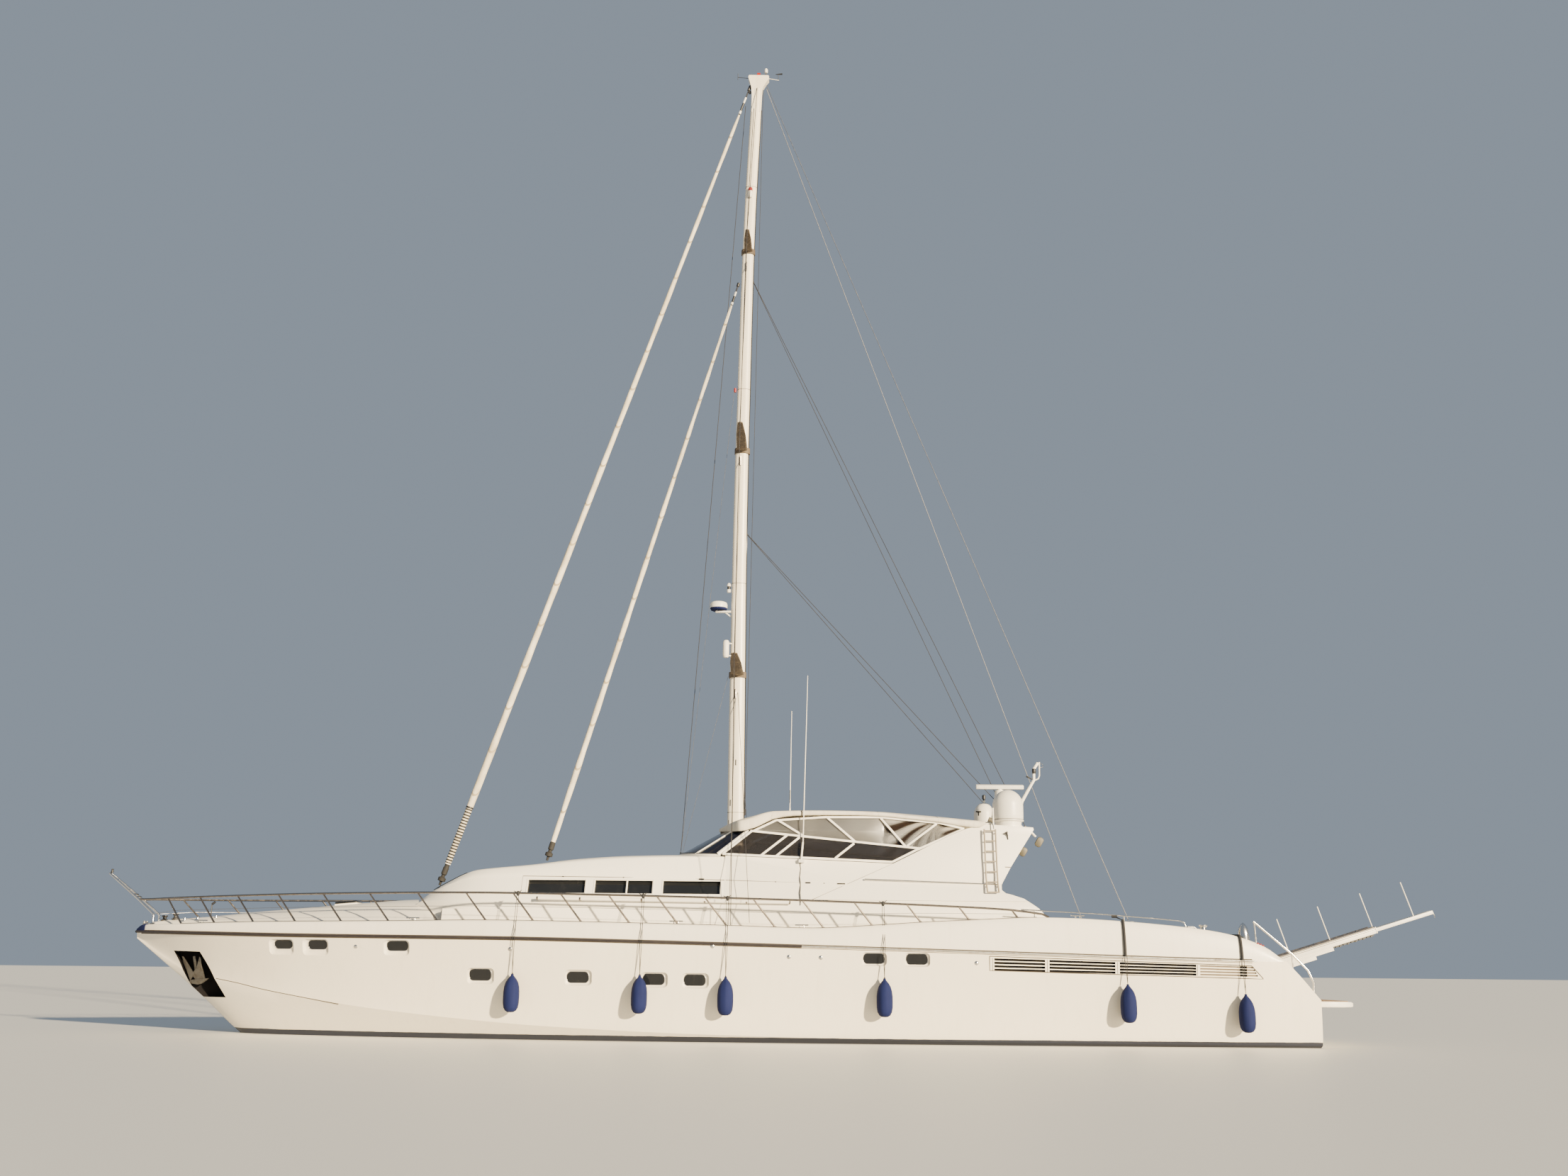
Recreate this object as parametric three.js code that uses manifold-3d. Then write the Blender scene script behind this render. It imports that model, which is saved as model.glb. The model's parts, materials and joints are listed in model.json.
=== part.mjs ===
// A motor sailing yacht of about 30 m: a white hull with a raked bow, a low saloon house, a helm deck
// under a hardtop, a raked arch, and a single mast with two furled headsails.
// +X points to the bow, +Y to port and +Z up. The origin is on the waterline amidships.
// Tables are in metres and are turned into millimetres where a shape is made.
import * as THREE from "three";
import { mergeVertices } from "three/addons/utils/BufferGeometryUtils.js";
import Module from "manifold-3d";

const wasm = await Module();
wasm.setup();

const METRE = 1000;
const GAP = 0.4; // millimetres between pieces that touch
const WELD = 1e-3; // vertices closer than this are one

// Driving dimensions, in metres

const BOW = 15.1;
const TRANSOM = -14.31;
const DECK_END = -13.5; // the deck moulding runs out into the stern slope here
const HOUSE_FRONT = 7.7;
const HOUSE_END = -0.1; // the saloon house meets the helm deck's side walls
const HELM_FLOOR = 3.05;
const COCKPIT_FLOOR = 2.2;
const WALL = 0.06; // thickness of a house wall
const GLASS = 0.016;
const PLATFORM_TOP = 1.06;

// Each curve is a list of [x, value].
const STEM_AND_KEEL_Z = [
  [15.1, 2.3], [14.18, 1.6], [13.23, 0.86], [12.03, -0.11], [11.0, -0.62], [9.5, -0.95],
  [7.5, -1.13], [4, -1.26], [0, -1.3], [-6, -1.2], [-10, -1.02], [-14.31, -0.8],
];
const CHINE_HALF = [
  [15.1, 0.02], [14.2, 0.12], [13.6, 0.32], [12.6, 0.82], [10.3, 1.68], [7.5, 2.3],
  [4, 2.7], [0, 2.9], [-6, 2.95], [-14.31, 2.75],
];
const CHINE_Z = [
  [15.1, 2.36], [14.2, 1.78], [13.6, 1.5], [12.6, 1.3], [10.3, 0.93], [7.5, 0.6],
  [4, 0.33], [0, 0.18], [-6, 0.08], [-14.31, 0.05],
];
const STRAKE_HALF = [
  [15.1, 0.06], [14.8, 0.33], [14, 0.84], [12.5, 1.5], [10.5, 2.15], [8.5, 2.6],
  [5.5, 3.05], [2.5, 3.25], [-3.5, 3.3], [-9.5, 3.24], [-12.5, 3.12], [-14.31, 2.95],
];
const STRAKE_Z = [
  [15.1, 2.46], [12.62, 2.41], [10.26, 2.37], [4.92, 2.33], [1.87, 2.28], [-3.15, 2.18],
  [-7.5, 2.08], [-12.6, 1.97], [-14.31, 1.95],
];
const SHEER_Z = [
  [15.1, 2.6], [14.77, 2.65], [13.61, 2.66], [11.53, 2.7], [7.96, 2.73], [5.54, 2.76],
  [1.99, 2.72], [-0.3, 2.68], [-2.2, 2.64], [-3.78, 2.72], [-4.88, 2.8], [-6.04, 2.86],
  [-7.79, 2.94], [-8.42, 2.93], [-9.64, 2.87], [-11.12, 2.75], [-12.06, 2.62], [-12.98, 2.34],
  [-13.5, 1.99],
];
const SIDE_DECK_HALF = [
  [15.1, 0.01], [14.8, 0.1], [14, 0.45], [12.5, 1], [10.5, 1.6], [8.5, 2], [7, 2.15],
  [5, 2.28], [-7.2, 2.3], [-13.5, 2.28],
];
const CROWN_Z = [
  [15.1, 2.61], [14.52, 2.76], [13.13, 2.87], [12.23, 2.97], [10.67, 3.11], [9.11, 3.25],
  [7.7, 3.34], [7.2, 3.3], [6.9, 3.05], [-7.3, 3.05], [-7.5, 2.93], [-8.42, 2.91],
  [-9.64, 2.85], [-11.12, 2.73], [-12.06, 2.6], [-12.98, 2.32], [-13.5, 1.98],
];
// How much the topsides hollow out at the bow, over 1, or swell aft, under 1.
const FLARE = [[15.1, 1.2], [13, 1.5], [9, 1.25], [4, 0.9], [-4, 0.65], [-14.31, 0.6]];

// The saloon house: x, half-breadth at the crease, at the shoulder and its height, at the roof's edge
// and its height, and the height of the roof's crown.
const HOUSE = [
  { x: 7.7, crease: 1.2, shoulder: 0.95, shoulderZ: 3.2, roof: 0.7, roofZ: 3.28, crown: 3.34 },
  { x: 7.37, crease: 1.45, shoulder: 1.15, shoulderZ: 3.42, roof: 0.9, roofZ: 3.5, crown: 3.56 },
  { x: 6.9, crease: 1.75, shoulder: 1.45, shoulderZ: 3.62, roof: 1.2, roofZ: 3.72, crown: 3.78 },
  { x: 6.47, crease: 1.95, shoulder: 1.62, shoulderZ: 3.76, roof: 1.42, roofZ: 3.9, crown: 3.98 },
  { x: 6.17, crease: 2.05, shoulder: 1.72, shoulderZ: 3.82, roof: 1.55, roofZ: 3.98, crown: 4.08 },
  { x: 5.7, crease: 2.15, shoulder: 1.82, shoulderZ: 3.86, roof: 1.67, roofZ: 4.03, crown: 4.13 },
  { x: 4.84, crease: 2.25, shoulder: 1.92, shoulderZ: 3.87, roof: 1.76, roofZ: 4.1, crown: 4.21 },
  { x: 3.56, crease: 2.3, shoulder: 1.98, shoulderZ: 3.86, roof: 1.82, roofZ: 4.23, crown: 4.38 },
  { x: 2.28, crease: 2.32, shoulder: 2, shoulderZ: 3.83, roof: 1.86, roofZ: 4.32, crown: 4.46 },
  { x: 1.07, crease: 2.33, shoulder: 2, shoulderZ: 3.81, roof: 1.89, roofZ: 4.36, crown: 4.48 },
  { x: HOUSE_END, crease: 2.33, shoulder: 2, shoulderZ: 3.81, roof: 1.9, roofZ: 4.37, crown: 4.48 },
];
const CREASE_Z = 3.25;
const HOUSE_FOOT = 2.5; // the house's skirt runs down behind the deck moulding to here
const SALOON_WINDOWS = { low: 3.45, high: 3.77, spans: [[4.75, 3.33], [3.09, 1.67], [1.41, 0]] };

// The lean of the helm deck's sides, as [z, half-breadth of the outer face].
const SIDE_LEAN = [[2.3, 2.34], [CREASE_Z, 2.33], [3.81, 2], [4.4, 1.9], [5, 1.85], [5.6, 1.78]];

// Outlines seen from the side, as [x, z].
const SIDE_WALL = [
  [-0.1004, 2.3], [-0.1004, 4.41], [-4.28, 4.25], [-4.98, 4.59], [-5.71, 4.96], [-6.12, 5.13],
  [-6.64, 5.25], [-7.8, 5.18], [-7.81, 5.12], [-7.19, 4.18], [-6.94, 3.75], [-6.93, 3.62],
  [-7.02, 3.54], [-7.19, 3.5], [-7.46, 3.41], [-7.79, 3.18], [-7.97, 3], [-8.15, 2.3],
];
const ARCH_LEG = [
  [-2.27, 3.34], [-4.28, 4.25], [-4.98, 4.59], [-5.71, 4.96], [-6.12, 5.13], [-6.64, 5.25],
  [-7.8, 5.18], [-7.81, 5.12], [-7.19, 4.18], [-6.94, 3.75], [-6.93, 3.62], [-7.02, 3.54],
  [-7.19, 3.5], [-7.55, 3.34],
];
const ARCH_STAND_OUT = 0.03;
const LOWER_GLASS = [[-0.03, 4.425], [-4.27, 4.265], [-4.97, 4.605], [-0.8, 5.03]];
const UPPER_GLASS = [
  [-0.84, 5.045], [-4.985, 4.615], [-5.7, 4.975], [-6.1, 5.145], [-5.47, 5.3], [-3.98, 5.42],
  [-2.61, 5.41], [-1.36, 5.32],
];
const BAR_WIDTH = 0.05;
// Frame bars of the helm deck's side, each from [x, z] to [x, z].
const FRAME_BARS = [
  [[-0.03, 4.45], [-4.26, 4.29]], [[-4.26, 4.29], [-4.97, 4.645]], [[-0.72, 5.03], [-4.95, 4.63]],
  [[-0.03, 4.45], [-0.76, 5.03]], [[-0.99, 4.42], [-1.64, 4.93]], [[-1.37, 4.41], [-1.95, 4.88]],
  [[-2.84, 4.37], [-3.31, 4.74]], [[-0.8, 5.03], [-1.36, 5.3]], [[-1.36, 5.3], [-2.61, 5.39]],
  [[-2.61, 5.39], [-3.98, 5.4]], [[-3.98, 5.4], [-5.47, 5.27]], [[-5.47, 5.27], [-6.07, 5.13]],
  [[-1.41, 5.3], [-2.04, 4.92]], [[-2.64, 5.38], [-3.32, 4.8]], [[-3.98, 5.38], [-4.6, 4.67]],
  [[-5.38, 5.25], [-4.63, 4.69]], [[-4.91, 4.61], [-6.07, 5.13]],
];

// The hardtop: x, half-width, height of its edge and of its crown, and how far its lip hangs outside
// the tops of the window frames.
const HARDTOP = [
  { x: 0.12, half: 0.45, edge: 5.15, crown: 5.23, lip: 0.004 },
  { x: -0.1, half: 1.1, edge: 5.11, crown: 5.32, lip: 0.004 },
  { x: -0.48, half: 1.93, edge: 5.06, crown: 5.44, lip: 0.01 },
  { x: -0.8, half: 1.93, edge: 5.11, crown: 5.52, lip: 0.045 },
  { x: -1.34, half: 1.9, edge: 5.38, crown: 5.62, lip: 0.045 },
  { x: -2.61, half: 1.89, edge: 5.465, crown: 5.66, lip: 0.045 },
  { x: -3.98, half: 1.89, edge: 5.475, crown: 5.64, lip: 0.045 },
  { x: -5.47, half: 1.9, edge: 5.36, crown: 5.54, lip: 0.045 },
  { x: -6.6, half: 1.89, edge: 5.31, crown: 5.42, lip: 0.045 },
];
const ROOF_SKIN = 0.06;
const LIP_THICK = 0.035;

const SCREEN_HALF = 1.9; // half-width of the windscreen at its foot
const SCREEN_FOOT_X = -0.03; // where its foot meets the side windows
const SCREEN_BULGE = 1.16; // how far its foot bows forward on the centreline

// The mast: z, centre x, half-length fore and aft, half-width.
const MAST = [
  { z: HELM_FLOOR, x: -0.3, long: 0.215, wide: 0.16 },
  { z: 5.3, x: -0.28, long: 0.215, wide: 0.16 },
  { z: 12.4, x: -0.26, long: 0.19, wide: 0.145 },
  { z: 20, x: -0.33, long: 0.17, wide: 0.13 },
  { z: 22.7, x: -0.38, long: 0.165, wide: 0.125 },
  { z: 26.1, x: -0.5, long: 0.16, wide: 0.12 },
  { z: 27.72, x: -0.57, long: 0.15, wide: 0.11 },
];
const SPREADERS = [
  { name: "spreader_lower", z: 9.35, half: 2.9, chord: 0.34 },
  { name: "spreader_middle", z: 15.75, half: 2.3, chord: 0.3 },
  { name: "spreader_upper", z: 21.9, half: 1.4, chord: 0.24 },
];
const GENOA_STAY = { foot: [7.43, 0, 3.62], head: [-0.2, 0, 27.0] };
const STAYSAIL_STAY = { foot: [4.66, 0, 4.28], head: [-0.05, 0, 20.75] };
const WIRE = 0.009; // radius of shrouds and backstays

const STANCHIONS = { first: 13.67, pitch: 1.157, count: 19, radius: 0.016 };
const RAIL_Z = [
  [15.16, 3.28], [14.2, 3.3], [12.1, 3.34], [9.8, 3.38], [6.1, 3.41], [2.5, 3.37], [-1, 3.31],
  [-3.4, 3.25], [-5.8, 3.17], [-7, 3.11], [-7.75, 3.02],
];
const RAIL_RADIUS = 0.02;
const RAIL_INSET = 0.1; // the rail stands this far inside the deck's edge
const RAIL_LEAN = 0.9; // forward lean of a stanchion for each metre of its height
const STAFF_FOOT = 14.62; // x where the bow staff leaves the deck
const STAFF_TOP = [15.98, 0.03, 3.92];

// Each fender as [x, height of its top].
const FENDERS = [[4.83, 1.5], [1.8, 1.5], [-0.22, 1.48], [-3.94, 1.48], [-9.64, 1.4], [-12.43, 1.2]];
const FENDER_RADIUS = 0.19;
const FENDER_LENGTH = 0.85;

const PASSERELLE = { x: -13.55, y: 0.75, z: 1.84, rise: 17 };
const SHAFT = { x: -12.75, y: 1.35, z: -1.06, rise: 7, length: 2.5 };
const RUDDER = { x: -13.65, y: 1.35, top: -0.58, bottom: -1.85, chord: 0.8 };
const RADAR = { x: -7.27, z: 6.32, half: 0.625 };
const PORT_DOME = { x: -7.28, y: 1.2, z: 5.27, radius: 0.39, height: 0.92 };
const STARBOARD_DOME = { x: -6.97, y: -1, z: 5.35, radius: 0.27, height: 0.75 };

// Numbers and curves

// A smooth curve through a list of [x, value] that never overshoots between its points.
function curve(points) {
  const rows = [...points].sort((a, b) => a[0] - b[0]);
  const slope = rows.slice(1).map((r, i) => (r[1] - rows[i][1]) / (r[0] - rows[i][0]));
  const tangent = rows.map((_, i) => {
    if (i === 0) return slope[0];
    if (i === rows.length - 1) return slope[i - 1];
    const before = slope[i - 1];
    const after = slope[i];
    return before * after <= 0 ? 0 : (2 * before * after) / (before + after);
  });
  return (x) => {
    const last = rows.length - 1;
    if (x <= rows[0][0]) return rows[0][1];
    if (x >= rows[last][0]) return rows[last][1];
    const i = rows.findIndex((r) => r[0] >= x) - 1;
    const span = rows[i + 1][0] - rows[i][0];
    const t = (x - rows[i][0]) / span;
    return (
      rows[i][1] * (1 + 2 * t) * (1 - t) ** 2 +
      rows[i + 1][1] * t * t * (3 - 2 * t) +
      span * t * (1 - t) * (tangent[i] * (1 - t) - tangent[i + 1] * t)
    );
  };
}

// Straight lines through a list of [x, value].
function polyline(points) {
  const rows = [...points].sort((a, b) => a[0] - b[0]);
  return (x) => {
    const i = THREE.MathUtils.clamp(rows.findIndex((r) => r[0] >= x), 1, rows.length - 1);
    const t = (x - rows[i - 1][0]) / (rows[i][0] - rows[i - 1][0]);
    return rows[i - 1][1] + t * (rows[i][1] - rows[i - 1][1]);
  };
}

const keelZ = curve(STEM_AND_KEEL_Z);
const chineHalf = curve(CHINE_HALF);
const chineZ = curve(CHINE_Z);
const strakeHalf = curve(STRAKE_HALF);
const strakeZ = curve(STRAKE_Z);
const sheerZ = curve(SHEER_Z);
const sideDeckHalf = curve(SIDE_DECK_HALF);
const crownZ = curve(CROWN_Z);
const flare = curve(FLARE);
const railZ = curve(RAIL_Z);
const deckHalf = (x) => Math.max(strakeHalf(x) - 0.13, strakeHalf(x) * 0.7);
const degrees = THREE.MathUtils.degToRad;

// Solids

function closedMesh(geometry) {
  const bare = geometry.clone();
  bare.deleteAttribute("normal");
  bare.deleteAttribute("uv");
  return mergeVertices(bare, WELD);
}

// A geometry, in metres, as a solid in millimetres with its faces pointing out.
function solid(geometry) {
  const merged = closedMesh(geometry.clone().scale(METRE, METRE, METRE));
  const vertProperties = merged.attributes.position.array;
  const triVerts = new Uint32Array(merged.index.array);
  const build = () => new wasm.Manifold(new wasm.Mesh({ numProp: 3, vertProperties, triVerts }));
  const made = build();
  if (made.volume() > 0) return made;
  for (let i = 0; i < triVerts.length; i += 3) {
    [triVerts[i + 1], triVerts[i + 2]] = [triVerts[i + 2], triVerts[i + 1]];
  }
  return build();
}

const largest = (body) => body.decompose().sort((a, b) => b.volume() - a.volume())[0];
const joined = (...solids) => solids.reduce((sum, s) => sum.add(s));
const cut = (body, ...tools) => tools.reduce((left, tool) => left.subtract(tool), body);
const mirrored = (body) => body.mirror([0, 1, 0]);
const clear = (body, y = 0, z = GAP) => body.translate([0, y, z]);

// A solid from rings of [x, y, z] with as many points each, closed by flat ends. The second half of
// a ring is split the other way, so that a ring with two like halves gives two like sides.
function loft(rings) {
  const count = rings[0].length;
  const positions = rings.flat(2);
  const index = [];
  for (let r = 0; r + 1 < rings.length; r++) {
    for (let i = 0; i < count; i++) {
      const next = (i + 1) % count;
      const a = r * count + i;
      const b = r * count + next;
      const mirroredHalf = i >= count / 2;
      if (mirroredHalf) index.push(a, b, a + count, b, b + count, a + count);
      else index.push(a, b, b + count, a, b + count, a + count);
    }
  }
  const base = (rings.length - 1) * count;
  for (const [a, b, c] of flatTriangles(rings[0])) index.push(c, b, a);
  for (const [a, b, c] of flatTriangles(rings[rings.length - 1])) {
    index.push(base + a, base + b, base + c);
  }
  const geometry = new THREE.BufferGeometry();
  geometry.setAttribute("position", new THREE.Float32BufferAttribute(positions, 3));
  geometry.setIndex(index);
  return solid(geometry);
}

// Triangles over a flat ring, wound the same way as the ring.
function flatTriangles(ring) {
  const points = ring.map((p) => new THREE.Vector3(...p));
  const normal = new THREE.Vector3();
  points.forEach((p, i) => normal.add(p.clone().cross(points[(i + 1) % points.length])));
  normal.normalize();
  const across = points[1].clone().sub(points[0]).normalize();
  const up = normal.clone().cross(across);
  const flat = points.map((p) => new THREE.Vector2(p.dot(across), p.dot(up)));
  return THREE.ShapeUtils.triangulateShape(flat, []);
}

// A prism of an outline across one axis: [y, z] along x, [x, z] along y, or [x, y] along z.
function prism(outline, axis, low, high) {
  const shape = new THREE.Shape(outline.map(([a, b]) => new THREE.Vector2(a, b)));
  const geometry = new THREE.ExtrudeGeometry(shape, { depth: high - low, bevelEnabled: false });
  const basis = new THREE.Matrix4();
  const [x, y, z] = [[1, 0, 0], [0, 1, 0], [0, 0, 1]].map((v) => new THREE.Vector3(...v));
  if (axis === "x") basis.makeBasis(y, z, x).setPosition(low, 0, 0);
  if (axis === "y") basis.makeBasis(x, z, y.clone().negate()).setPosition(0, high, 0);
  if (axis === "z") basis.setPosition(0, 0, low);
  return solid(geometry.applyMatrix4(basis));
}

// A box between two corners.
function block(low, high) {
  const size = low.map((v, i) => high[i] - v);
  const middle = low.map((v, i) => (v + high[i]) / 2);
  return solid(new THREE.BoxGeometry(...size).translate(...middle));
}

// A polyline whose corners are mitred when a section is swept along it.
class Route extends THREE.Curve {
  constructor(points) {
    super();
    this.points = points.map((p) => new THREE.Vector3(...p));
  }
  getPointAt(u) {
    const at = u * (this.points.length - 1);
    const i = Math.min(Math.floor(at), this.points.length - 2);
    return this.points[i].clone().lerp(this.points[i + 1], at - i);
  }
  getTangentAt(u) {
    const i = Math.round(u * (this.points.length - 1));
    const step = (a, b) => this.points[b].clone().sub(this.points[a]).normalize();
    const sum = new THREE.Vector3();
    if (i > 0) sum.add(step(i - 1, i));
    if (i + 1 < this.points.length) sum.add(step(i, i + 1));
    return sum.normalize();
  }
}

function circle(radius, sides) {
  const angles = Array.from({ length: sides }, (_, i) => (i / sides) * 2 * Math.PI);
  return angles.map((a) => [radius * Math.cos(a), radius * Math.sin(a)]);
}

// A round bar along a list of points.
function tube(points, radius, sides = 6) {
  const section = new THREE.Shape(circle(radius, sides).map(([a, b]) => new THREE.Vector2(a, b)));
  const extrudePath = new Route(points);
  const steps = points.length - 1;
  return solid(new THREE.ExtrudeGeometry(section, { extrudePath, steps }));
}

// A turned piece about a vertical axis through (x, y), from a profile of [radius, z].
function turned(profile, x, y, segments = 16) {
  const points = profile.map(([r, z]) => new THREE.Vector2(r, z));
  const geometry = new THREE.LatheGeometry(points, segments);
  return solid(geometry.rotateX(Math.PI / 2).translate(x, y, 0));
}

// The same piece with its axis along a line from one point towards another.
function turnedAlong(profile, from, to, segments = 12) {
  const points = profile.map(([r, z]) => new THREE.Vector2(r, z));
  const geometry = new THREE.LatheGeometry(points, segments);
  const way = new THREE.Vector3(...to).sub(new THREE.Vector3(...from)).normalize();
  const turn = new THREE.Quaternion().setFromUnitVectors(new THREE.Vector3(0, 1, 0), way);
  return solid(geometry.applyQuaternion(turn).translate(...from));
}

function stations(from, to, step) {
  const count = Math.ceil(Math.abs(to - from) / step);
  return Array.from({ length: count + 1 }, (_, i) => from + ((to - from) * i) / count);
}

// A ring across the yacht from its port half, listed from the keel up.
const wholeRing = (x, half) => [
  ...half.map(([y, z]) => [x, y, z]),
  ...half.slice(1, -1).reverse().map(([y, z]) => [x, -y, z]),
];

// Hull and deck

const DECK_STATIONS = [
  ...stations(BOW, 12.4, 0.45),
  ...stations(12, 8.3, 0.75),
  ...stations(7.7, 6.9, 0.4),
  ...stations(6, -6.8, 1.15),
  ...stations(-7.3, -7.5, 0.2),
  ...stations(-8.42, -11.7, 0.85),
  ...stations(-12.1, DECK_END, 0.35),
];
const HULL_STATIONS = [...DECK_STATIONS, -13.9, TRANSOM];

function hullHalf(x) {
  const [yc, zc, ys, zs] = [chineHalf(x), chineZ(x), strakeHalf(x), strakeZ(x)];
  const side = [0.25, 0.5, 0.75].map((t) => [yc + (ys - yc) * t ** flare(x), zc + (zs - zc) * t]);
  const bottom = [yc * 0.55, keelZ(x) + (zc - keelZ(x)) * 0.42];
  return [[0, keelZ(x)], bottom, [yc, zc], ...side, [ys, zs], [0, zs]];
}

const STERN_SLOPE = [[-13.5, 1.98], [-13.82, 1.65], [-14.31, 1.09], [-14.5, 1.09], [-14.5, 3], [-13.5, 3]];
// The anchor pocket's outline of [x, z], open through the stem at its foot.
const ANCHOR_POCKET = [[13.96, 2], [13.12, 1.98], [12.42, 0.87], [13.26, 0.87], [13.5, 1.06]];
const POCKET_FLOOR = 0.06;
const SALOON_WELL = [[1.15, -1.95, 1.5], [6.9, 1.95, 4]];
const STAIR_WELL = [[0.15, 0.5, 1.5], [1.2, 1.3, 4]];
const GARAGE_WELL = [[-12.6, -1.3, 1.2], [-10.9, 1.3, 4]];
const PASSERELLE_POCKET = [[-13.9, 0.5, 1.58], [-13.3, 1, 4]];
const QUARTER_STEPS = [
  { x: -13.62, z: 1.74 },
  { x: -13.95, z: 1.42 },
];
const STEP_FROM = 1.6;
const STEP_TO = 2.25;

// Scoops for the portholes, each from x to x and from z to z.
const SCOOPS = [
  { front: 11.04, back: 10.38, low: 1.92, high: 2.26 },
  { front: 10.13, back: 9.46, low: 1.91, high: 2.26 },
  { front: 8.03, back: 7.39, low: 1.92, high: 2.26 },
  { front: 5.95, back: 5.3, low: 1.28, high: 1.62 },
  { front: 3.59, back: 2.95, low: 1.27, high: 1.6 },
  { front: 1.78, back: 1.15, low: 1.24, high: 1.57 },
  { front: 0.81, back: 0.18, low: 1.23, high: 1.56 },
  { front: -3.41, back: -4.01, low: 1.78, high: 2.08 },
  { front: -4.42, back: -5.03, low: 1.77, high: 2.08 },
];
const SCOOP = { depth: 0.055, corner: 0.1 };

// The engine room's air intakes: a long opening of [x, z] with bars along and posts across it.
const INTAKE = [[-6.43, 1.99], [-6.43, 1.71], [-12.86, 1.58], [-12.66, 1.91]];
const INTAKE_DEPTH = 0.09;
const INTAKE_GAPS = 4;
const INTAKE_BAR = 0.018; // half-height of a bar
const INTAKE_POSTS = [[-7.71, -7.86], [-9.38, -9.52], [-11.31, -11.41]];
const BAR_INSET = 0.006;

// An outline of [x, z] around a scoop, with round corners.
function scoopOutline({ front, back, low, high }) {
  const r = SCOOP.corner;
  const [right, left, top, foot] = [front - r, back + r, high - r, low + r];
  const corners = [[right, top, 0], [left, top, 90], [left, foot, 180], [right, foot, 270]];
  return corners.flatMap(([x, z, from]) => [0, 30, 60, 90].map((turn) => {
    const a = degrees(from + turn);
    return [x + r * Math.cos(a), z + r * Math.sin(a)];
  }));
}

// What lies between the port topsides and the same surface this far inboard, within an outline.
function behindSkin(body, outline, depth) {
  return cut(prism(outline, "y", 1.2, 4), body.translate([0, -depth * METRE, 0]));
}

function intakeBars(body) {
  const top = polyline([INTAKE[0], INTAKE[3]]);
  const low = polyline([INTAKE[1], INTAKE[2]]);
  const [front, back] = [INTAKE[0][0] + 0.03, INTAKE[3][0] - 0.18];
  const bars = Array.from({ length: INTAKE_GAPS - 1 }, (_, i) => {
    const at = (x) => top(x) + ((low(x) - top(x)) * (i + 1)) / INTAKE_GAPS;
    const [a, b] = [at(front), at(back)];
    return [
      [front, a + INTAKE_BAR], [front, a - INTAKE_BAR], [back, b - INTAKE_BAR], [back, b + INTAKE_BAR],
    ];
  });
  const posts = INTAKE_POSTS.map(([a, b]) => [[a, 2.01], [a, 1.55], [b, 1.55], [b, 2.01]]);
  const grille = joined(...[...bars, ...posts].map((outline) => prism(outline, "y", 1.2, 4)));
  const skin = body.translate([0, -BAR_INSET * METRE, 0]);
  const inner = body.translate([0, -(INTAKE_DEPTH + 0.03) * METRE, 0]);
  return cut(grille.intersect(skin), inner);
}

function makeHull() {
  const whole = loft(HULL_STATIONS.map((x) => wholeRing(x, hullHalf(x))));
  const plain = cut(whole, prism(STERN_SLOPE, "y", -4, 4));
  const scoops = SCOOPS.map((row) => behindSkin(plain, scoopOutline(row), SCOOP.depth));
  const portTools = [
    prism(ANCHOR_POCKET, "y", POCKET_FLOOR, 3),
    behindSkin(plain, INTAKE, INTAKE_DEPTH),
    ...scoops,
    ...QUARTER_STEPS.map(({ x, z }) => block([TRANSOM - 0.2, STEP_FROM, z], [x, STEP_TO, 3])),
  ];
  const bars = intakeBars(plain);
  return joined(
    cut(plain, ...portTools, ...portTools.map(mirrored), block(...GARAGE_WELL), block(...PASSERELLE_POCKET)),
    bars,
    mirrored(bars),
    sternGear(),
  );
}

// Stern tubes and shaft brackets, carried by the bottom of the hull.
function sternGear() {
  const rise = Math.tan(degrees(SHAFT.rise));
  const along = (forward) => [SHAFT.x + forward, SHAFT.y, SHAFT.z + forward * rise];
  const pipe = (from, to, radius) => tube([along(from), along(to)], radius, 10);
  const leg = [[0.24, -0.95], [0.46, -0.95], [0.5, -0.5], [0.24, -0.5]].map(([x, z]) => [SHAFT.x + x, z]);
  const bracket = joined(pipe(0.2, 0.5, 0.085), prism(leg, "y", SHAFT.y - 0.02, SHAFT.y + 0.02));
  const sternTube = pipe(SHAFT.length, SHAFT.length + 1.8, 0.075);
  const one = joined(sternTube, cut(bracket, pipe(0, 1, 0.05)));
  return joined(one, mirrored(one));
}

function deckHalfRing(x) {
  const z = strakeZ(x) + GAP / METRE;
  const [edge, top, inner, crown] = [deckHalf(x), sheerZ(x), sideDeckHalf(x), crownZ(x)];
  const inHouse = THREE.MathUtils.clamp((HOUSE_FRONT - x) / 0.8, 0, 1);
  const side = top - Math.min(0.05, 0.3 * (top - z));
  const riser = [inner * (0.62 + 0.36 * inHouse), side + (crown - side) * (0.72 + 0.28 * inHouse)];
  const lip = Math.min(0.1, edge * 0.3);
  return [
    [0, z],
    [strakeHalf(x) - 0.01, z],
    [strakeHalf(x) - 0.02, z + 0.35 * (top - z)],
    [edge, top],
    [edge - lip, top],
    [edge - 1.2 * lip, side],
    [Math.min(inner, edge - 1.3 * lip), side],
    riser,
    [0, crown],
  ];
}

const COCKPIT = [[-10.4, -2.2, COCKPIT_FLOOR], [-7.35, 2.2, 4]];
const HELM_STEP = [[-7.5, -0.5, 2.62], [-7.05, 0.5, 4]];
const SUNPAD_TOP = 2.42;
const HATCH_COAMING = { x: 9.72, z: 3.225, half: 0.29, tilt: 5.2 };

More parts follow.
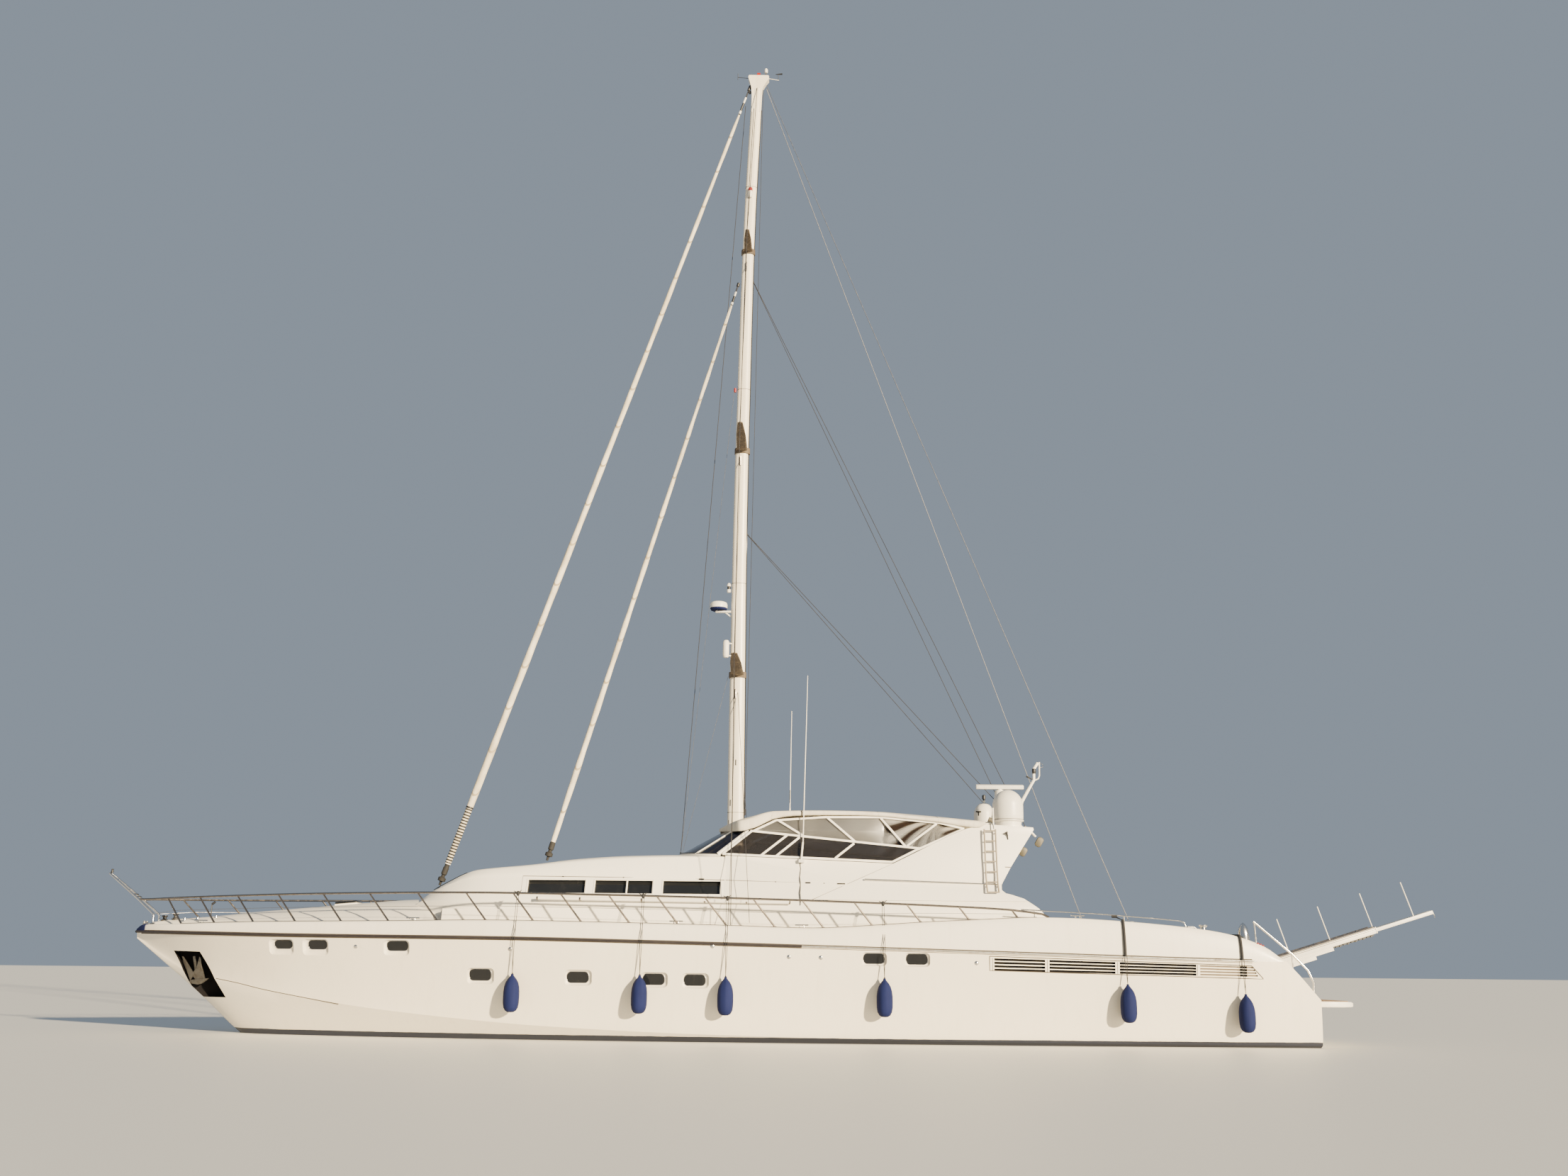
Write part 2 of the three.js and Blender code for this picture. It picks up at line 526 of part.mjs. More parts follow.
function makeDeck() {
  const channel = block([-13.7, STEP_FROM, COCKPIT_FLOOR], [-10.3, STEP_TO, 4]);
  return cut(
    loft(DECK_STATIONS.map((x) => wholeRing(x, deckHalfRing(x)))).add(hatchCoaming()),
    block(...SALOON_WELL),
    block(...STAIR_WELL),
    block(...COCKPIT),
    block(...HELM_STEP),
    block(...GARAGE_WELL),
    block(...PASSERELLE_POCKET),
    block([-13.7, -1.7, SUNPAD_TOP], [-10.3, 1.7, 4]),
    channel,
    mirrored(channel),
  );
}

function hatchCoaming() {
  const { half, tilt, x, z } = HATCH_COAMING;
  const box = new THREE.BoxGeometry(2 * half, 2 * half, 0.2).translate(0, 0, -0.1);
  return solid(box.rotateY(degrees(tilt)).translate(x, 0, z));
}

function makeHatch() {
  const { half, tilt, x, z } = HATCH_COAMING;
  const lid = new THREE.BoxGeometry(1.9 * half, 1.9 * half, 0.045).translate(0, 0, 0.0285);
  return solid(lid.rotateY(degrees(tilt)).translate(x, 0, z));
}

const FIN_KEEL = { front: 3.4, back: -4.6, top: -1.1, bottom: -2.85, half: 0.28 };

// A long ballast keel of foil section under the hull.
function makeKeel(hull) {
  const ring = (front, back, half, z) => {
    const around = [[0, 0], [0.12, 0.62], [0.35, 1], [0.7, 0.7], [1, 0.08]];
    const side = around.map(([t, w]) => [front + (back - front) * t, w * half]);
    const other = side.slice(1).reverse().map(([x, y]) => [x, -y]);
    return [...side, ...other].map(([x, y]) => [x, y, z]);
  };
  const { front, back, top, bottom, half } = FIN_KEEL;
  const body = loft([
    ring(front, back, half, top),
    ring(front - 0.35, back + 0.3, half * 1.05, bottom + 0.35),
    ring(front - 0.6, back + 0.5, half * 0.7, bottom),
  ]);
  return cut(body, hull.translate([0, 0, -GAP]));
}

// The swim platform's end: x, half-breadth, and how far its top has rounded down.
const PLATFORM_END = [
  [-14.75, 2.66, 0], [-15, 2.56, 0], [-15.25, 2.3, 0.012], [-15.43, 1.9, 0.035], [-15.54, 1.4, 0.06],
  [-15.6, 0.7, 0.09],
];
const PLATFORM_THICK = 0.13;

function makePlatform() {
  const rows = [[TRANSOM - GAP / METRE, PLATFORM_END[0][1], 0], ...PLATFORM_END];
  const low = PLATFORM_TOP - PLATFORM_THICK;
  return loft(rows.map(([x, half, fall]) => {
    const top = PLATFORM_TOP - fall;
    return [[x, -half, low], [x, half, low], [x, half, top], [x, -half, top]];
  }));
}

// House and helm deck

function houseHalf(row, inset) {
  const drop = inset ? inset * 1.1 : 0;
  return [
    [0, HOUSE_FOOT],
    [row.crease - inset, HOUSE_FOOT],
    [row.crease - inset, Math.min(CREASE_Z, row.shoulderZ - 0.05) - drop],
    [row.shoulder - inset, row.shoulderZ - drop],
    [row.roof - inset, row.roofZ - drop],
    [row.roof * 0.9 - inset, row.roofZ + (row.crown - row.roofZ) * 0.4 - drop],
    [row.roof * 0.5, row.roofZ + (row.crown - row.roofZ) * 0.85 - drop],
    [0, row.crown - drop],
  ];
}

const screenFootX = (y) => SCREEN_FOOT_X + SCREEN_BULGE * Math.sqrt(Math.max(0, 1 - (y / SCREEN_HALF) ** 2));

function helmCutOut() {
  const across = stations(-1.7, 1.7, 0.34).map((y) => [screenFootX(y) - 0.09, y]);
  return prism([[HOUSE_END - 0.3, -1.8], ...across, [HOUSE_END - 0.3, 1.8]], "z", 3.95, 5);
}

function windowTools() {
  const { low, high, spans } = SALOON_WINDOWS;
  const made = spans.map(([front, back]) => block([back, 1.5, low], [front, 2.6, high]));
  return [...made, ...made.map(mirrored)];
}

const FRONT_WINDOW = { low: 7.22, high: 6.52, half: 1.05 };

function makeHouse(deck) {
  const outer = loft(HOUSE.map((row) => wholeRing(row.x, houseHalf(row, 0))));
  const first = { ...HOUSE[1], x: HOUSE[1].x - 0.05 };
  const last = { ...HOUSE[HOUSE.length - 1], x: HOUSE_END - 0.3 };
  const rows = [first, ...HOUSE.slice(2, -1), last];
  const inner = loft(rows.map((row) => wholeRing(row.x, houseHalf(row, WALL))));
  const { low, high, half } = FRONT_WINDOW;
  const frontWindow = block([high, -half, 3.55], [low, half, 5]);
  const shell = cut(outer, inner, helmCutOut(), frontWindow, ...windowTools());
  return cut(joined(shell, tack(GENOA_STAY), tack(STAYSAIL_STAY)), clear(deck));
}

// A sheet on the leaning side between two offsets from its outer face, cut to an outline.
function sideSheet(outline, outside, inside) {
  const outer = SIDE_LEAN.map(([z, y]) => [y + outside, z]);
  const inner = [...SIDE_LEAN].reverse().map(([z, y]) => [y + inside, z]);
  const blank = prism([...outer, ...inner], "x", -8.5, 5);
  return blank.intersect(prism(outline, "y", 1, 3));
}

function makeSide(deck) {
  const wall = sideSheet(SIDE_WALL, 0, -WALL);
  const leg = sideSheet(ARCH_LEG, ARCH_STAND_OUT, -WALL);
  return cut(joined(wall, leg), clear(deck, GAP, GAP));
}

// A bar as an outline of [x, z] around the line between two points.
function barOutline([from, to]) {
  const way = new THREE.Vector2(to[0] - from[0], to[1] - from[1]).normalize();
  const across = [(-way.y * BAR_WIDTH) / 2, (way.x * BAR_WIDTH) / 2];
  return [
    [from[0] + across[0], from[1] + across[1]], [from[0] - across[0], from[1] - across[1]],
    [to[0] - across[0], to[1] - across[1]], [to[0] + across[0], to[1] + across[1]],
  ];
}

const FRAME_OUTSIDE = 0.045;
const FRAME_LIMIT = [
  [0.02, 4.415], [-4.275, 4.262], [-4.98, 4.6], [-5.71, 4.97], [-6.115, 5.14], [-5.47, 5.345],
  [-3.98, 5.46], [-2.61, 5.45], [-1.36, 5.365], [-0.82, 5.095], [-0.55, 5.045],
];

function makeFrame(side) {
  const bars = joined(...FRAME_BARS.map((bar) => prism(barOutline(bar), "y", 1, 3)));
  const limit = prism(FRAME_LIMIT, "y", 1, 3);
  const sheet = sideSheet([[0.3, 4], [0.3, 6], [-8, 6], [-8, 4]], FRAME_OUTSIDE, 0.005);
  return largest(cut(sheet.intersect(bars).intersect(limit), clear(side)));
}

const makeLowerGlass = () => sideSheet(LOWER_GLASS, 0, -GLASS);
const makeUpperGlass = () => sideSheet(UPPER_GLASS, 0, -GLASS);

// One long pane behind the three openings of a side, just inside the wall.
function makeSaloonPane() {
  const rows = [HOUSE[6], HOUSE[7], HOUSE[8], HOUSE[9], { ...HOUSE[10], x: -0.05 }];
  const { low, high } = SALOON_WINDOWS;
  const lean = (row, z) => {
    const t = (z + WALL * 1.1 - CREASE_Z) / (row.shoulderZ - CREASE_Z);
    return row.crease + (row.shoulder - row.crease) * t - WALL - 0.014;
  };
  return loft(rows.map((row) => [
    [row.x, lean(row, low - 0.04), low - 0.04],
    [row.x, lean(row, high + 0.03), high + 0.03],
    [row.x, lean(row, high + 0.03) - GLASS, high + 0.03],
    [row.x, lean(row, low - 0.04) - GLASS, low - 0.04],
  ]));
}

function makeFrontPane() {
  const { low, high, half } = FRONT_WINDOW;
  const crown = curve(HOUSE.map((row) => [row.x, row.crown]));
  const profile = [
    [low - 0.012, crown(low) - 0.045], [high + 0.012, crown(high) - 0.045],
    [high + 0.012, crown(high) - 0.07], [low - 0.012, crown(low) - 0.07],
  ];
  return prism(profile, "y", -half + 0.012, half - 0.012);
}

function makeScreen() {
  const rings = stations(-88, 88, 16).map((angle) => {
    const a = degrees(angle);
    const [across, out] = [Math.sin(a), Math.cos(a)];
    const foot = [SCREEN_FOOT_X + 0.01 + SCREEN_BULGE * out, 1.88 * across, 4.44 + 0.1 * out * out];
    const top = [-0.74 + 0.8 * out, 1.75 * across, 5.04 + 0.08 * out * out];
    const inward = [-GLASS * out - 0.004, -GLASS * across, 0];
    const shifted = (p) => p.map((v, i) => v + inward[i]);
    return [foot, top, shifted(top), shifted(foot)];
  });
  return loft(rings);
}

function hardtopHalf({ half, edge, crown, lip }) {
  const rise = crown - edge;
  return [
    [0, crown - ROOF_SKIN],
    [half * 0.7, edge + rise * 0.62 - ROOF_SKIN * 0.6],
    [half - 0.1, edge],
    [half - LIP_THICK, edge],
    [half - LIP_THICK, edge - lip],
    [half, edge - lip],
    [half + 0.01, edge + Math.min(0.06, rise * 0.5)],
    [half * 0.93, edge + rise * 0.55],
    [half * 0.7, edge + rise * 0.8],
    [0, crown],
  ];
}

function mastRing({ z, x, long, wide }, grow = 0, sides = 16) {
  return circle(1, sides).map(([a, b]) => [x + a * (long + grow), b * (wide + grow), z]);
}

function makeHardtop() {
  const roof = loft(HARDTOP.map((row) => wholeRing(row.x, hardtopHalf(row))));
  const hole = loft([mastRing({ ...MAST[1], z: 4.9 }, 0.012), mastRing({ ...MAST[1], z: 6 }, 0.012)]);
  return cut(roof, hole);
}

const ARCH_TOP = [[-6.62, 5.26], [-7.79, 5.19], [-7.79, 5.13], [-7.5, 5.04], [-6.75, 5.08], [-6.62, 5.16]];

function plinth({ x, y, z, radius }) {
  return turned([[0, 5.15], [radius * 0.93, 5.15], [radius * 0.93, z], [0, z]], x, y, 20);
}

const LIGHT_MAST = [[-7.62, 0, 5.15], [-7.86, 0, 6.07], [-8.18, 0, 6.6], [-8.19, 0, 6.9], [-8.3, 0, 7.06]];

// A profile of [radius, height] or [y, height] about the scanner's turning point.
const aboveRadar = (profile) => profile.map(([a, height]) => [a, RADAR.z + height]);

function makeArchTop() {
  const housing = aboveRadar([[0, -0.2], [0.15, -0.2], [0.13, -0.006], [0, -0.006]]);
  return joined(
    prism(ARCH_TOP, "y", -1.74, 1.74),
    plinth(PORT_DOME),
    plinth(STARBOARD_DOME),
    tube([[RADAR.x, 0, 5.15], [RADAR.x, 0, RADAR.z - 0.12]], 0.09, 10),
    turned(housing, RADAR.x, 0),
    tube(LIGHT_MAST, 0.04, 8),
  );
}

function makeScanner() {
  const shaft = turned(aboveRadar([[0, 0], [0.06, 0], [0.06, 0.04], [0, 0.04]]), RADAR.x, 0, 12);
  const section = aboveRadar([[-0.06, 0.03], [0.06, 0.03], [0.07, 0.12], [-0.06, 0.16]]);
  return joined(shaft, prism(section, "x", RADAR.x - RADAR.half, RADAR.x + RADAR.half));
}

function makeDome({ x, y, z, radius, height }) {
  const foot = z + GAP / METRE;
  const rise = [
    [0, 0], [0.93, 0], [0.93, 0.04], [1, 0.07], [1, 0.55], [0.95, 0.7], [0.82, 0.84], [0.6, 0.94],
    [0.32, 0.99], [0, 1],
  ];
  return turned(rise.map(([r, h]) => [r * radius, foot + h * height]), x, y, 20);
}

const LADDER = { x: -6.65, half: 0.145, low: 3.6, high: 5.12, pitch: 0.26, rail: 0.024, rung: 0.016 };

function makeLadder(side) {
  const { x, half, low, high, pitch, rail, rung } = LADDER;
  const lean = curve(SIDE_LEAN);
  const faceY = (z) => lean(z) + ARCH_STAND_OUT + 0.09;
  const levels = stations(low, high, 0.3);
  const rails = [x - half, x + half].map((at) => tube(levels.map((z) => [at, faceY(z), z]), rail));
  const rungs = stations(low + 0.1, high - 0.1, pitch).map((z) =>
    tube([[x - half, faceY(z), z], [x + half, faceY(z), z]], rung));
  const feet = [low + 0.06, high - 0.08].flatMap((z) => [x - half, x + half].map((at) =>
    tube([[at, faceY(z), z], [at, faceY(z) - 0.15, z]], rung)));
  return cut(joined(...rails, ...rungs, ...feet), clear(side, GAP, 0));
}

// Inside the helm deck

const WHEEL = { x: -0.16, y: -0.85, z: 4.02, radius: 0.24, tilt: 25 };

// A point on the steering column, this far forward of the wheel's hub.
const alongWheelAxis = (length) => {
  const a = degrees(WHEEL.tilt);
  return [WHEEL.x + length * Math.cos(a), WHEEL.y, WHEEL.z - length * Math.sin(a)];
};

const CONSOLE_X = 0;
const DOORWAY = { low: HELM_FLOOR + 0.02, high: 4.2, from: 0.52, to: 1.22 };

const DOOR_GAP = 0.012;

function makeConsole() {
  const floor = HELM_FLOOR + GAP / METRE;
  const half = [[2.18, floor], [2.18, 3.2], [1.86, 3.78], [1.77, 4.26]];
  const outline = [...half, ...[...half].reverse().map(([y, z]) => [-y, z])];
  const bulkhead = prism(outline, "x", CONSOLE_X, CONSOLE_X + 0.06);
  const { from, to, low, high } = DOORWAY;
  const doorway = block([-0.2, from - DOOR_GAP, low - DOOR_GAP], [0.2, to + DOOR_GAP, high + DOOR_GAP]);
  const dash = prism([[0.05, 3.6], [0.62, 3.7], [0.62, 4.24], [0.05, 4.3]], "y", -1.6, 0.4);
  const column = tube([alongWheelAxis(0.032), alongWheelAxis(0.3)], 0.03, 10);
  return joined(cut(bulkhead, doorway), dash, column);
}

const makeDoor = () => block(
  [CONSOLE_X + 0.01, DOORWAY.from, DOORWAY.low], [CONSOLE_X + 0.05, DOORWAY.to, DOORWAY.high]);

function makeWheel() {
  const rim = new THREE.TorusGeometry(WHEEL.radius, 0.016, 6, 24);
  const spokes = [0, 120, 240].map((angle) => new THREE.BoxGeometry(0.026, WHEEL.radius, 0.014)
    .translate(0, WHEEL.radius / 2, 0).rotateZ(degrees(angle)));
  const hub = new THREE.CylinderGeometry(0.045, 0.045, 0.05, 12).rotateX(Math.PI / 2);
  const facing = degrees(WHEEL.tilt) - Math.PI / 2;
  const placed = (g) => solid(g.rotateY(facing).translate(WHEEL.x, WHEEL.y, WHEEL.z));
  return joined(...[rim, ...spokes, hub].map(placed));
}

const HELM_SEAT = { x: -1.35, y: -0.85, half: 0.62 };

function makeHelmSeat() {
  const { x, y, half } = HELM_SEAT;
  const floor = HELM_FLOOR + GAP / METRE;
  const rest = [[-0.42, 0.6], [-0.24, 0.6], [-0.38, 1.68], [-0.54, 1.66]];
  const back = rest.map(([a, b]) => [x + a, floor + b]);
  return joined(
    block([x - 0.45, y - half, floor + 0.3], [x + 0.15, y + half, floor + 0.75]),
    prism(back, "y", y - half, y + half),
    block([x - 0.35, y - half + 0.1, floor], [x + 0.05, y + half - 0.1, floor + 0.35]),
  );
}

// An L-shaped settee along the port side, behind the helm.
function makeSettee() {
  const floor = HELM_FLOOR + GAP / METRE;
  return joined(
    block([-5.3, 0.75, floor], [-2.3, 1.45, floor + 0.45]),
    block([-5.3, 1.4, floor], [-2.3, 1.62, floor + 1.15]),
  );
}

function makeCockpitSofa() {
  const floor = COCKPIT_FLOOR + GAP / METRE;
  return joined(
    block([-10.35, -1.5, floor], [-9.7, 1.5, floor + 0.42]),
    block([-10.38, -1.5, floor], [-10.15, 1.5, floor + 0.72]),
  );
}

const SUNPAD = { hinge: -10.5, end: -12.7, half: 1.56, thick: 0.15 };

function makeSunpad() {
  const { hinge, end, half, thick } = SUNPAD;
  const low = SUNPAD_TOP + 0.006;
  const profile = [[hinge, 0], [hinge, thick], [end + 0.15, thick - 0.02], [end, 0.06], [end, 0]];
  return prism(profile.map(([x, rise]) => [x, low + rise]), "y", -half, half);
}

// Mast and rigging

const between = (a, b, t) => a.map((v, i) => v + (b[i] - v) * t);

function makeMast() {
  const body = loft(MAST.map((row, i) => mastRing(i ? row : { ...row, z: row.z + GAP / METRE })));
  const crane = block([-0.88, -0.09, 27.42], [-0.26, 0.09, 27.68]);
  const stub = (stay, from, into) => tube([between(stay.foot, stay.head, from), stay.head, into], 0.018, 8);
  return joined(
    body,
    crane,
    stub(GENOA_STAY, 0.979, [-0.5, 0, 27.15]),
    stub(STAYSAIL_STAY, 0.972, [-0.3, 0, 20.85]),
  );
}

const mastAt = (z) => Object.fromEntries(
  ["x", "long", "wide"].map((key) => [key, polyline(MAST.map((row) => [row.z, row[key]]))(z)]));

const SPREADER_SECTION = [[1, 0], [0.2, 1], [-0.7, 0.7], [-1, 0], [-0.7, -0.7], [0.2, -1]];

function makeSpreader({ z, half, chord }) {
  const at = { ...mastAt(z), z };
  const arm = (side) => {
    const ring = (y, wide, thick) => SPREADER_SECTION
      .map(([a, b]) => [at.x + (a * wide) / 2, side * y, z + (b * thick) / 2]);
    return loft([
      ring(0.05, chord, 0.07),
      ring(half * 0.6, chord * 0.85, 0.05),
      ring(half, chord * 0.45, 0.035),
    ]);
  };
  const collar = loft([-0.08, 0.08].map((up) => mastRing({ ...at, z: z + up }, 0.035)));
  const hole = loft([-0.2, 0.2].map((up) => mastRing({ ...mastAt(z + up), z: z + up }, 0.002)));
  return cut(joined(arm(1), arm(-1), collar), hole);
}

// A sail rolled on its stay, with a drum at its foot.
function makeRoll({ foot, head }, radius, end) {
  const length = new THREE.Vector3(...head).distanceTo(new THREE.Vector3(...foot));
  const drum = [[0, 0.16], [0.04, 0.16], [0.04, 0.2], [0.1, 0.22], [0.1, 0.3], [0.05, 0.32], [0.05, 0.38]];
  const cloth = [
    [0.08, 0.4], [0.08, 0.56], [radius, 1.6], [radius, length * 0.3], [radius * 0.8, length * 0.7],
    [radius * 0.5, length * end - 0.4], [0.03, length * end], [0, length * end],
  ];
  return turnedAlong([...drum, ...cloth], foot, head);
}

// The plate and pin on the house that a furling drum stands on.
function tack({ foot, head }) {
  const from = between(foot, head, -0.004);
  const to = between(foot, head, 0.15 / 24);
  const plate = block([foot[0] - 0.14, -0.08, foot[2] - 0.12], [foot[0] + 0.14, 0.08, foot[2] + 0.03]);
  return joined(tube([from, to], 0.022, 8), plate);
}

function makeShroud() {
  const chainplate = [-0.3, deckHalf(-0.3) - 0.18, sheerZ(-0.3) + 0.006];
  const tips = SPREADERS.map(({ z, half }) => [mastAt(z).x, half + WIRE + 0.008, z]);
  const masthead = [-0.55, 0.11 + WIRE + 0.006, 27.3];
  return tube([chainplate, ...tips, masthead], WIRE);
}

const makeBackstay = () => tube([[-9.9, 2.62, 2.9], [-0.83, 0.1, 27.4]], WIRE);

const MAST_RADOME = { x: 0.28, z: 11.14 };

function makeRadome() {
  const { x, z } = MAST_RADOME;
  const face = mastAt(z).x + mastAt(z).long + 0.002;
  const shell = [[0, 0], [0.2, 0], [0.235, 0.06], [0.225, 0.16], [0.14, 0.23], [0, 0.25]];
  const bracket = [[face, z - 0.14], [face, z + 0.01], [x + 0.12, z + 0.01], [x + 0.12, z - 0.03]];
  return joined(
    turned(shell.map(([r, up]) => [r, z + up]), x, 0),
    prism(bracket, "y", -0.05, 0.05),
  );
}

// Rails, ground tackle and fenders

function makeRail(deck) {
  const railY = (x) => Math.max(deckHalf(x) - RAIL_INSET, 0.03);
  const along = [15.16, 14.9, 14.55, ...stations(14.2, -7.1, 1.07), -7.75];
  const top = along.map((x) => [x, x > 15 ? 0.03 : railY(x), railZ(x)]);
  const staffFoot = [STAFF_FOOT, deckHalf(STAFF_FOOT) * 0.6, sheerZ(STAFF_FOOT)];
  const staff = [staffFoot, [15.15, 0.03, 3.275], STAFF_TOP];
  const posts = Array.from({ length: STANCHIONS.count }, (_, i) => {
    const x = STANCHIONS.first - STANCHIONS.pitch * i;
    const height = railZ(x) - sheerZ(x);
    const head = x + RAIL_LEAN * height;
    const line = [[x, deckHalf(x) - 0.05, sheerZ(x) - 0.01], [head, railY(head), railZ(head)]];
    return tube(line, STANCHIONS.radius);
  });
  const last = along[along.length - 1];
  const foot = last - 0.15;
  const end = [[last, railY(last), railZ(last)], [foot, deckHalf(foot) - 0.05, sheerZ(foot) - 0.01]];
  const pipes = [top, staff, end].map((points) => tube(points, RAIL_RADIUS));
  return cut(joined(...pipes, ...posts), clear(deck));
}

// An anchor drawn up into its pocket, as outlines of [x, z] that lie side by side in one sloping plane.
const FLUKES = [
  [[13.78, 1.86], [13.74, 1.86], [13.44, 1.47], [13.45, 1.37], [13.55, 1.27]],
  [[13.21, 1.86], [13.17, 1.81], [13.16, 1.66], [13.06, 1.29], [13.27, 1.19], [13.45, 1.37], [13.44, 1.47],
    [13.32, 1.59]],
];
const CROWN = [[13.55, 1.2], [13.54, 1.28], [12.94, 1.33], [13.16, 1.2], [13.3, 1.17]];
const SHANK = [[13.36, 1.22], [13.44, 1.86], [13.36, 1.87], [13.28, 1.22]];
const FLUKE_PLANE = { y: 7.11, forward: -0.55, up: 0.4 }; // y = 7.11 - 0.55 x + 0.4 z

function makeAnchor() {
  const { y, forward, up } = FLUKE_PLANE;
  const flat = joined(
    ...FLUKES.map((outline) => prism(outline, "y", -0.02, 0.02)),
    prism(CROWN, "y", -0.03, 0.05),
    prism(SHANK, "y", -0.05, -0.01),
  );
  return flat.transform([1, forward, 0, 0, 0, 1, 0, 0, 0, up, 1, 0, 0, y * METRE, 0, 1]);
}

function hullSideY(x, z) {
  const t = THREE.MathUtils.clamp((z - chineZ(x)) / (strakeZ(x) - chineZ(x)), 0, 1);
  return chineHalf(x) + (strakeHalf(x) - chineHalf(x)) * t ** flare(x);
}

function makeFender(x, z) {
  const y = hullSideY(x, z - 0.3) + FENDER_RADIUS + 0.03;
  const profile = [
    [0, -FENDER_LENGTH], [0.09, -FENDER_LENGTH], [0.17, -0.72], [FENDER_RADIUS, -0.6],
    [FENDER_RADIUS, -0.25], [0.16, -0.12], [0.05, -0.02], [0.03, 0.03], [0, 0.03],
  ];
  const body = turned(profile.map(([r, up]) => [r, z + up]), x, y, 14);
  const rail = [x, strakeHalf(x) + 0.03, strakeZ(x) + 0.04];
  const top = x > -7.5 ? [x, deckHalf(x) - 0.05, railZ(x)] : [x, deckHalf(x) + 0.03, sheerZ(x) + 0.01];
  return joined(body, tube([[x, y, z], rail, top], 0.009));
}

// Passerelle, propellers and rudders

function onGangway(geometry) {
  const { x, y, z, rise } = PASSERELLE;
  return solid(geometry.rotateY(degrees(rise)).translate(x, y, z));
}

// A box beam along the passerelle: from and to along it, its depth below and above, and its half-width.
function gangBox(from, to, low, high, half) {
  const box = new THREE.BoxGeometry(to - from, 2 * half, high - low);
  return onGangway(box.translate(-(from + to) / 2, 0, (low + high) / 2));
}

const POST_HEIGHT = 0.9;

function post(along, side, base) {
  const rod = new THREE.CylinderGeometry(0.014, 0.014, POST_HEIGHT, 6).rotateX(Math.PI / 2);
  return onGangway(rod.translate(-along, side, base + POST_HEIGHT / 2));
}

// The walkway slides inside this beam, whose drive is in the box below it.
function makeGangOuter() {
  const channel = cut(gangBox(0.2, 3.15, -0.05, 0.1, 0.2), gangBox(0.3, 3.3, -0.025, 0.075, 0.16));
  return joined(
    channel,
    gangBox(-0.06, 0.35, -0.07, 0.1, 0.06),
    gangBox(0.35, 1.45, -0.23, -0.03, 0.14),
    gangBox(1.4, 1.95, -0.15, -0.03, 0.14),
    ...[0.82, 1.92, 3.07].map((along) => post(along, 0.18, 0.09)),
  );
}

const makeGangInner = () => joined(gangBox(1.4, 4.7, -0.018, 0.068, 0.153), post(4.2, 0.12, 0.05));

// The hub as [radius, distance aft], and a blade's outline as [across, outwards].
const HUB = [[0, -0.24], [0.04, -0.2], [0.085, -0.08], [0.095, 0.05], [0.06, 0.12], [0, 0.12]];
const BLADE = [
  [-0.05, 0.05], [0.05, 0.05], [0.14, 0.22], [0.12, 0.36], [0, 0.42], [-0.12, 0.36], [-0.14, 0.22],
];

function makePropeller() {
  const rise = degrees(SHAFT.rise);
  const aim = (geometry) => solid(geometry.rotateY(-rise).translate(SHAFT.x, SHAFT.y, SHAFT.z));
  const flat = (points) => points.map(([a, b]) => new THREE.Vector2(a, b));
  const shaft = new THREE.CylinderGeometry(0.038, 0.038, SHAFT.length, 10).rotateZ(Math.PI / 2)
    .translate(SHAFT.length / 2 - 0.01, 0, 0);
  const hub = new THREE.LatheGeometry(flat(HUB), 12).rotateZ(-Math.PI / 2);
  const shape = new THREE.Shape(flat(BLADE));
  const blade = (turn) => new THREE.ExtrudeGeometry(shape, { depth: 0.016, bevelEnabled: false })
    .translate(0, 0, -0.008)
    .rotateY(degrees(60))
    .rotateX(degrees(turn))
    .translate(-0.03, 0, 0);
  return joined(aim(shaft), aim(hub), ...[0, 90, 180, 270].map((turn) => aim(blade(turn))));
}

function makeRudder() {
  const { x, y, top, bottom, chord } = RUDDER;
  const ring = (front, back, half, z) => {
    const outline = [[front, 0], [front - 0.2, half], [back, 0.01], [back, -0.01], [front - 0.2, -half]];
    return outline.map(([a, b]) => [a, y + b, z]);
  };
  const blade = loft([
    ring(x + chord * 0.3, x - chord * 0.7, 0.055, bottom),
    ring(x + chord * 0.35, x - chord * 0.62, 0.065, top - 0.06),
  ]);
  return joined(blade, tube([[x, y, top - 0.3], [x, y, top + 0.05]], 0.045, 10));
}

// Assembly

function paint(color, roughness, metalness = 0) {
  return new THREE.MeshStandardMaterial({ color, roughness, metalness });
}

const yacht = new THREE.Group();

function place(name, body, material) {
  const mesh = body.getMesh();
  const geometry = new THREE.BufferGeometry();
  geometry.setAttribute("position", new THREE.BufferAttribute(new Float32Array(mesh.vertProperties), 3));
  geometry.setIndex(new THREE.BufferAttribute(new Uint32Array(mesh.triVerts), 1));
  geometry.computeVertexNormals();
  const made = new THREE.Mesh(geometry, material);
  made.name = name;
  yacht.add(made);
}

function placePair(name, body, material) {
  place(name + "_port", body, material);
  place(name + "_starboard", mirrored(body), material);
}

const hull = makeHull();
const deck = makeDeck();
const house = makeHouse(deck);
const side = makeSide(deck);

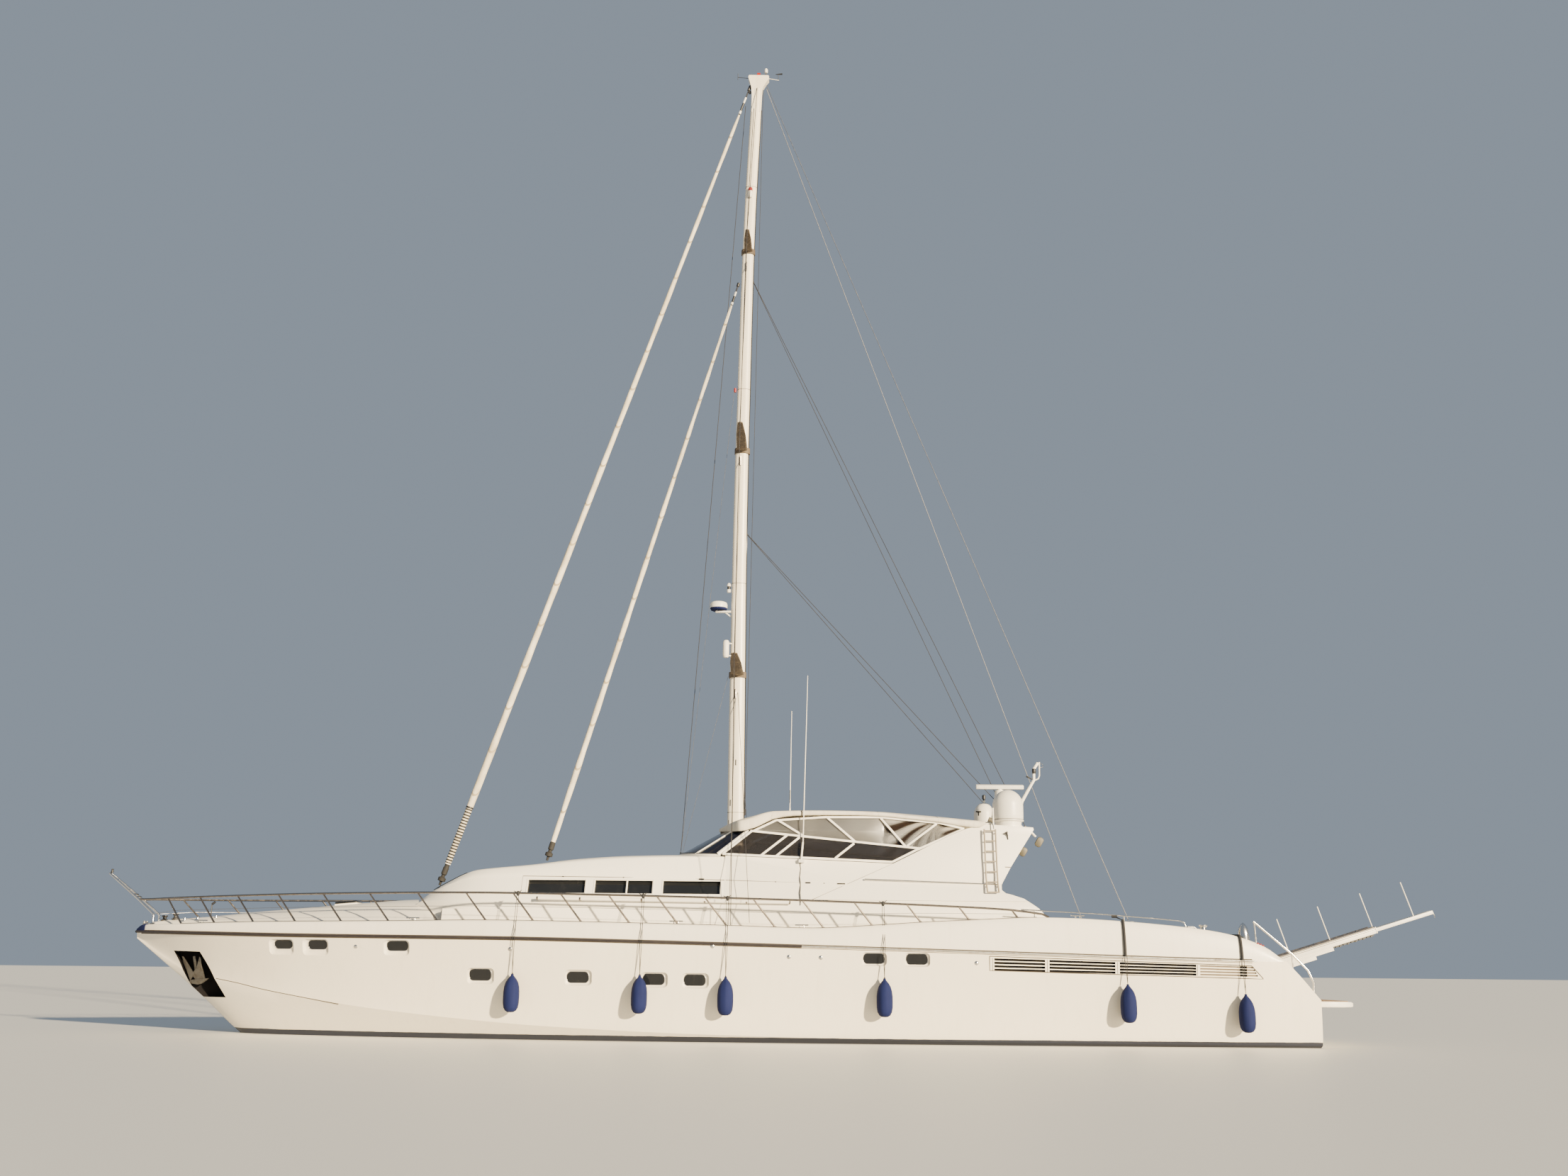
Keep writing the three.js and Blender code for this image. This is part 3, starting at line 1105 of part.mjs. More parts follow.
place("hull", hull, paint(0xf2f0ea, 0.25));
place("ballast_keel", makeKeel(hull), paint(0x14161c, 0.7));
place("swim_platform", makePlatform(), paint(0xf0eee8, 0.35));
place("deck", deck, paint(0xf2f0ea, 0.3));
place("saloon_house", house, paint(0xf4f2ec, 0.25));
placePair("side_wall", side, paint(0xf4f2ec, 0.25));
place("arch_top", makeArchTop(), paint(0xf4f2ec, 0.25));
place("hardtop", makeHardtop(), paint(0xf4f2ec, 0.3));
placePair("window_frame", makeFrame(side), paint(0xeeece6, 0.35));
place("windscreen", makeScreen(), paint(0x1c2226, 0.1));
placePair("lower_glass", makeLowerGlass(), paint(0x2a241e, 0.1));
placePair("upper_clear", makeUpperGlass(), paint(0x9aa0a4, 0.2));
placePair("saloon_glass", makeSaloonPane(), paint(0x0a0c10, 0.1));
place("front_glass", makeFrontPane(), paint(0x0a0c10, 0.1));
place("helm_console", makeConsole(), paint(0xe8e4da, 0.5));
place("companionway_door", makeDoor(), paint(0x8a5a32, 0.4));
place("steering_wheel", makeWheel(), paint(0x2a2a2a, 0.4));
place("helm_seat", makeHelmSeat(), paint(0x8c6a4a, 0.6));
place("helm_settee", makeSettee(), paint(0xd8cdb8, 0.7));
place("cockpit_sofa", makeCockpitSofa(), paint(0xd8cdb8, 0.7));
place("sunpad_hatch", makeSunpad(), paint(0xe6e2d8, 0.7));
place("foredeck_hatch", makeHatch(), paint(0xdedcd6, 0.2));
place("arch_ladder", makeLadder(side), paint(0xd8d8d8, 0.3, 0.8));
place("satellite_dome_port", makeDome(PORT_DOME), paint(0xf2f0ea, 0.35));
place("satellite_dome_starboard", makeDome(STARBOARD_DOME), paint(0xf2f0ea, 0.35));
place("radar_scanner", makeScanner(), paint(0xf2f0ea, 0.35));
place("mast", makeMast(), paint(0xefece4, 0.35));
SPREADERS.forEach((row) => place(row.name, makeSpreader(row), paint(0xd8d0c0, 0.5)));
place("mast_radome", makeRadome(), paint(0xf2f0ea, 0.35));
place("genoa_roll", makeRoll(GENOA_STAY, 0.095, 0.976), paint(0xe9e2d2, 0.8));
place("staysail_roll", makeRoll(STAYSAIL_STAY, 0.08, 0.968), paint(0xe9e2d2, 0.8));
placePair("cap_shroud", makeShroud(), paint(0x8e9296, 0.3, 0.9));
placePair("backstay", makeBackstay(), paint(0x8e9296, 0.3, 0.9));
placePair("guard_rail", makeRail(deck), paint(0xc8c8c8, 0.25, 1));
placePair("anchor", makeAnchor(), paint(0xc0c0c0, 0.3, 1));
FENDERS.forEach(([x, z], i) => place("fender_" + (i + 1), makeFender(x, z), paint(0x10182e, 0.7)));
place("passerelle_outer", makeGangOuter(), paint(0xe8e6e0, 0.35));
place("passerelle_inner", makeGangInner(), paint(0xe8e6e0, 0.35));
placePair("propeller", makePropeller(), paint(0xb08d4a, 0.35, 0.9));
placePair("rudder", makeRudder(), paint(0x14161c, 0.7));

export default yacht;
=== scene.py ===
"""Dresses a motor sailing yacht: smooth hull and deck mouldings, glass, rig, rails and fittings."""

import json
import math

import bmesh
import bpy
from bpy.props import FloatProperty, FloatVectorProperty, PointerProperty
from bpy.types import Operator, Panel, PropertyGroup
from mathutils import Matrix, Vector
from mathutils.kdtree import KDTree

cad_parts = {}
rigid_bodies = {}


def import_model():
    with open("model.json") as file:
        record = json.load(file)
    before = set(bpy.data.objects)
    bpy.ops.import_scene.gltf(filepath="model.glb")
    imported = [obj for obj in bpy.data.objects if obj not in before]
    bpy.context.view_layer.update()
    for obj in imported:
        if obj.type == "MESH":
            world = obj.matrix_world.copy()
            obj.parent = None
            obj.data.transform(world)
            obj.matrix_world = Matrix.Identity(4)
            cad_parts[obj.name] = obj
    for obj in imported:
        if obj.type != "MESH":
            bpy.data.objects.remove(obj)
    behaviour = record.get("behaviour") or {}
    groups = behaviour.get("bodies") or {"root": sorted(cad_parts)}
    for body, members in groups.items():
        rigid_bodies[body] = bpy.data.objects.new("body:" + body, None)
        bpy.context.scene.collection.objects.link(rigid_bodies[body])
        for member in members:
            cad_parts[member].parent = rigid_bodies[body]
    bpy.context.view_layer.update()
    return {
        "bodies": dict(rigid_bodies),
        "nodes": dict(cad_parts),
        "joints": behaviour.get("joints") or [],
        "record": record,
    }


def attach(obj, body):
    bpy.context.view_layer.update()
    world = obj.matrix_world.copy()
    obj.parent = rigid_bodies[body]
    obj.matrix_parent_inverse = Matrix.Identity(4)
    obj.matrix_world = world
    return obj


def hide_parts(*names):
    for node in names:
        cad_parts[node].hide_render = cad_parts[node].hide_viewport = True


bl_info = {
    "name": "Motor Sailing Yacht",
    "version": (1, 0, 0),
    "blender": (4, 5, 0),
    "location": "3D View > Sidebar > Yacht",
    "description": "Builds the finished pieces of a motor sailing yacht over its solid model",
    "category": "Add Mesh",
}

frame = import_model()

# Curves of the hull and deck, as (x, value) in metres, the same as in the solid model

BOW = 15.1
TRANSOM = -14.31
DECK_END = -13.5
STEM_AND_KEEL_Z = [
    (15.1, 2.3), (14.18, 1.6), (13.23, 0.86), (12.03, -0.11), (11.0, -0.62), (9.5, -0.95),
    (7.5, -1.13), (4, -1.26), (0, -1.3), (-6, -1.2), (-10, -1.02), (-14.31, -0.8),
]
CHINE_HALF = [
    (15.1, 0.02), (14.2, 0.12), (13.6, 0.32), (12.6, 0.82), (10.3, 1.68), (7.5, 2.3),
    (4, 2.7), (0, 2.9), (-6, 2.95), (-14.31, 2.75),
]
CHINE_Z = [
    (15.1, 2.36), (14.2, 1.78), (13.6, 1.5), (12.6, 1.3), (10.3, 0.93), (7.5, 0.6),
    (4, 0.33), (0, 0.18), (-6, 0.08), (-14.31, 0.05),
]
STRAKE_HALF = [
    (15.1, 0.06), (14.8, 0.33), (14, 0.84), (12.5, 1.5), (10.5, 2.15), (8.5, 2.6),
    (5.5, 3.05), (2.5, 3.25), (-3.5, 3.3), (-9.5, 3.24), (-12.5, 3.12), (-14.31, 2.95),
]
STRAKE_Z = [
    (15.1, 2.46), (12.62, 2.41), (10.26, 2.37), (4.92, 2.33), (1.87, 2.28), (-3.15, 2.18),
    (-7.5, 2.08), (-12.6, 1.97), (-14.31, 1.95),
]
SHEER_Z = [
    (15.1, 2.52), (14.95, 2.61), (14.77, 2.65), (13.61, 2.66), (11.53, 2.7), (7.96, 2.73),
    (5.54, 2.76), (1.99, 2.72), (-0.3, 2.68), (-2.2, 2.64), (-3.78, 2.72), (-4.88, 2.8), (-6.04, 2.86),
    (-7.79, 2.94), (-8.42, 2.93), (-9.64, 2.87), (-11.12, 2.75), (-12.06, 2.62), (-12.98, 2.34),
    (-13.5, 1.99),
]
SIDE_DECK_HALF = [
    (15.1, 0.01), (14.8, 0.1), (14, 0.45), (12.5, 1), (10.5, 1.6), (8.5, 2), (7, 2.15),
    (5, 2.28), (-7.2, 2.3), (-13.5, 2.28),
]
CROWN_Z = [
    (15.1, 2.53), (14.9, 2.66), (14.52, 2.75), (13.13, 2.87), (12.23, 2.97), (10.67, 3.11), (9.11, 3.25),
    (7.7, 3.34), (7.2, 3.3), (6.9, 3.05), (-7.3, 3.05), (-7.5, 2.93), (-8.42, 2.91),
    (-9.64, 2.85), (-11.12, 2.73), (-12.06, 2.6), (-12.98, 2.32), (-13.5, 1.98),
]
FLARE = [(15.1, 1.2), (13, 1.5), (9, 1.25), (4, 0.9), (-4, 0.65), (-14.31, 0.6)]
STERN_SLOPE = [(-13.5, 1.98), (-13.82, 1.65), (-14.31, 1.09)]

WATERLINE_PAINT = 0.12  # the dark bottom paint ends this far above the water

# The saloon house: x, crease half-breadth, shoulder half-breadth and height, roof edge half-breadth
# and height, crown height
HOUSE = [
    (7.7, 1.2, 0.95, 3.2, 0.7, 3.28, 3.34),
    (7.37, 1.45, 1.15, 3.42, 0.9, 3.5, 3.56),
    (6.9, 1.75, 1.45, 3.62, 1.2, 3.72, 3.78),
    (6.47, 1.95, 1.62, 3.76, 1.42, 3.9, 3.98),
    (6.17, 2.05, 1.72, 3.82, 1.55, 3.98, 4.08),
    (5.7, 2.15, 1.82, 3.86, 1.67, 4.03, 4.13),
    (4.84, 2.25, 1.92, 3.87, 1.76, 4.1, 4.21),
    (3.56, 2.3, 1.98, 3.86, 1.82, 4.23, 4.38),
    (2.28, 2.32, 2.0, 3.83, 1.86, 4.32, 4.46),
    (1.07, 2.33, 2.0, 3.81, 1.89, 4.36, 4.48),
    (-0.1, 2.33, 2.0, 3.81, 1.9, 4.37, 4.48),
]
CREASE_Z = 3.25
HOUSE_FOOT = 2.5
WALL = 0.06
SALOON_WINDOWS = [(4.75, 3.33), (3.09, 1.67), (1.41, 0.0)]
WINDOW_LOW, WINDOW_HIGH = 3.45, 3.77

# The hardtop: x, half-width, edge height, crown height
HARDTOP = [
    (0.12, 0.45, 5.15, 5.23), (-0.1, 1.1, 5.11, 5.32), (-0.48, 1.93, 5.06, 5.44),
    (-0.8, 1.93, 5.11, 5.52), (-1.34, 1.9, 5.38, 5.62), (-2.61, 1.89, 5.465, 5.66),
    (-3.98, 1.89, 5.475, 5.64), (-5.47, 1.9, 5.36, 5.54), (-6.6, 1.89, 5.31, 5.42),
]
ROOF_SKIN = 0.06
ROOF_EDGE_LOW = [
    (0.12, 5.12), (-0.46, 5.02), (-0.82, 5.11), (-1.37, 5.35), (-1.85, 5.415), (-2.56, 5.435),
    (-3.21, 5.44), (-3.97, 5.42), (-4.67, 5.36), (-5.38, 5.29), (-5.99, 5.2), (-6.43, 5.16), (-6.6, 5.24),
]
ROOF_EDGE_HIGH = [
    (0.12, 5.19), (-0.2, 5.24), (-0.56, 5.3), (-1.17, 5.5), (-1.3, 5.52), (-2.53, 5.545),
    (-3.21, 5.54), (-3.94, 5.52), (-4.67, 5.45), (-5.5, 5.39), (-6.06, 5.35), (-6.6, 5.31),
]

# The mast: z, centre x, half-length, half-width
MAST = [
    (3.05, -0.3, 0.215, 0.16), (5.3, -0.28, 0.215, 0.16), (12.4, -0.26, 0.19, 0.145),
    (20, -0.33, 0.17, 0.13), (22.7, -0.38, 0.165, 0.125), (26.1, -0.5, 0.16, 0.12),
    (27.72, -0.57, 0.15, 0.11),
]
SPREADERS = [("spreader_lower", 9.35, 2.9), ("spreader_middle", 15.75, 2.3), ("spreader_upper", 21.9, 1.4)]
GENOA_STAY = (Vector((7.43, 0, 3.62)), Vector((-0.2, 0, 27.0)))
STAYSAIL_STAY = (Vector((4.66, 0, 4.28)), Vector((-0.05, 0, 20.75)))

# The photograph's camera
CAMERA = Vector((-1.5, 38.6, 1.75))
CAMERA_PITCH = math.radians(14.6)
CAMERA_ROLL = math.radians(0.55)
FOCAL_PX, PHOTO_WIDTH = 2050, 2212

# The light: a low sun from ahead to port, as it travels from this direction, and a soft sky
SUN_FROM = (-0.8, 1, 0.32)
SUN_COLOUR = (1.0, 0.81, 0.53)
SKY_STRENGTH = 0.62


def curve(points):
    """A smooth curve through (x, value) points that never overshoots between them."""
    rows = sorted(points)
    slope = [(b[1] - a[1]) / (b[0] - a[0]) for a, b in zip(rows, rows[1:])]
    tangent = [slope[0]]
    for before, after in zip(slope, slope[1:]):
        tangent.append(0 if before * after <= 0 else 2 * before * after / (before + after))
    tangent.append(slope[-1])

    def value(x):
        if x <= rows[0][0]:
            return rows[0][1]
        if x >= rows[-1][0]:
            return rows[-1][1]
        i = next(k for k, row in enumerate(rows) if row[0] >= x) - 1
        span = rows[i + 1][0] - rows[i][0]
        t = (x - rows[i][0]) / span
        return (
            rows[i][1] * (1 + 2 * t) * (1 - t) ** 2
            + rows[i + 1][1] * t * t * (3 - 2 * t)
            + span * t * (1 - t) * (tangent[i] * (1 - t) - tangent[i + 1] * t)
        )

    return value


keel_z = curve(STEM_AND_KEEL_Z)
chine_half = curve(CHINE_HALF)
chine_z = curve(CHINE_Z)
strake_half = curve(STRAKE_HALF)
strake_z = curve(STRAKE_Z)
sheer_z = curve(SHEER_Z)
side_deck_half = curve(SIDE_DECK_HALF)
crown_z = curve(CROWN_Z)
flare = curve(FLARE)


def columns(rows):
    """One curve for each column of a table after its first."""
    return [curve([(row[0], row[k]) for row in rows]) for k in range(1, len(rows[0]))]


def measures(curves, x):
    """What each of several curves gives at x."""
    return [part(x) for part in curves]


house_curves, hardtop_curves, mast_curves = columns(HOUSE), columns(HARDTOP), columns(MAST)
roof_low, roof_high = curve(ROOF_EDGE_LOW), curve(ROOF_EDGE_HIGH)


def deck_half(x):
    return max(strake_half(x) - 0.13, strake_half(x) * 0.7)


def hull_y(x, z):
    """Half-breadth of the topsides at a height."""
    t = min(max((z - chine_z(x)) / (strake_z(x) - chine_z(x)), 0), 1)
    return chine_half(x) + (strake_half(x) - chine_half(x)) * t ** flare(x)


def steps(start, end, count):
    return [start + (end - start) * i / count for i in range(count + 1)]


# Shapes

SHARP_EDGE = math.radians(32)  # edges that turn by more than this are softened
HAIR = 0.0004  # a piece that stands on another starts this far above it


def ring(bm, points):
    """A closed loop of edges through points."""
    verts = [bm.verts.new(p) for p in points]
    return [bm.edges.new((a, b)) for a, b in zip(verts, verts[1:] + verts[:1])]


def loft(bm, sections):
    """A skin over closed sections with as many points each, capped at both ends."""
    loops = [ring(bm, section) for section in sections]
    for a, b in zip(loops, loops[1:]):
        bmesh.ops.bridge_loops(bm, edges=a + b)
    bmesh.ops.contextual_create(bm, geom=loops[0])
    bmesh.ops.contextual_create(bm, geom=loops[-1])


def both_sides(half):
    """A whole section from its port half, given from the centreline at the bottom to the top."""
    return half + [(x, -y, z) for x, y, z in reversed(half[1:-1])]


def box(bm, low, high):
    low, high = Vector(low), Vector(high)
    place = Matrix.Translation((low + high) / 2) @ Matrix.Diagonal((*(high - low), 1))
    return bmesh.ops.create_cube(bm, size=1, matrix=place)["verts"]


def aim(direction):
    """A turn that takes +Z to a direction."""
    return Vector(direction).to_track_quat("Z", "Y").to_matrix().to_4x4()


def at(x, y, z):
    """A move from the origin to a place."""
    return Matrix.Translation((x, y, z))


def pitched(degrees):
    """A turn about Y."""
    return Matrix.Rotation(math.radians(degrees), 4, "Y")


def bar(bm, start, end, radius, sides=10, end_radius=None):
    """A round bar between two points."""
    start, end = Vector(start), Vector(end)
    place = Matrix.Translation((start + end) / 2) @ aim(end - start)
    bmesh.ops.create_cone(
        bm, cap_ends=True, segments=sides, radius1=radius,
        radius2=radius if end_radius is None else end_radius,
        depth=(end - start).length, matrix=place,
    )


def tube(bm, points, radius, sides=8):
    """A round bar along a list of points, mitred at its corners."""
    points = [Vector(p) for p in points]
    loops = []
    for i, point in enumerate(points):
        before = (point - points[i - 1]).normalized() if i else Vector()
        after = (points[i + 1] - point).normalized() if i + 1 < len(points) else Vector()
        place = Matrix.Translation(point) @ aim(before + after)
        made = bmesh.ops.create_circle(bm, segments=sides, radius=radius, matrix=place)
        loops.append(list({edge for vert in made["verts"] for edge in vert.link_edges}))
    for a, b in zip(loops, loops[1:]):
        bmesh.ops.bridge_loops(bm, edges=a + b)
    bmesh.ops.contextual_create(bm, geom=loops[0])
    bmesh.ops.contextual_create(bm, geom=loops[-1])


def turned(bm, profile, place=Matrix.Identity(4), count=32):
    """A turned piece about its own Z axis, from (radius, height) points that start and end on it."""
    verts = [bm.verts.new((r, 0, h)) for r, h in profile]
    edges = [bm.edges.new(pair) for pair in zip(verts, verts[1:])]
    bmesh.ops.spin(
        bm, geom=verts + edges, cent=(0, 0, 0), axis=(0, 0, 1), angle=2 * math.pi,
        steps=count, use_merge=True,
    )
    grown = {v for e in edges for v in e.verts}
    frontier = set(grown)
    while frontier:
        frontier = {e.other_vert(v) for v in frontier for e in v.link_edges} - grown
        grown |= frontier
    bmesh.ops.transform(bm, matrix=place, verts=list(grown))
    bmesh.ops.remove_doubles(bm, verts=list(grown), dist=1e-5)


def prism(bm, outline, axis, low, high):
    """A prism of an outline: (y, z) along x, (x, z) along y or (x, y) along z."""
    def spot(a, b, depth):
        return {"x": (depth, a, b), "y": (a, depth, b), "z": (a, b, depth)}[axis]

    loft(bm, [[spot(a, b, low) for a, b in outline], [spot(a, b, high) for a, b in outline]])


def rounded(width, height, radius, count=6):
    """An outline of a rounded rectangle about (0, 0)."""
    corners = [(1, 1, 0), (-1, 1, 90), (-1, -1, 180), (1, -1, 270)]
    points = []
    for sx, sy, start in corners:
        for k in range(count + 1):
            a = math.radians(start + 90 * k / count)
            x = sx * (width / 2 - radius) + radius * math.cos(a)
            points.append((x, sy * (height / 2 - radius) + radius * math.sin(a)))
    return points


def outward(bm):
    bmesh.ops.recalc_face_normals(bm, faces=bm.faces)


def sliced(bm, axis, places):
    """Cuts new edges through a bmesh on planes across an axis, and takes nothing away."""
    normal = Vector([float(name == axis) for name in "xyz"])
    for place in places:
        whole = bm.verts[:] + bm.edges[:] + bm.faces[:]
        bmesh.ops.bisect_plane(bm, geom=whole, plane_co=normal * place, plane_no=normal, dist=1e-5)


def piece(name, bm, materials, body="yacht", nodes=(), sharp=38):
    """A finished piece from a bmesh, riding on a body and standing for CAD nodes."""
    mesh = bpy.data.meshes.new(name)
    bm.to_mesh(mesh)
    bm.free()
    for material in materials if isinstance(materials, (list, tuple)) else [materials]:
        mesh.materials.append(material)
    mesh.shade_smooth()
    mesh.set_sharp_from_angle(angle=math.radians(sharp))
    made = bpy.data.objects.new(name, mesh)
    bpy.context.scene.collection.objects.link(made)
    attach(made, body)
    if nodes:
        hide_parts(*nodes)
    return made


def mirrored(bm):
    """Adds the starboard copy of everything in a bmesh."""
    whole = bm.verts[:] + bm.edges[:] + bm.faces[:]
    bmesh.ops.mirror(bm, geom=whole, matrix=Matrix.Identity(4), merge_dist=0, axis="Y")
    outward(bm)


def pair(name, bm, material, nodes=()):
    """A finished piece that holds its starboard copy too."""
    mirrored(bm)
    return piece(name, bm, material, nodes=nodes)


def carve(target, bm, material):
    """Cuts the closed shapes of a bmesh out of a piece; the cut faces get a material."""
    mesh = bpy.data.meshes.new("cutter")
    outward(bm)
    bm.to_mesh(mesh)
    bm.free()
    mesh.materials.append(material)
    tool = bpy.data.objects.new("cutter", mesh)
    bpy.context.scene.collection.objects.link(tool)
    modifier = target.modifiers.new("Cut", "BOOLEAN")
    modifier.operation = "DIFFERENCE"
    modifier.solver = "EXACT"
    modifier.use_self = True
    modifier.material_mode = "TRANSFER"
    modifier.object = tool
    graph = bpy.context.evaluated_depsgraph_get()
    result = bpy.data.meshes.new_from_object(target.evaluated_get(graph))
    target.modifiers.clear()
    target.data = result
    bpy.data.objects.remove(tool)


def cut_boxes(target, material, *boxes):
    """Cuts boxes out of a piece, each from its low to its high corner."""
    tools = bmesh.new()
    for low, high in boxes:
        box(tools, low, high)
    carve(target, tools, material)


def smooth_again(target, sharp=38):
    target.data.shade_smooth()
    target.data.set_sharp_from_angle(angle=math.radians(sharp))


def merged_copy(bm, node):
    """Adds a copy of a CAD node, with its vertices merged and its flat faces whole."""
    bm.from_mesh(frame["nodes"][node].data)
    bmesh.ops.remove_doubles(bm, verts=bm.verts, dist=2e-4)
    bmesh.ops.dissolve_limit(
        bm, angle_limit=math.radians(1), use_dissolve_boundaries=False,
        verts=bm.verts, edges=bm.edges,
    )


def soften(bm, width, count=2):
    """Rounds the sharp edges of a bmesh."""
    edges = [e for e in bm.edges if len(e.link_faces) == 2 and e.calc_face_angle(0) > SHARP_EDGE]
    bmesh.ops.bevel(
        bm, geom=edges, offset=width, segments=count, profile=0.5, affect="EDGES",
        clamp_overlap=True, material=-1,
    )


def dressed(node, material, width=0.008, body="yacht", count=2):
    """A copy of a CAD node with softened edges, which stands for it."""
    bm = bmesh.new()
    merged_copy(bm, node)
    if width:
        soften(bm, width, count)
    return piece(node + "_finish", bm, material, body, [node], sharp=50)


# Materials


def group(name, **defaults):
    """A shader group for a surface, and the sockets that bring its values in."""
    tree = bpy.data.node_groups.new(name, "ShaderNodeTree")
    for label, default in defaults.items():
        kind = "NodeSocketFloat" if isinstance(default, float) else "NodeSocketColor"
        socket = tree.interface.new_socket(name=label, in_out="INPUT", socket_type=kind)
        socket.default_value = default
    for label, kind in (("Color", "Color"), ("Roughness", "Float"), ("Height", "Float")):
        tree.interface.new_socket(name=label, in_out="OUTPUT", socket_type="NodeSocket" + kind)
    return tree, tree.nodes.new("NodeGroupInput").outputs


def give(tree, colour, roughness, height):
    """Sends a surface's values out of its group."""
    out = tree.nodes.new("NodeGroupOutput")
    for socket, value in zip(out.inputs, (colour, roughness, height)):
        tree.links.new(value, socket)
    return tree


def math_node(tree, operation, first, second=0.0, third=0.0):
    node = tree.nodes.new("ShaderNodeMath")
    node.operation = operation
    for socket, value in zip(node.inputs, (first, second, third)):
        if isinstance(value, (int, float)):
            socket.default_value = value
        else:
            tree.links.new(value, socket)
    return node.outputs[0]


def times(tree, first, second, plus=0.0):
    """The product of two values, plus a third."""
    return math_node(tree, "MULTIPLY_ADD", first, second, plus)


def object_axes(tree):
    """The object coordinates, one socket for each axis."""
    axes = tree.nodes.new("ShaderNodeSeparateXYZ")
    tree.links.new(tree.nodes.new("ShaderNodeTexCoord").outputs["Object"], axes.inputs[0])
    return axes.outputs


def noise(tree, scale, detail=3.0, stretch=(1, 1, 1)):
    """Noise on object coordinates, as a value from 0 to 1."""
    where = tree.nodes.new("ShaderNodeTexCoord").outputs["Object"]
    mapping = tree.nodes.new("ShaderNodeMapping")
    mapping.inputs["Scale"].default_value = stretch
    tree.links.new(where, mapping.inputs["Vector"])
    texture = tree.nodes.new("ShaderNodeTexNoise")
    texture.inputs["Scale"].default_value = scale
    texture.inputs["Detail"].default_value = detail
    tree.links.new(mapping.outputs[0], texture.inputs["Vector"])
    return texture.outputs["Fac"]


def ramp(tree, value, low, high):
    """A value stretched so that low gives 0 and high gives 1."""
    node = tree.nodes.new("ShaderNodeMapRange")
    node.inputs["From Min"].default_value = low
    node.inputs["From Max"].default_value = high
    tree.links.new(value, node.inputs["Value"])
    return node.outputs[0]


def mix(tree, factor, first, second):
    """A colour mixed from two colours or sockets."""
    node = tree.nodes.new("ShaderNodeMix")
    node.data_type = "RGBA"
    for socket, value in ((node.inputs[0], factor), (node.inputs[6], first), (node.inputs[7], second)):
        if hasattr(value, "is_output"):
            tree.links.new(value, socket)
        elif isinstance(value, (int, float)):
            socket.default_value = value
        else:
            socket.default_value = (*value[:3], 1)
    return node.outputs[2]


def base_colour(tree, value):
    tree.links.new(value, tree.nodes["Principled BSDF"].inputs["Base Color"])


def relief(tree, height, strength, distance):
    """Bumps a material's surface by a height."""
    node = tree.nodes.new("ShaderNodeBump")
    node.inputs["Strength"].default_value = strength
    node.inputs["Distance"].default_value = distance
    tree.links.new(height, node.inputs["Height"])
    tree.links.new(node.outputs[0], tree.nodes["Principled BSDF"].inputs["Normal"])


def weather_group():
    """Faint mottling and run-off streaks, as on a painted or moulded surface kept outdoors."""
    tree, given = group(
        "Weathered surface", Color=(0.8, 0.8, 0.8, 1), Stain=(0.4, 0.35, 0.25, 1), Streaks=0.1, Roughness=0.3)
    streaks = ramp(tree, noise(tree, 2.2, 5, (3.2, 3.2, 0.22)), 0.52, 0.78)
    patches = ramp(tree, noise(tree, 0.9, 4), 0.42, 0.72)
    fine = noise(tree, 38, 2)
    amount = times(tree, times(tree, patches, 0.45, streaks), given["Streaks"])
    colour = mix(tree, amount, given["Color"], given["Stain"])
    rough = times(tree, fine, 0.05, times(tree, amount, 0.7, given["Roughness"]))
    return give(tree, colour, rough, times(tree, fine, 0.15, noise(tree, 1.6, 2)))


def weave_group():
    """Crossed threads and soft creases, for cloth, with painted shade in the creases."""
    tree, given = group(
        "Woven cloth", Color=(0.8, 0.75, 0.65, 1), Shade=(0.5, 0.45, 0.38, 1), Threads=180.0, Creases=0.4)
    axes = object_axes(tree)
    across = math_node(tree, "ADD", axes[0], axes[1])
    waves = [math_node(tree, "SINE", times(tree, along, given["Threads"])) for along in (across, axes[2])]
    creases = noise(tree, 5, 4, (1.4, 1.4, 0.5))
    height = times(tree, times(tree, *waves), 0.06, times(tree, creases, given["Creases"]))
    # Painted shade: the cloth darkens towards its Shade colour in the creases
    shade = times(tree, ramp(tree, creases, 0.4, 0.75), 0.6)
    colour = mix(tree, shade, given["Color"], given["Shade"])
    return give(tree, colour, times(tree, creases, 0.15, 0.72), height)


def polish_group():
    """Fine brushing and fingermarks on bare metal."""
    tree, given = group(
        "Handled metal", Color=(0.7, 0.7, 0.7, 1), Tarnish=(0.35, 0.3, 0.24, 1), Amount=0.2, Roughness=0.2)
    brushing = noise(tree, 120, 2, (1, 1, 0.1))
    amount = times(tree, ramp(tree, noise(tree, 9, 4), 0.45, 0.75), given["Amount"])
    colour = mix(tree, amount, given["Color"], given["Tarnish"])
    rough = times(tree, brushing, 0.06, times(tree, amount, 0.5, given["Roughness"]))
    return give(tree, colour, rough, brushing)


WEATHER, WEAVE, POLISH = weather_group(), weave_group(), polish_group()


def finish(name, slot, effect=None, values=None, bump=0.0, **surface):
    """A material: an effect group, if any, feeds a Principled BSDF whose other sockets are given."""
    material = bpy.data.materials.new(name)
    material["record_slot"] = slot
    material.use_nodes = True
    tree = material.node_tree
    shader = tree.nodes["Principled BSDF"]
    for label, value in surface.items():
        shader.inputs[label.replace("_", " ")].default_value = value
    if effect:
        node = tree.nodes.new("ShaderNodeGroup")
        node.node_tree = effect
        for label, value in values.items():
            node.inputs[label].default_value = value
        tree.links.new(node.outputs["Color"], shader.inputs["Base Color"])
        tree.links.new(node.outputs["Roughness"], shader.inputs["Roughness"])
        if bump:
            relief(tree, node.outputs["Height"], bump, 0.01)
    return material


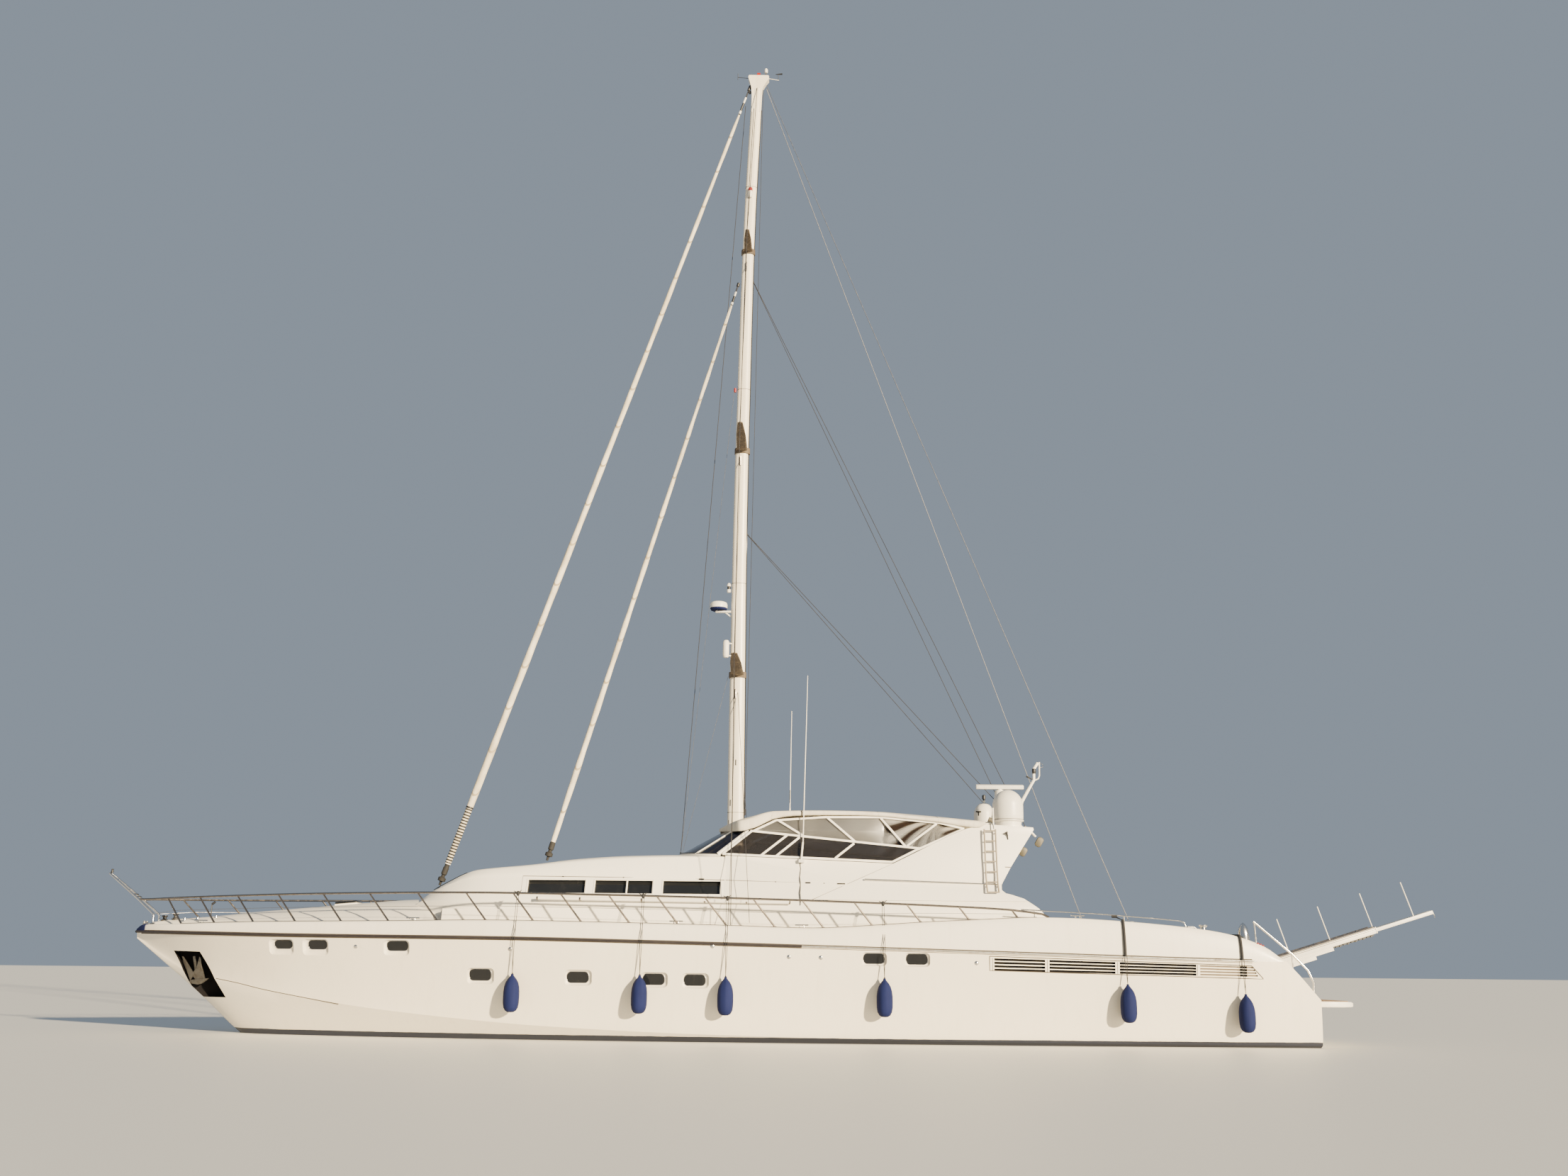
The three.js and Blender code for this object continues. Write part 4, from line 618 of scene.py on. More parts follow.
def weathered(name, slot, colour, stain, streaks, roughness, bump=0.0, **surface):
    """A painted or moulded surface kept outdoors."""
    values = {"Color": (*colour, 1), "Stain": (*stain, 1), "Streaks": streaks, "Roughness": roughness}
    return finish(name, slot, WEATHER, values, bump, **surface)


def woven(name, slot, colour, shade, threads, creases, bump, **surface):
    """Cloth or rope."""
    values = {"Color": (*colour, 1), "Shade": (*shade, 1), "Threads": threads, "Creases": creases}
    return finish(name, slot, WEAVE, values, bump, **surface)


def metal(name, slot, colour, tarnish, amount, roughness, bump=0.0):
    """Bare metal."""
    values = {"Color": (*colour, 1), "Tarnish": (*tarnish, 1), "Amount": amount, "Roughness": roughness}
    return finish(name, slot, POLISH, values, bump, Metallic=1.0)


# Painted and moulded surfaces: colour, stain, how much of it, roughness, bump
GELCOAT = weathered(
    "Gelcoat", "white_gelcoat", (0.83, 0.79, 0.7), (0.5, 0.43, 0.3), 0.12, 0.38, 0.04,
    Coat_Weight=0.35, Coat_Roughness=0.16)
HOUSE_PAINT = weathered(
    "House paint", "white_gelcoat", (0.86, 0.83, 0.75), (0.55, 0.5, 0.4), 0.06, 0.42, 0.03,
    Coat_Weight=0.2, Coat_Roughness=0.25)
# Painted shade: thin dark lines that stand for the shade in grooves, gaps and seams and along edges
SEAM_SHADOW = weathered(
    "Seam shadow", "white_gelcoat", (0.075, 0.058, 0.04), (0.045, 0.036, 0.028), 0.4, 0.75)
SLOT_SHADE = weathered(
    "Slot shade", "white_gelcoat", (0.2, 0.155, 0.105), (0.12, 0.09, 0.06), 0.4, 0.6)
# Painted shade and weathering: the spreaders are dark for the shade on their undersides, with lighter worn
# patches
SPREADER_SHADE_AND_WEAR = weathered(
    "Shaded weathered spreader", "painted_spar", (0.085, 0.062, 0.042), (0.3, 0.24, 0.17), 0.5, 0.7, 0.3)
# Painted shade: the white ladder is coloured a darker beige for the shade on its tubes
LADDER_SHADE = weathered(
    "Ladder in painted shade", "white_plastic", (0.3, 0.26, 0.2), (0.16, 0.13, 0.09), 0.3, 0.4, 0.05)
# Painted reflection: a near-black face on the strake's forward part for the dark surroundings the polished
# strake reflects there
STRAKE_DARK_REFLECTION = weathered(
    "Strake face in painted dark reflection", "black_plastic", (0.016, 0.012, 0.014), (0.05, 0.042, 0.036), 0.3, 0.5, 0.1)
# Painted shade: near-black for the shade inside open slots, pockets and vents
RECESS_SHADE = weathered(
    "Recess shade", "black_plastic", (0.006, 0.005, 0.006), (0.014, 0.012, 0.01), 0.4, 0.7,
    Specular_IOR_Level=0.2)
FLOODLIGHT = weathered(
    "Floodlight casing", "black_plastic", (0.1, 0.09, 0.062), (0.06, 0.05, 0.035), 0.3, 0.5, 0.05)
SPAR = weathered(
    "Spar paint", "painted_spar", (0.78, 0.73, 0.62), (0.42, 0.34, 0.22), 0.2, 0.3, 0.05)
DOME = weathered(
    "Dome moulding", "white_plastic", (0.76, 0.74, 0.68), (0.42, 0.37, 0.28), 0.15, 0.35, 0.05)
TRIM_PLASTIC = weathered(
    "Black plastic", "black_plastic", (0.02, 0.02, 0.022), (0.07, 0.065, 0.06), 0.3, 0.38, 0.08)
RED_LENS = weathered(
    "Red lens", "black_plastic", (0.3, 0.02, 0.015), (0.12, 0.02, 0.015), 0.3, 0.15)
ANTIFOULING = weathered(
    "Antifouling", "antifouling", (0.012, 0.015, 0.03), (0.06, 0.09, 0.05), 0.5, 0.7, 0.2)

# Glass
TINTED = weathered(
    "Tinted glass", "dark_glass", (0.16, 0.15, 0.155), (0.12, 0.1, 0.09), 0.2, 0.02,
    IOR=1.35, Transmission_Weight=0.92)
SCREEN_GLASS = weathered(
    "Screen glass", "dark_glass", (0.012, 0.014, 0.035), (0.04, 0.04, 0.05), 0.2, 0.04,
    IOR=1.35, Transmission_Weight=0.6)
BLACK_GLASS = weathered(
    "Black glass", "dark_glass", (0.008, 0.009, 0.011), (0.05, 0.05, 0.05), 0.1, 0.03,
    Specular_IOR_Level=0.35, Coat_Weight=0.15, Coat_Roughness=0.02)

# Metal: colour, tarnish, how much of it, roughness, bump
STEEL = metal(
    "Polished steel", "polished_steel", (0.72, 0.71, 0.69), (0.3, 0.24, 0.17), 0.35, 0.14, 0.02)
ANCHOR_STEEL = metal(
    "Weathered galvanising", "polished_steel", (0.2, 0.185, 0.16), (0.08, 0.06, 0.045), 0.7, 0.5, 0.1)
# Painted reflection: the rail steel is darkened for the dark surroundings it reflects
RAIL_STEEL_DARK_REFLECTION = metal(
    "Rail steel in painted dark reflection", "polished_steel", (0.26, 0.23, 0.205), (0.1, 0.075, 0.055), 0.5, 0.24, 0.02)
DULL_STEEL = metal(
    "Galvanised steel", "polished_steel", (0.42, 0.42, 0.41), (0.2, 0.15, 0.1), 0.6, 0.42, 0.1)
WIRE = metal("Wire rope", "wire_rope", (0.32, 0.32, 0.33), (0.14, 0.11, 0.08), 0.5, 0.35)
BRONZE = metal("Cast bronze", "bronze", (0.55, 0.38, 0.16), (0.16, 0.2, 0.12), 0.6, 0.3, 0.05)

# Cloth and rope: colour, colour of the painted shade in the creases, threads to the radian, creases, bump
ROOF_CLOTH = woven(
    "Hardtop skin", "white_gelcoat", (0.72, 0.68, 0.58), (0.52, 0.47, 0.38), 700.0, 0.25, 0.15)
DARK_WIRE = woven("Dark rope", "wire_rope", (0.02, 0.02, 0.026), (0.06, 0.055, 0.05), 1100.0, 0.3, 0.2)
BLACK_ROPE = woven(
    "Black lanyard", "navy_cover", (0.015, 0.015, 0.018), (0.04, 0.04, 0.04), 900.0, 0.3, 0.3)
NAVY = woven(
    "Fender cover", "navy_cover", (0.006, 0.011, 0.06), (0.012, 0.018, 0.08), 420.0, 0.8, 0.35,
    Specular_IOR_Level=0.2)
CREAM = woven(
    "Cream upholstery", "cream_upholstery", (0.72, 0.66, 0.53), (0.5, 0.43, 0.32), 300.0, 0.5, 0.3)
TAN = woven(
    "Brown upholstery", "cream_upholstery", (0.28, 0.12, 0.06), (0.16, 0.07, 0.03), 300.0, 0.5, 0.3)
PIPING = woven("Piping", "cream_upholstery", (0.3, 0.25, 0.18), (0.2, 0.16, 0.11), 600.0, 0.3, 0.2)

PLANK = 0.055


def teak_material():
    """Narrow planks with dark caulking between them."""
    material = finish("Laid teak", "varnished_wood", Roughness=0.62)
    tree = material.node_tree
    plank = math_node(tree, "FRACT", times(tree, object_axes(tree)[1], 1 / PLANK))
    caulk = math_node(tree, "LESS_THAN", plank, 0.1)
    grain = ramp(tree, noise(tree, 14, 5, (0.3, 6, 6)), 0.3, 0.7)
    wood = mix(tree, grain, (0.36, 0.24, 0.14), (0.24, 0.15, 0.08))
    base_colour(tree, mix(tree, caulk, wood, (0.015, 0.014, 0.012)))
    return material


def vinyl_material():
    """Clear soft sheet, with painted shade in the hollows of its folds and painted highlights along their
    ridges.
    """
    material = finish("Clear vinyl", "clear_vinyl", IOR=1.4, Transmission_Weight=0.8)
    tree = material.node_tree
    attribute = tree.nodes.new("ShaderNodeAttribute")
    attribute.attribute_name = "fold"
    fold = attribute.outputs["Fac"]
    haze = ramp(tree, noise(tree, 1.7, 3), 0.35, 0.7)
    sheet = mix(tree, haze, (0.48, 0.48, 0.48), (0.385, 0.385, 0.39))
    # Painted shade in the fold hollows, then a painted highlight, near white, along the ridges
    hollows_shaded = mix(tree, ramp(tree, fold, 0.53, 0.75), sheet, (0.07, 0.045, 0.03))
    base_colour(tree, mix(tree, ramp(tree, fold, 0.47, 0.25), hollows_shaded, (0.95, 0.93, 0.9)))
    gathered = math_node(tree, "ABSOLUTE", math_node(tree, "SUBTRACT", fold, 0.5))
    dull = math_node(tree, "MAXIMUM", times(tree, gathered, -1.5, 0.3), 0.1)
    tree.links.new(dull, tree.nodes["Principled BSDF"].inputs["Roughness"])
    relief(tree, noise(tree, 2.4, 2, (0.9, 1, 3.4)), 0.1, 0.02)
    return material


def furled_material(name, stay, dark_to, bands_to):
    """Rolled sail with its seams wound round the stay, dark bands up to a height, and painted shade in its
    creases.
    """
    material = finish(name, "sailcloth", Roughness=0.8)
    tree = material.node_tree
    foot, head = stay
    along_stay = (head - foot).normalized()
    dot = tree.nodes.new("ShaderNodeVectorMath")
    dot.operation = "DOT_PRODUCT"
    dot.inputs[1].default_value = along_stay
    tree.links.new(tree.nodes.new("ShaderNodeTexCoord").outputs["Object"], dot.inputs[0])
    up = math_node(tree, "SUBTRACT", dot.outputs["Value"], foot.dot(along_stay))
    across = object_axes(tree)[1]
    phase = times(tree, across, 3, times(tree, up, 82))
    band = math_node(tree, "GREATER_THAN", math_node(tree, "SINE", phase), -0.1)
    banded = times(tree, band, math_node(tree, "LESS_THAN", up, bands_to))
    dark = math_node(tree, "MAXIMUM", banded, math_node(tree, "LESS_THAN", up, dark_to))
    seam = math_node(tree, "SINE", times(tree, across, 9, times(tree, up, 5.2)))
    creases = noise(tree, 3.5, 4, (1, 2.5, 0.6))
    # Painted shade: the cloth is darker in its creases
    cloth = mix(tree, ramp(tree, creases, 0.35, 0.75), (0.78, 0.72, 0.58), (0.52, 0.45, 0.32))
    seamed = mix(tree, math_node(tree, "GREATER_THAN", seam, 0.985), cloth, (0.4, 0.33, 0.22))
    base_colour(tree, mix(tree, dark, seamed, (0.02, 0.019, 0.018)))
    relief(tree, times(tree, seam, 0.35, creases), 0.7, 0.02)
    return material


def hull_material():
    """Gelcoat above the waterline and bottom paint below it, by height."""
    material = weathered(
        "Hull gelcoat", "white_gelcoat", (0.85, 0.79, 0.66), (0.52, 0.45, 0.32), 0.1, 0.3, 0.04,
        Coat_Weight=0.4, Coat_Roughness=0.1)
    tree = material.node_tree
    shader = tree.nodes["Principled BSDF"]
    edge = times(tree, noise(tree, 3, 3), 0.02, WATERLINE_PAINT)
    below = math_node(tree, "LESS_THAN", object_axes(tree)[2], edge)
    topsides = shader.inputs["Base Color"].links[0].from_socket
    base_colour(tree, mix(tree, below, topsides, (0.014, 0.017, 0.032)))
    gloss = shader.inputs["Roughness"].links[0].from_socket
    tree.links.new(times(tree, below, 0.5, gloss), shader.inputs["Roughness"])
    return material


HULL_PAINT = hull_material()
TEAK = teak_material()
VINYL = vinyl_material()


# Settings that a user may change


class YachtSettings(PropertyGroup):
    rail_radius: FloatProperty(
        name="Rail radius", description="Radius of the guard rail tube", default=0.026, unit="LENGTH")
    wire_radius: FloatProperty(
        name="Wire radius", description="Radius of the running backstays and the inner stay",
        default=0.009, unit="LENGTH")
    sky: FloatVectorProperty(
        name="Backdrop", description="Colour of the light from all round", subtype="COLOR",
        default=(0.42, 0.5, 0.6), min=0, max=1)
    floor: FloatVectorProperty(
        name="Floor", description="Colour of the floor", subtype="COLOR",
        default=(0.72, 0.72, 0.7), min=0, max=1)
    key_light: FloatProperty(
        name="Key light", description="Strength of the low warm light", default=15.0, min=0)


class YachtOperator(Operator):
    """Makes one group of the yacht's pieces."""

    bl_options = {"REGISTER", "UNDO"}

    def execute(self, context):
        self.build(context.scene.yacht)
        return {"FINISHED"}


# Hull

HULL_SECTIONS = steps(BOW, 12, 16) + steps(12, DECK_END, 86)[1:] + steps(DECK_END, TRANSOM, 10)[1:]

# Each porthole's scoop and the pane at its bottom, as (front, back, low, high)
PORTHOLES = [
    ((11.05, 10.38, 1.92, 2.29), (10.92, 10.42, 2.06, 2.275)),
    ((10.14, 9.46, 1.91, 2.29), (10.01, 9.5, 2.05, 2.275)),
    ((8.04, 7.39, 1.92, 2.28), (7.98, 7.43, 2.03, 2.265)),
    ((5.96, 5.3, 1.28, 1.65), (5.92, 5.38, 1.36, 1.63)),
    ((3.6, 2.95, 1.27, 1.63), (3.56, 3.03, 1.33, 1.59)),
    ((1.79, 1.15, 1.24, 1.59), (1.75, 1.23, 1.3, 1.56)),
    ((0.82, 0.18, 1.23, 1.58), (0.78, 0.26, 1.29, 1.55)),
    ((-3.41, -4.01, 1.78, 2.09), (-3.45, -3.96, 1.83, 2.07)),
    ((-4.42, -5.03, 1.77, 2.09), (-4.46, -4.98, 1.82, 2.07)),
]
SCOOP_DEPTH = 0.08
HULL_FITTINGS = [(-1.7, 1.97), (-2.45, 1.96), (0.11, 2.2), (4.92, 2.09), (8.75, 2.12), (-6.12, 1.87)]

# The engine room's air intakes: a panel with three bays of open slots and one of blind slots
INTAKE_PANEL = [(-6.43, 2.03), (-6.43, 1.705), (-12.92, 1.567), (-12.9, 1.6), (-12.65, 1.867)]
SLOT_BAYS = [(-6.54, -7.74), (-7.84, -9.4), (-9.5, -11.32), (-12.37, -12.54)]
BLIND_BAYS = [(-11.41, -12.37), (-12.54, -12.7)]
SLOT_ROWS = 4
SLOT_HALF = 0.026
SLOT_DEPTH = 0.075
INTAKE_POSTS = [-6.5, -7.79, -9.45, -11.35]

POCKET = [(13.96, 2), (13.12, 1.98), (12.42, 0.87), (13.26, 0.87), (13.5, 1.06)]
CHINE_LINE = [(12.66, 1.33), (12.04, 1.235), (11.28, 1.09), (10.38, 0.95), (9.2, 0.77)]
slope_z = curve(STERN_SLOPE)

# Boxes that are open in both hull and deck
GARAGE = ((-12.6, -1.3, 1.2), (-10.9, 1.3, 4))
GANGWAY_POCKET = ((-13.9, 0.5, 1.58), (-13.3, 1, 4))


def hull_section(x):
    zc, yc, keel = chine_z(x), chine_half(x), keel_z(x)
    top = strake_z(x) if x > DECK_END else slope_z(x)
    bottom = [(x, yc * s, keel + (zc - keel) * s**1.45) for s in steps(0, 1, 8)]
    side = []
    for s in steps(0, 1, 14)[1:]:
        z = zc + (top - zc) * s**1.3
        side.append((x, hull_y(x, z), z))
    return both_sides(bottom + side + [(x, 0, top)])


def on_hull(x, z, out=0.0):
    """A point on the port topsides, or this far outside them."""
    return Vector((x, hull_y(x, z) + out, z))


def hull_frame(x, z):
    """The place of a fitting on the port topsides: along, up and out."""
    along = (on_hull(x + 0.1, z) - on_hull(x - 0.1, z)).normalized()
    up = (on_hull(x, z + 0.05) - on_hull(x, z - 0.05)).normalized()
    out = up.cross(along).normalized()
    if out.y < 0:
        out = -out
    turn = Matrix((along, up, out)).transposed().to_4x4()
    return Matrix.Translation(on_hull(x, z)) @ turn


def panel(front, back, low, high, radius=0.1):
    """An outline of (x, z) with round corners."""
    radius = min(radius, (high - low) / 2.05)
    return [
        ((front + back) / 2 + a, (low + high) / 2 + b)
        for a, b in rounded(front - back, high - low, radius)
    ]


def along_hull(bm, line, half, out, depth, count=8):
    """A strip that follows the topsides along a line of (x, z), from outside them to inside."""
    (x0, z0), (x1, z1) = line
    sections = []
    for t in steps(0, 1, count):
        x, z = x0 + (x1 - x0) * t, z0 + (z1 - z0) * t
        outer, inner = hull_y(x, z) + out, hull_y(x, z) - depth
        low, high = z - half, z + half
        sections.append([(x, outer, low), (x, outer, high), (x, inner, high), (x, inner, low)])
    loft(bm, sections)


def slot_z(x, row):
    """The height of an intake slot's middle; the rows slope and draw together aft."""
    top = 1.958 + (x + 6.56) * 0.0213
    low = 1.722 + (x + 6.56) * 0.0133
    return top + (low - top) * row / (SLOT_ROWS - 1)


class MakeHull(YachtOperator):
    """Hull skin with its portholes, air intakes, pockets and stern steps."""

    bl_idname = "yacht.hull"
    bl_label = "Hull"

    def build(self, settings):
        bm = bmesh.new()
        loft(bm, [hull_section(x) for x in HULL_SECTIONS])
        outward(bm)
        hull = piece("hull_skin", bm, [HULL_PAINT, RECESS_SHADE], nodes=["hull"], sharp=24)
        self.scoops(hull)
        self.dark_openings(hull)
        self.blind_slots(hull)
        cut_boxes(hull, HULL_PAINT, GARAGE, GANGWAY_POCKET)
        tools = bmesh.new()
        for x, z in ((-13.62, 1.74), (-13.95, 1.42)):
            box(tools, (TRANSOM - 0.2, 1.6, z), (x, 2.25, 3))
        mirrored(tools)
        carve(hull, tools, HULL_PAINT)
        smooth_again(hull, 24)
        self.lines()

    def scoops(self, hull):
        tools = bmesh.new()
        for scoop, pane in PORTHOLES:
            outer, inner = panel(*scoop), panel(*pane)
            middle = [((a + c) / 2, (b + d) / 2) for (a, b), (c, d) in zip(outer, inner)]
            rows = ((outer, 0.03), (outer, -0.001), (middle, -SCOOP_DEPTH * 0.75), (inner, -SCOOP_DEPTH))
            loft(tools, [[on_hull(x, z, out) for x, z in outline] for outline, out in rows])
        mirrored(tools)
        carve(hull, tools, HULL_PAINT)

    def slots(self, tools, bays, half, depth, count, slant=0.0):
        """One slot in each row of each bay; the aftmost bay's lower rows may reach further aft."""
        for front, back in bays:
            for row in range(SLOT_ROWS):
                end = back - slant * row if back < -12.5 else back
                line = [(front, slot_z(front, row)), (end, slot_z(end, row))]
                along_hull(tools, line, half, 0.03, depth, count)

    def dark_openings(self, hull):
        # The open intake slots and the anchor pocket are lined with painted shade
        tools = bmesh.new()
        self.slots(tools, SLOT_BAYS, SLOT_HALF, SLOT_DEPTH, 8)
        prism(tools, POCKET, "y", 0.06, 3)
        mirrored(tools)
        carve(hull, tools, RECESS_SHADE)

    def blind_slots(self, hull):
        tools = bmesh.new()
        self.slots(tools, BLIND_BAYS, 0.018, 0.03, 3, slant=0.03)
        mirrored(tools)
        carve(hull, tools, SLOT_SHADE)

    def lines(self):
        """Painted shade lines along the panel gaps and along the fine knuckle that runs aft from the anchor
        pocket.
        """
        bm = bmesh.new()
        outline = []
        for (x0, z0), (x1, z1) in zip(INTAKE_PANEL, INTAKE_PANEL[1:] + INTAKE_PANEL[:1]):
            for t in steps(0, 1, max(2, int(abs(x1 - x0) * 3)))[:-1]:
                outline.append(on_hull(x0 + (x1 - x0) * t, z0 + (z1 - z0) * t, 0.001))
        tube(bm, outline + outline[:1], 0.01, 6)
        for x in INTAKE_POSTS:
            tube(bm, [on_hull(x, slot_z(x, row), 0) for row in (-0.4, 1.5, 3.4)], 0.006, 6)
        fine = curve(CHINE_LINE)
        tube(bm, [on_hull(x, fine(x), 0) for x in steps(12.66, 9.2, 16)], 0.009, 6)
        pair("hull_lines", bm, SEAM_SHADOW)


STRAKE_END = -12.67
DARK_FACE_FROM = -2.0  # forward of this the strake has a dark face, a painted dark reflection of the polished metal


def strake_point(x, up=0.0, out=0.0):
    return Vector((x, strake_half(x) + out, strake_z(x) + 0.01 + up))


class MakeStrake(YachtOperator):
    """Rubbing strake round the hull: bright metal, with a dark face forward that is a painted dark
    reflection, and painted shade lines along its edges.
    """

    bl_idname = "yacht.strake"
    bl_label = "Rubbing strake"

    def build(self, settings):
        steel, dark_face, seal = bmesh.new(), bmesh.new(), bmesh.new()
        stem = [15.1, 15.05, 14.95, 14.8]
        tube(steel, [strake_point(x) for x in stem + steps(14.6, STRAKE_END, 90)], 0.024, 10)
        tip = [strake_point(STRAKE_END), strake_point(STRAKE_END - 0.12, -0.015, -0.004)]
        bar(steel, *tip, 0.024, 10, 0.004)
        tube(dark_face, [strake_point(x, 0, 0.01) for x in stem + steps(14.6, DARK_FACE_FROM, 60)], 0.033, 8)
        # Painted shade along the seal at the strake's upper and lower edges, where it meets the hull
        for up in (-0.042, 0.036):
            tube(seal, [strake_point(x, up, -0.008) for x in steps(14.9, STRAKE_END, 90)], 0.01, 6)
        bar(dark_face, (15.105, -0.08, 2.47), (15.105, 0.08, 2.47), 0.034, 10)
        pair("rubbing_strake", steel, DULL_STEEL)
        pair("strake_face", dark_face, STRAKE_DARK_REFLECTION)
        pair("strake_seal_shade", seal, SEAM_SHADOW)
        self.stem_cap()
        self.bow_roller()

    def stem_cap(self):
        """The navy cap over the deck's tip."""
        bm = bmesh.new()
        sections = []
        for x in steps(15.1, 14.78, 10):
            skin = [deck_side(x, share, 0.014) for share in steps(0, 1, 6)]
            half = [(point.y, point.z) for point in skin]
            half = [(0, skin[0].z + 0.02)] + half + [(0, skin[-1].z + 0.004)]
            sections.append(both_sides([(x + 0.02, y, z) for y, z in half]))
        loft(bm, sections)
        outward(bm)
        piece("stem_cap", bm, NAVY)

    def bow_roller(self):
        bm = bmesh.new()
        z = sheer_z(14.8)
        box(bm, (14.62, -0.13, z - 0.01), (14.95, 0.13, z + 0.035))
        soften(bm, 0.012, 2)
        for y in (-0.09, 0.09):
            bar(bm, (14.93, y, z), (14.93, y, z + 0.09), 0.02, 10)
        bar(bm, (14.93, -0.09, z + 0.05), (14.93, 0.09, z + 0.05), 0.028, 12)
        piece("bow_roller", bm, DULL_STEEL)


class MakePortholes(YachtOperator):
    """Panes and bright rims in the hull's scoops, and the small round fittings of the topsides."""

    bl_idname = "yacht.portholes"
    bl_label = "Portholes"

    def build(self, settings):
        glass, rims, fittings = bmesh.new(), bmesh.new(), bmesh.new()
        for _, pane in PORTHOLES:
            outline = panel(*pane)
            loft(glass, [[on_hull(x, z, -SCOOP_DEPTH + out) for x, z in outline] for out in (-0.006, 0.004)])
            line = [on_hull(x, z, -SCOOP_DEPTH + 0.004) for x, z in outline]
            tube(rims, line + line[:2], 0.008, 6)
        button = [(0, 0.02), (0.035, 0.016), (0.05, 0.004), (0.05, -0.01), (0, -0.01)]
        for x, z in HULL_FITTINGS:
            turned(fittings, button, hull_frame(x, z), 20)
        pair("porthole_glass", glass, BLACK_GLASS)
        pair("porthole_rims", rims, STEEL)
        pair("hull_fittings", fittings, STEEL)


# Deck

DECK_SECTIONS = (
    steps(BOW, 12, 16) + steps(12, 7.7, 20)[1:] + steps(7.6, 6.8, 6) + steps(6.4, -7.2, 46)
    + steps(-7.3, -7.5, 3) + steps(-7.7, DECK_END, 34)
)


def deck_side(x, share, out=0.0):
    """A point on the deck's rounded outer side, from the strake (0) to its top (1)."""
    z, edge, top = strake_z(x) + HAIR, deck_half(x), sheer_z(x)
    power = 2.2 + 1.4 * (1 - min(max((-x - 1) / 7, 0), 1))
    a = share * math.pi / 2
    reach = strake_half(x) - 0.01 - edge
    across, up = math.cos(a) ** (2 / power), math.sin(a) ** (2 / power)
    return Vector((x, edge + reach * across + out * math.cos(a), z + (top - z) * up + out * math.sin(a)))


def deck_section(x):
    """The deck moulding: a rounded outer side, a flat margin, the side deck and the crown."""
    z = strake_z(x) + HAIR
    edge, top, inner, crown = deck_half(x), sheer_z(x), side_deck_half(x), crown_z(x)
    lip = min(0.1, edge * 0.3)
    side = top - min(0.05, 0.3 * (top - z))
    half = [(0, z)]
    for share in steps(0, 1, 8):
        point = deck_side(x, share)
        half.append((point.y, point.z))
    half += [(edge - 0.5 * lip, top), (edge - lip, top - 0.006), (edge - 1.2 * lip, side)]
    flat = min(inner, edge - 1.3 * lip)
    half.append((flat, side))
    in_house = min(max((7.7 - x) / 0.8, 0), 1)
    if in_house < 1:
        for s in (0.2, 0.4, 0.6, 0.8):
            y = flat * (1 - s)
            rise = (1 - (1 - s) ** 2.2) ** 0.9
            half.append((y, side + (crown - side) * rise))
    else:
        half += [(flat * 0.985, crown), (flat * 0.9, crown), (flat * 0.6, crown), (flat * 0.3, crown)]
    half.append((0, crown))
    return both_sides([(x, y, zz) for y, zz in half])


class MakeDeck(YachtOperator):
    """Deck moulding with its wells, cockpit and walkways."""

    bl_idname = "yacht.deck"
    bl_label = "Deck moulding"

    def build(self, settings):
        bm = bmesh.new()
        loft(bm, [deck_section(x) for x in DECK_SECTIONS])
        outward(bm)
        deck = piece("deck_skin", bm, GELCOAT, nodes=["deck"], sharp=30)
        saloon = ((1.15, -1.95, 1.5), (6.9, 1.95, 4))
        stair = ((0.15, 0.5, 1.5), (1.2, 1.3, 4))
        doorway = ((-7.5, -0.5, 2.62), (-7.05, 0.5, 4))
        cockpit = ((-10.4, -2.2, 2.2), (-7.35, 2.2, 4))
        sunpad = ((-13.7, -1.7, 2.42), (-10.3, 1.7, 4))
        port_walk = ((-13.71, 1.6, 2.2), (-10.31, 2.25, 4.1))
        starboard_walk = ((-13.71, -2.25, 2.2), (-10.31, -1.6, 4.1))
        cut_boxes(deck, HOUSE_PAINT, saloon)
        cut_boxes(deck, GELCOAT, stair, doorway, GARAGE, GANGWAY_POCKET)
        cut_boxes(deck, GELCOAT, cockpit)
        cut_boxes(deck, GELCOAT, sunpad, port_walk, starboard_walk)
        smooth_again(deck, 30)
        coaming = bmesh.new()
        box(coaming, (-0.29, -0.29, -0.2), (0.29, 0.29, 0))
        bmesh.ops.transform(coaming, verts=coaming.verts, matrix=at(9.72, 0, 3.225) @ pitched(5.2))
        soften(coaming, 0.02, 3)
        piece("foredeck_coaming", coaming, GELCOAT)


# House

HOUSE_SECTIONS = [7.7, 7.6, 7.48] + steps(7.37, -0.1, 62)
groove_z = curve([(4.9, 3.862), (0.99, 3.835), (-0.13, 3.802), (-3.12, 3.732)])


def house_section(x, inset=0.0):
    """The house's section, or that of its inside where it is inset by the wall."""
    crease, shoulder, shoulder_z, roof, roof_z, crown = measures(house_curves, x)
    drop = inset * 1.1
    half = [(0, HOUSE_FOOT), (crease - inset, HOUSE_FOOT)]
    crease_z = min(CREASE_Z, shoulder_z - 0.05)
    half.append((crease - inset, crease_z - 0.06 - drop))
    for s in (0.02, 0.08, 0.3, 0.6, 0.92, 1.0):
        y, z = crease + (shoulder - crease) * s, crease_z + (shoulder_z - crease_z) * s
        half.append((y - inset, z - drop))
    for s in (0.08, 0.5, 0.9):
        y, z = shoulder + (roof - shoulder) * s**1.6, shoulder_z + (roof_z - shoulder_z) * s
        half.append((y - inset, z - drop))
    for s in steps(0, 1, 9):
        a = s * math.pi / 2
        y = roof * math.cos(a) ** 0.95 if s < 1 else 0
        z = roof_z + (crown - roof_z) * math.sin(a)
        half.append((max(y - inset * (1 - s), 0), z - drop))
    return both_sides([(x, y, z) for y, z in half])


def house_wall_y(x, z):
    crease, shoulder, shoulder_z = measures(house_curves, x)[:3]
    return crease + (shoulder - crease) * (z - CREASE_Z) / (shoulder_z - CREASE_Z)


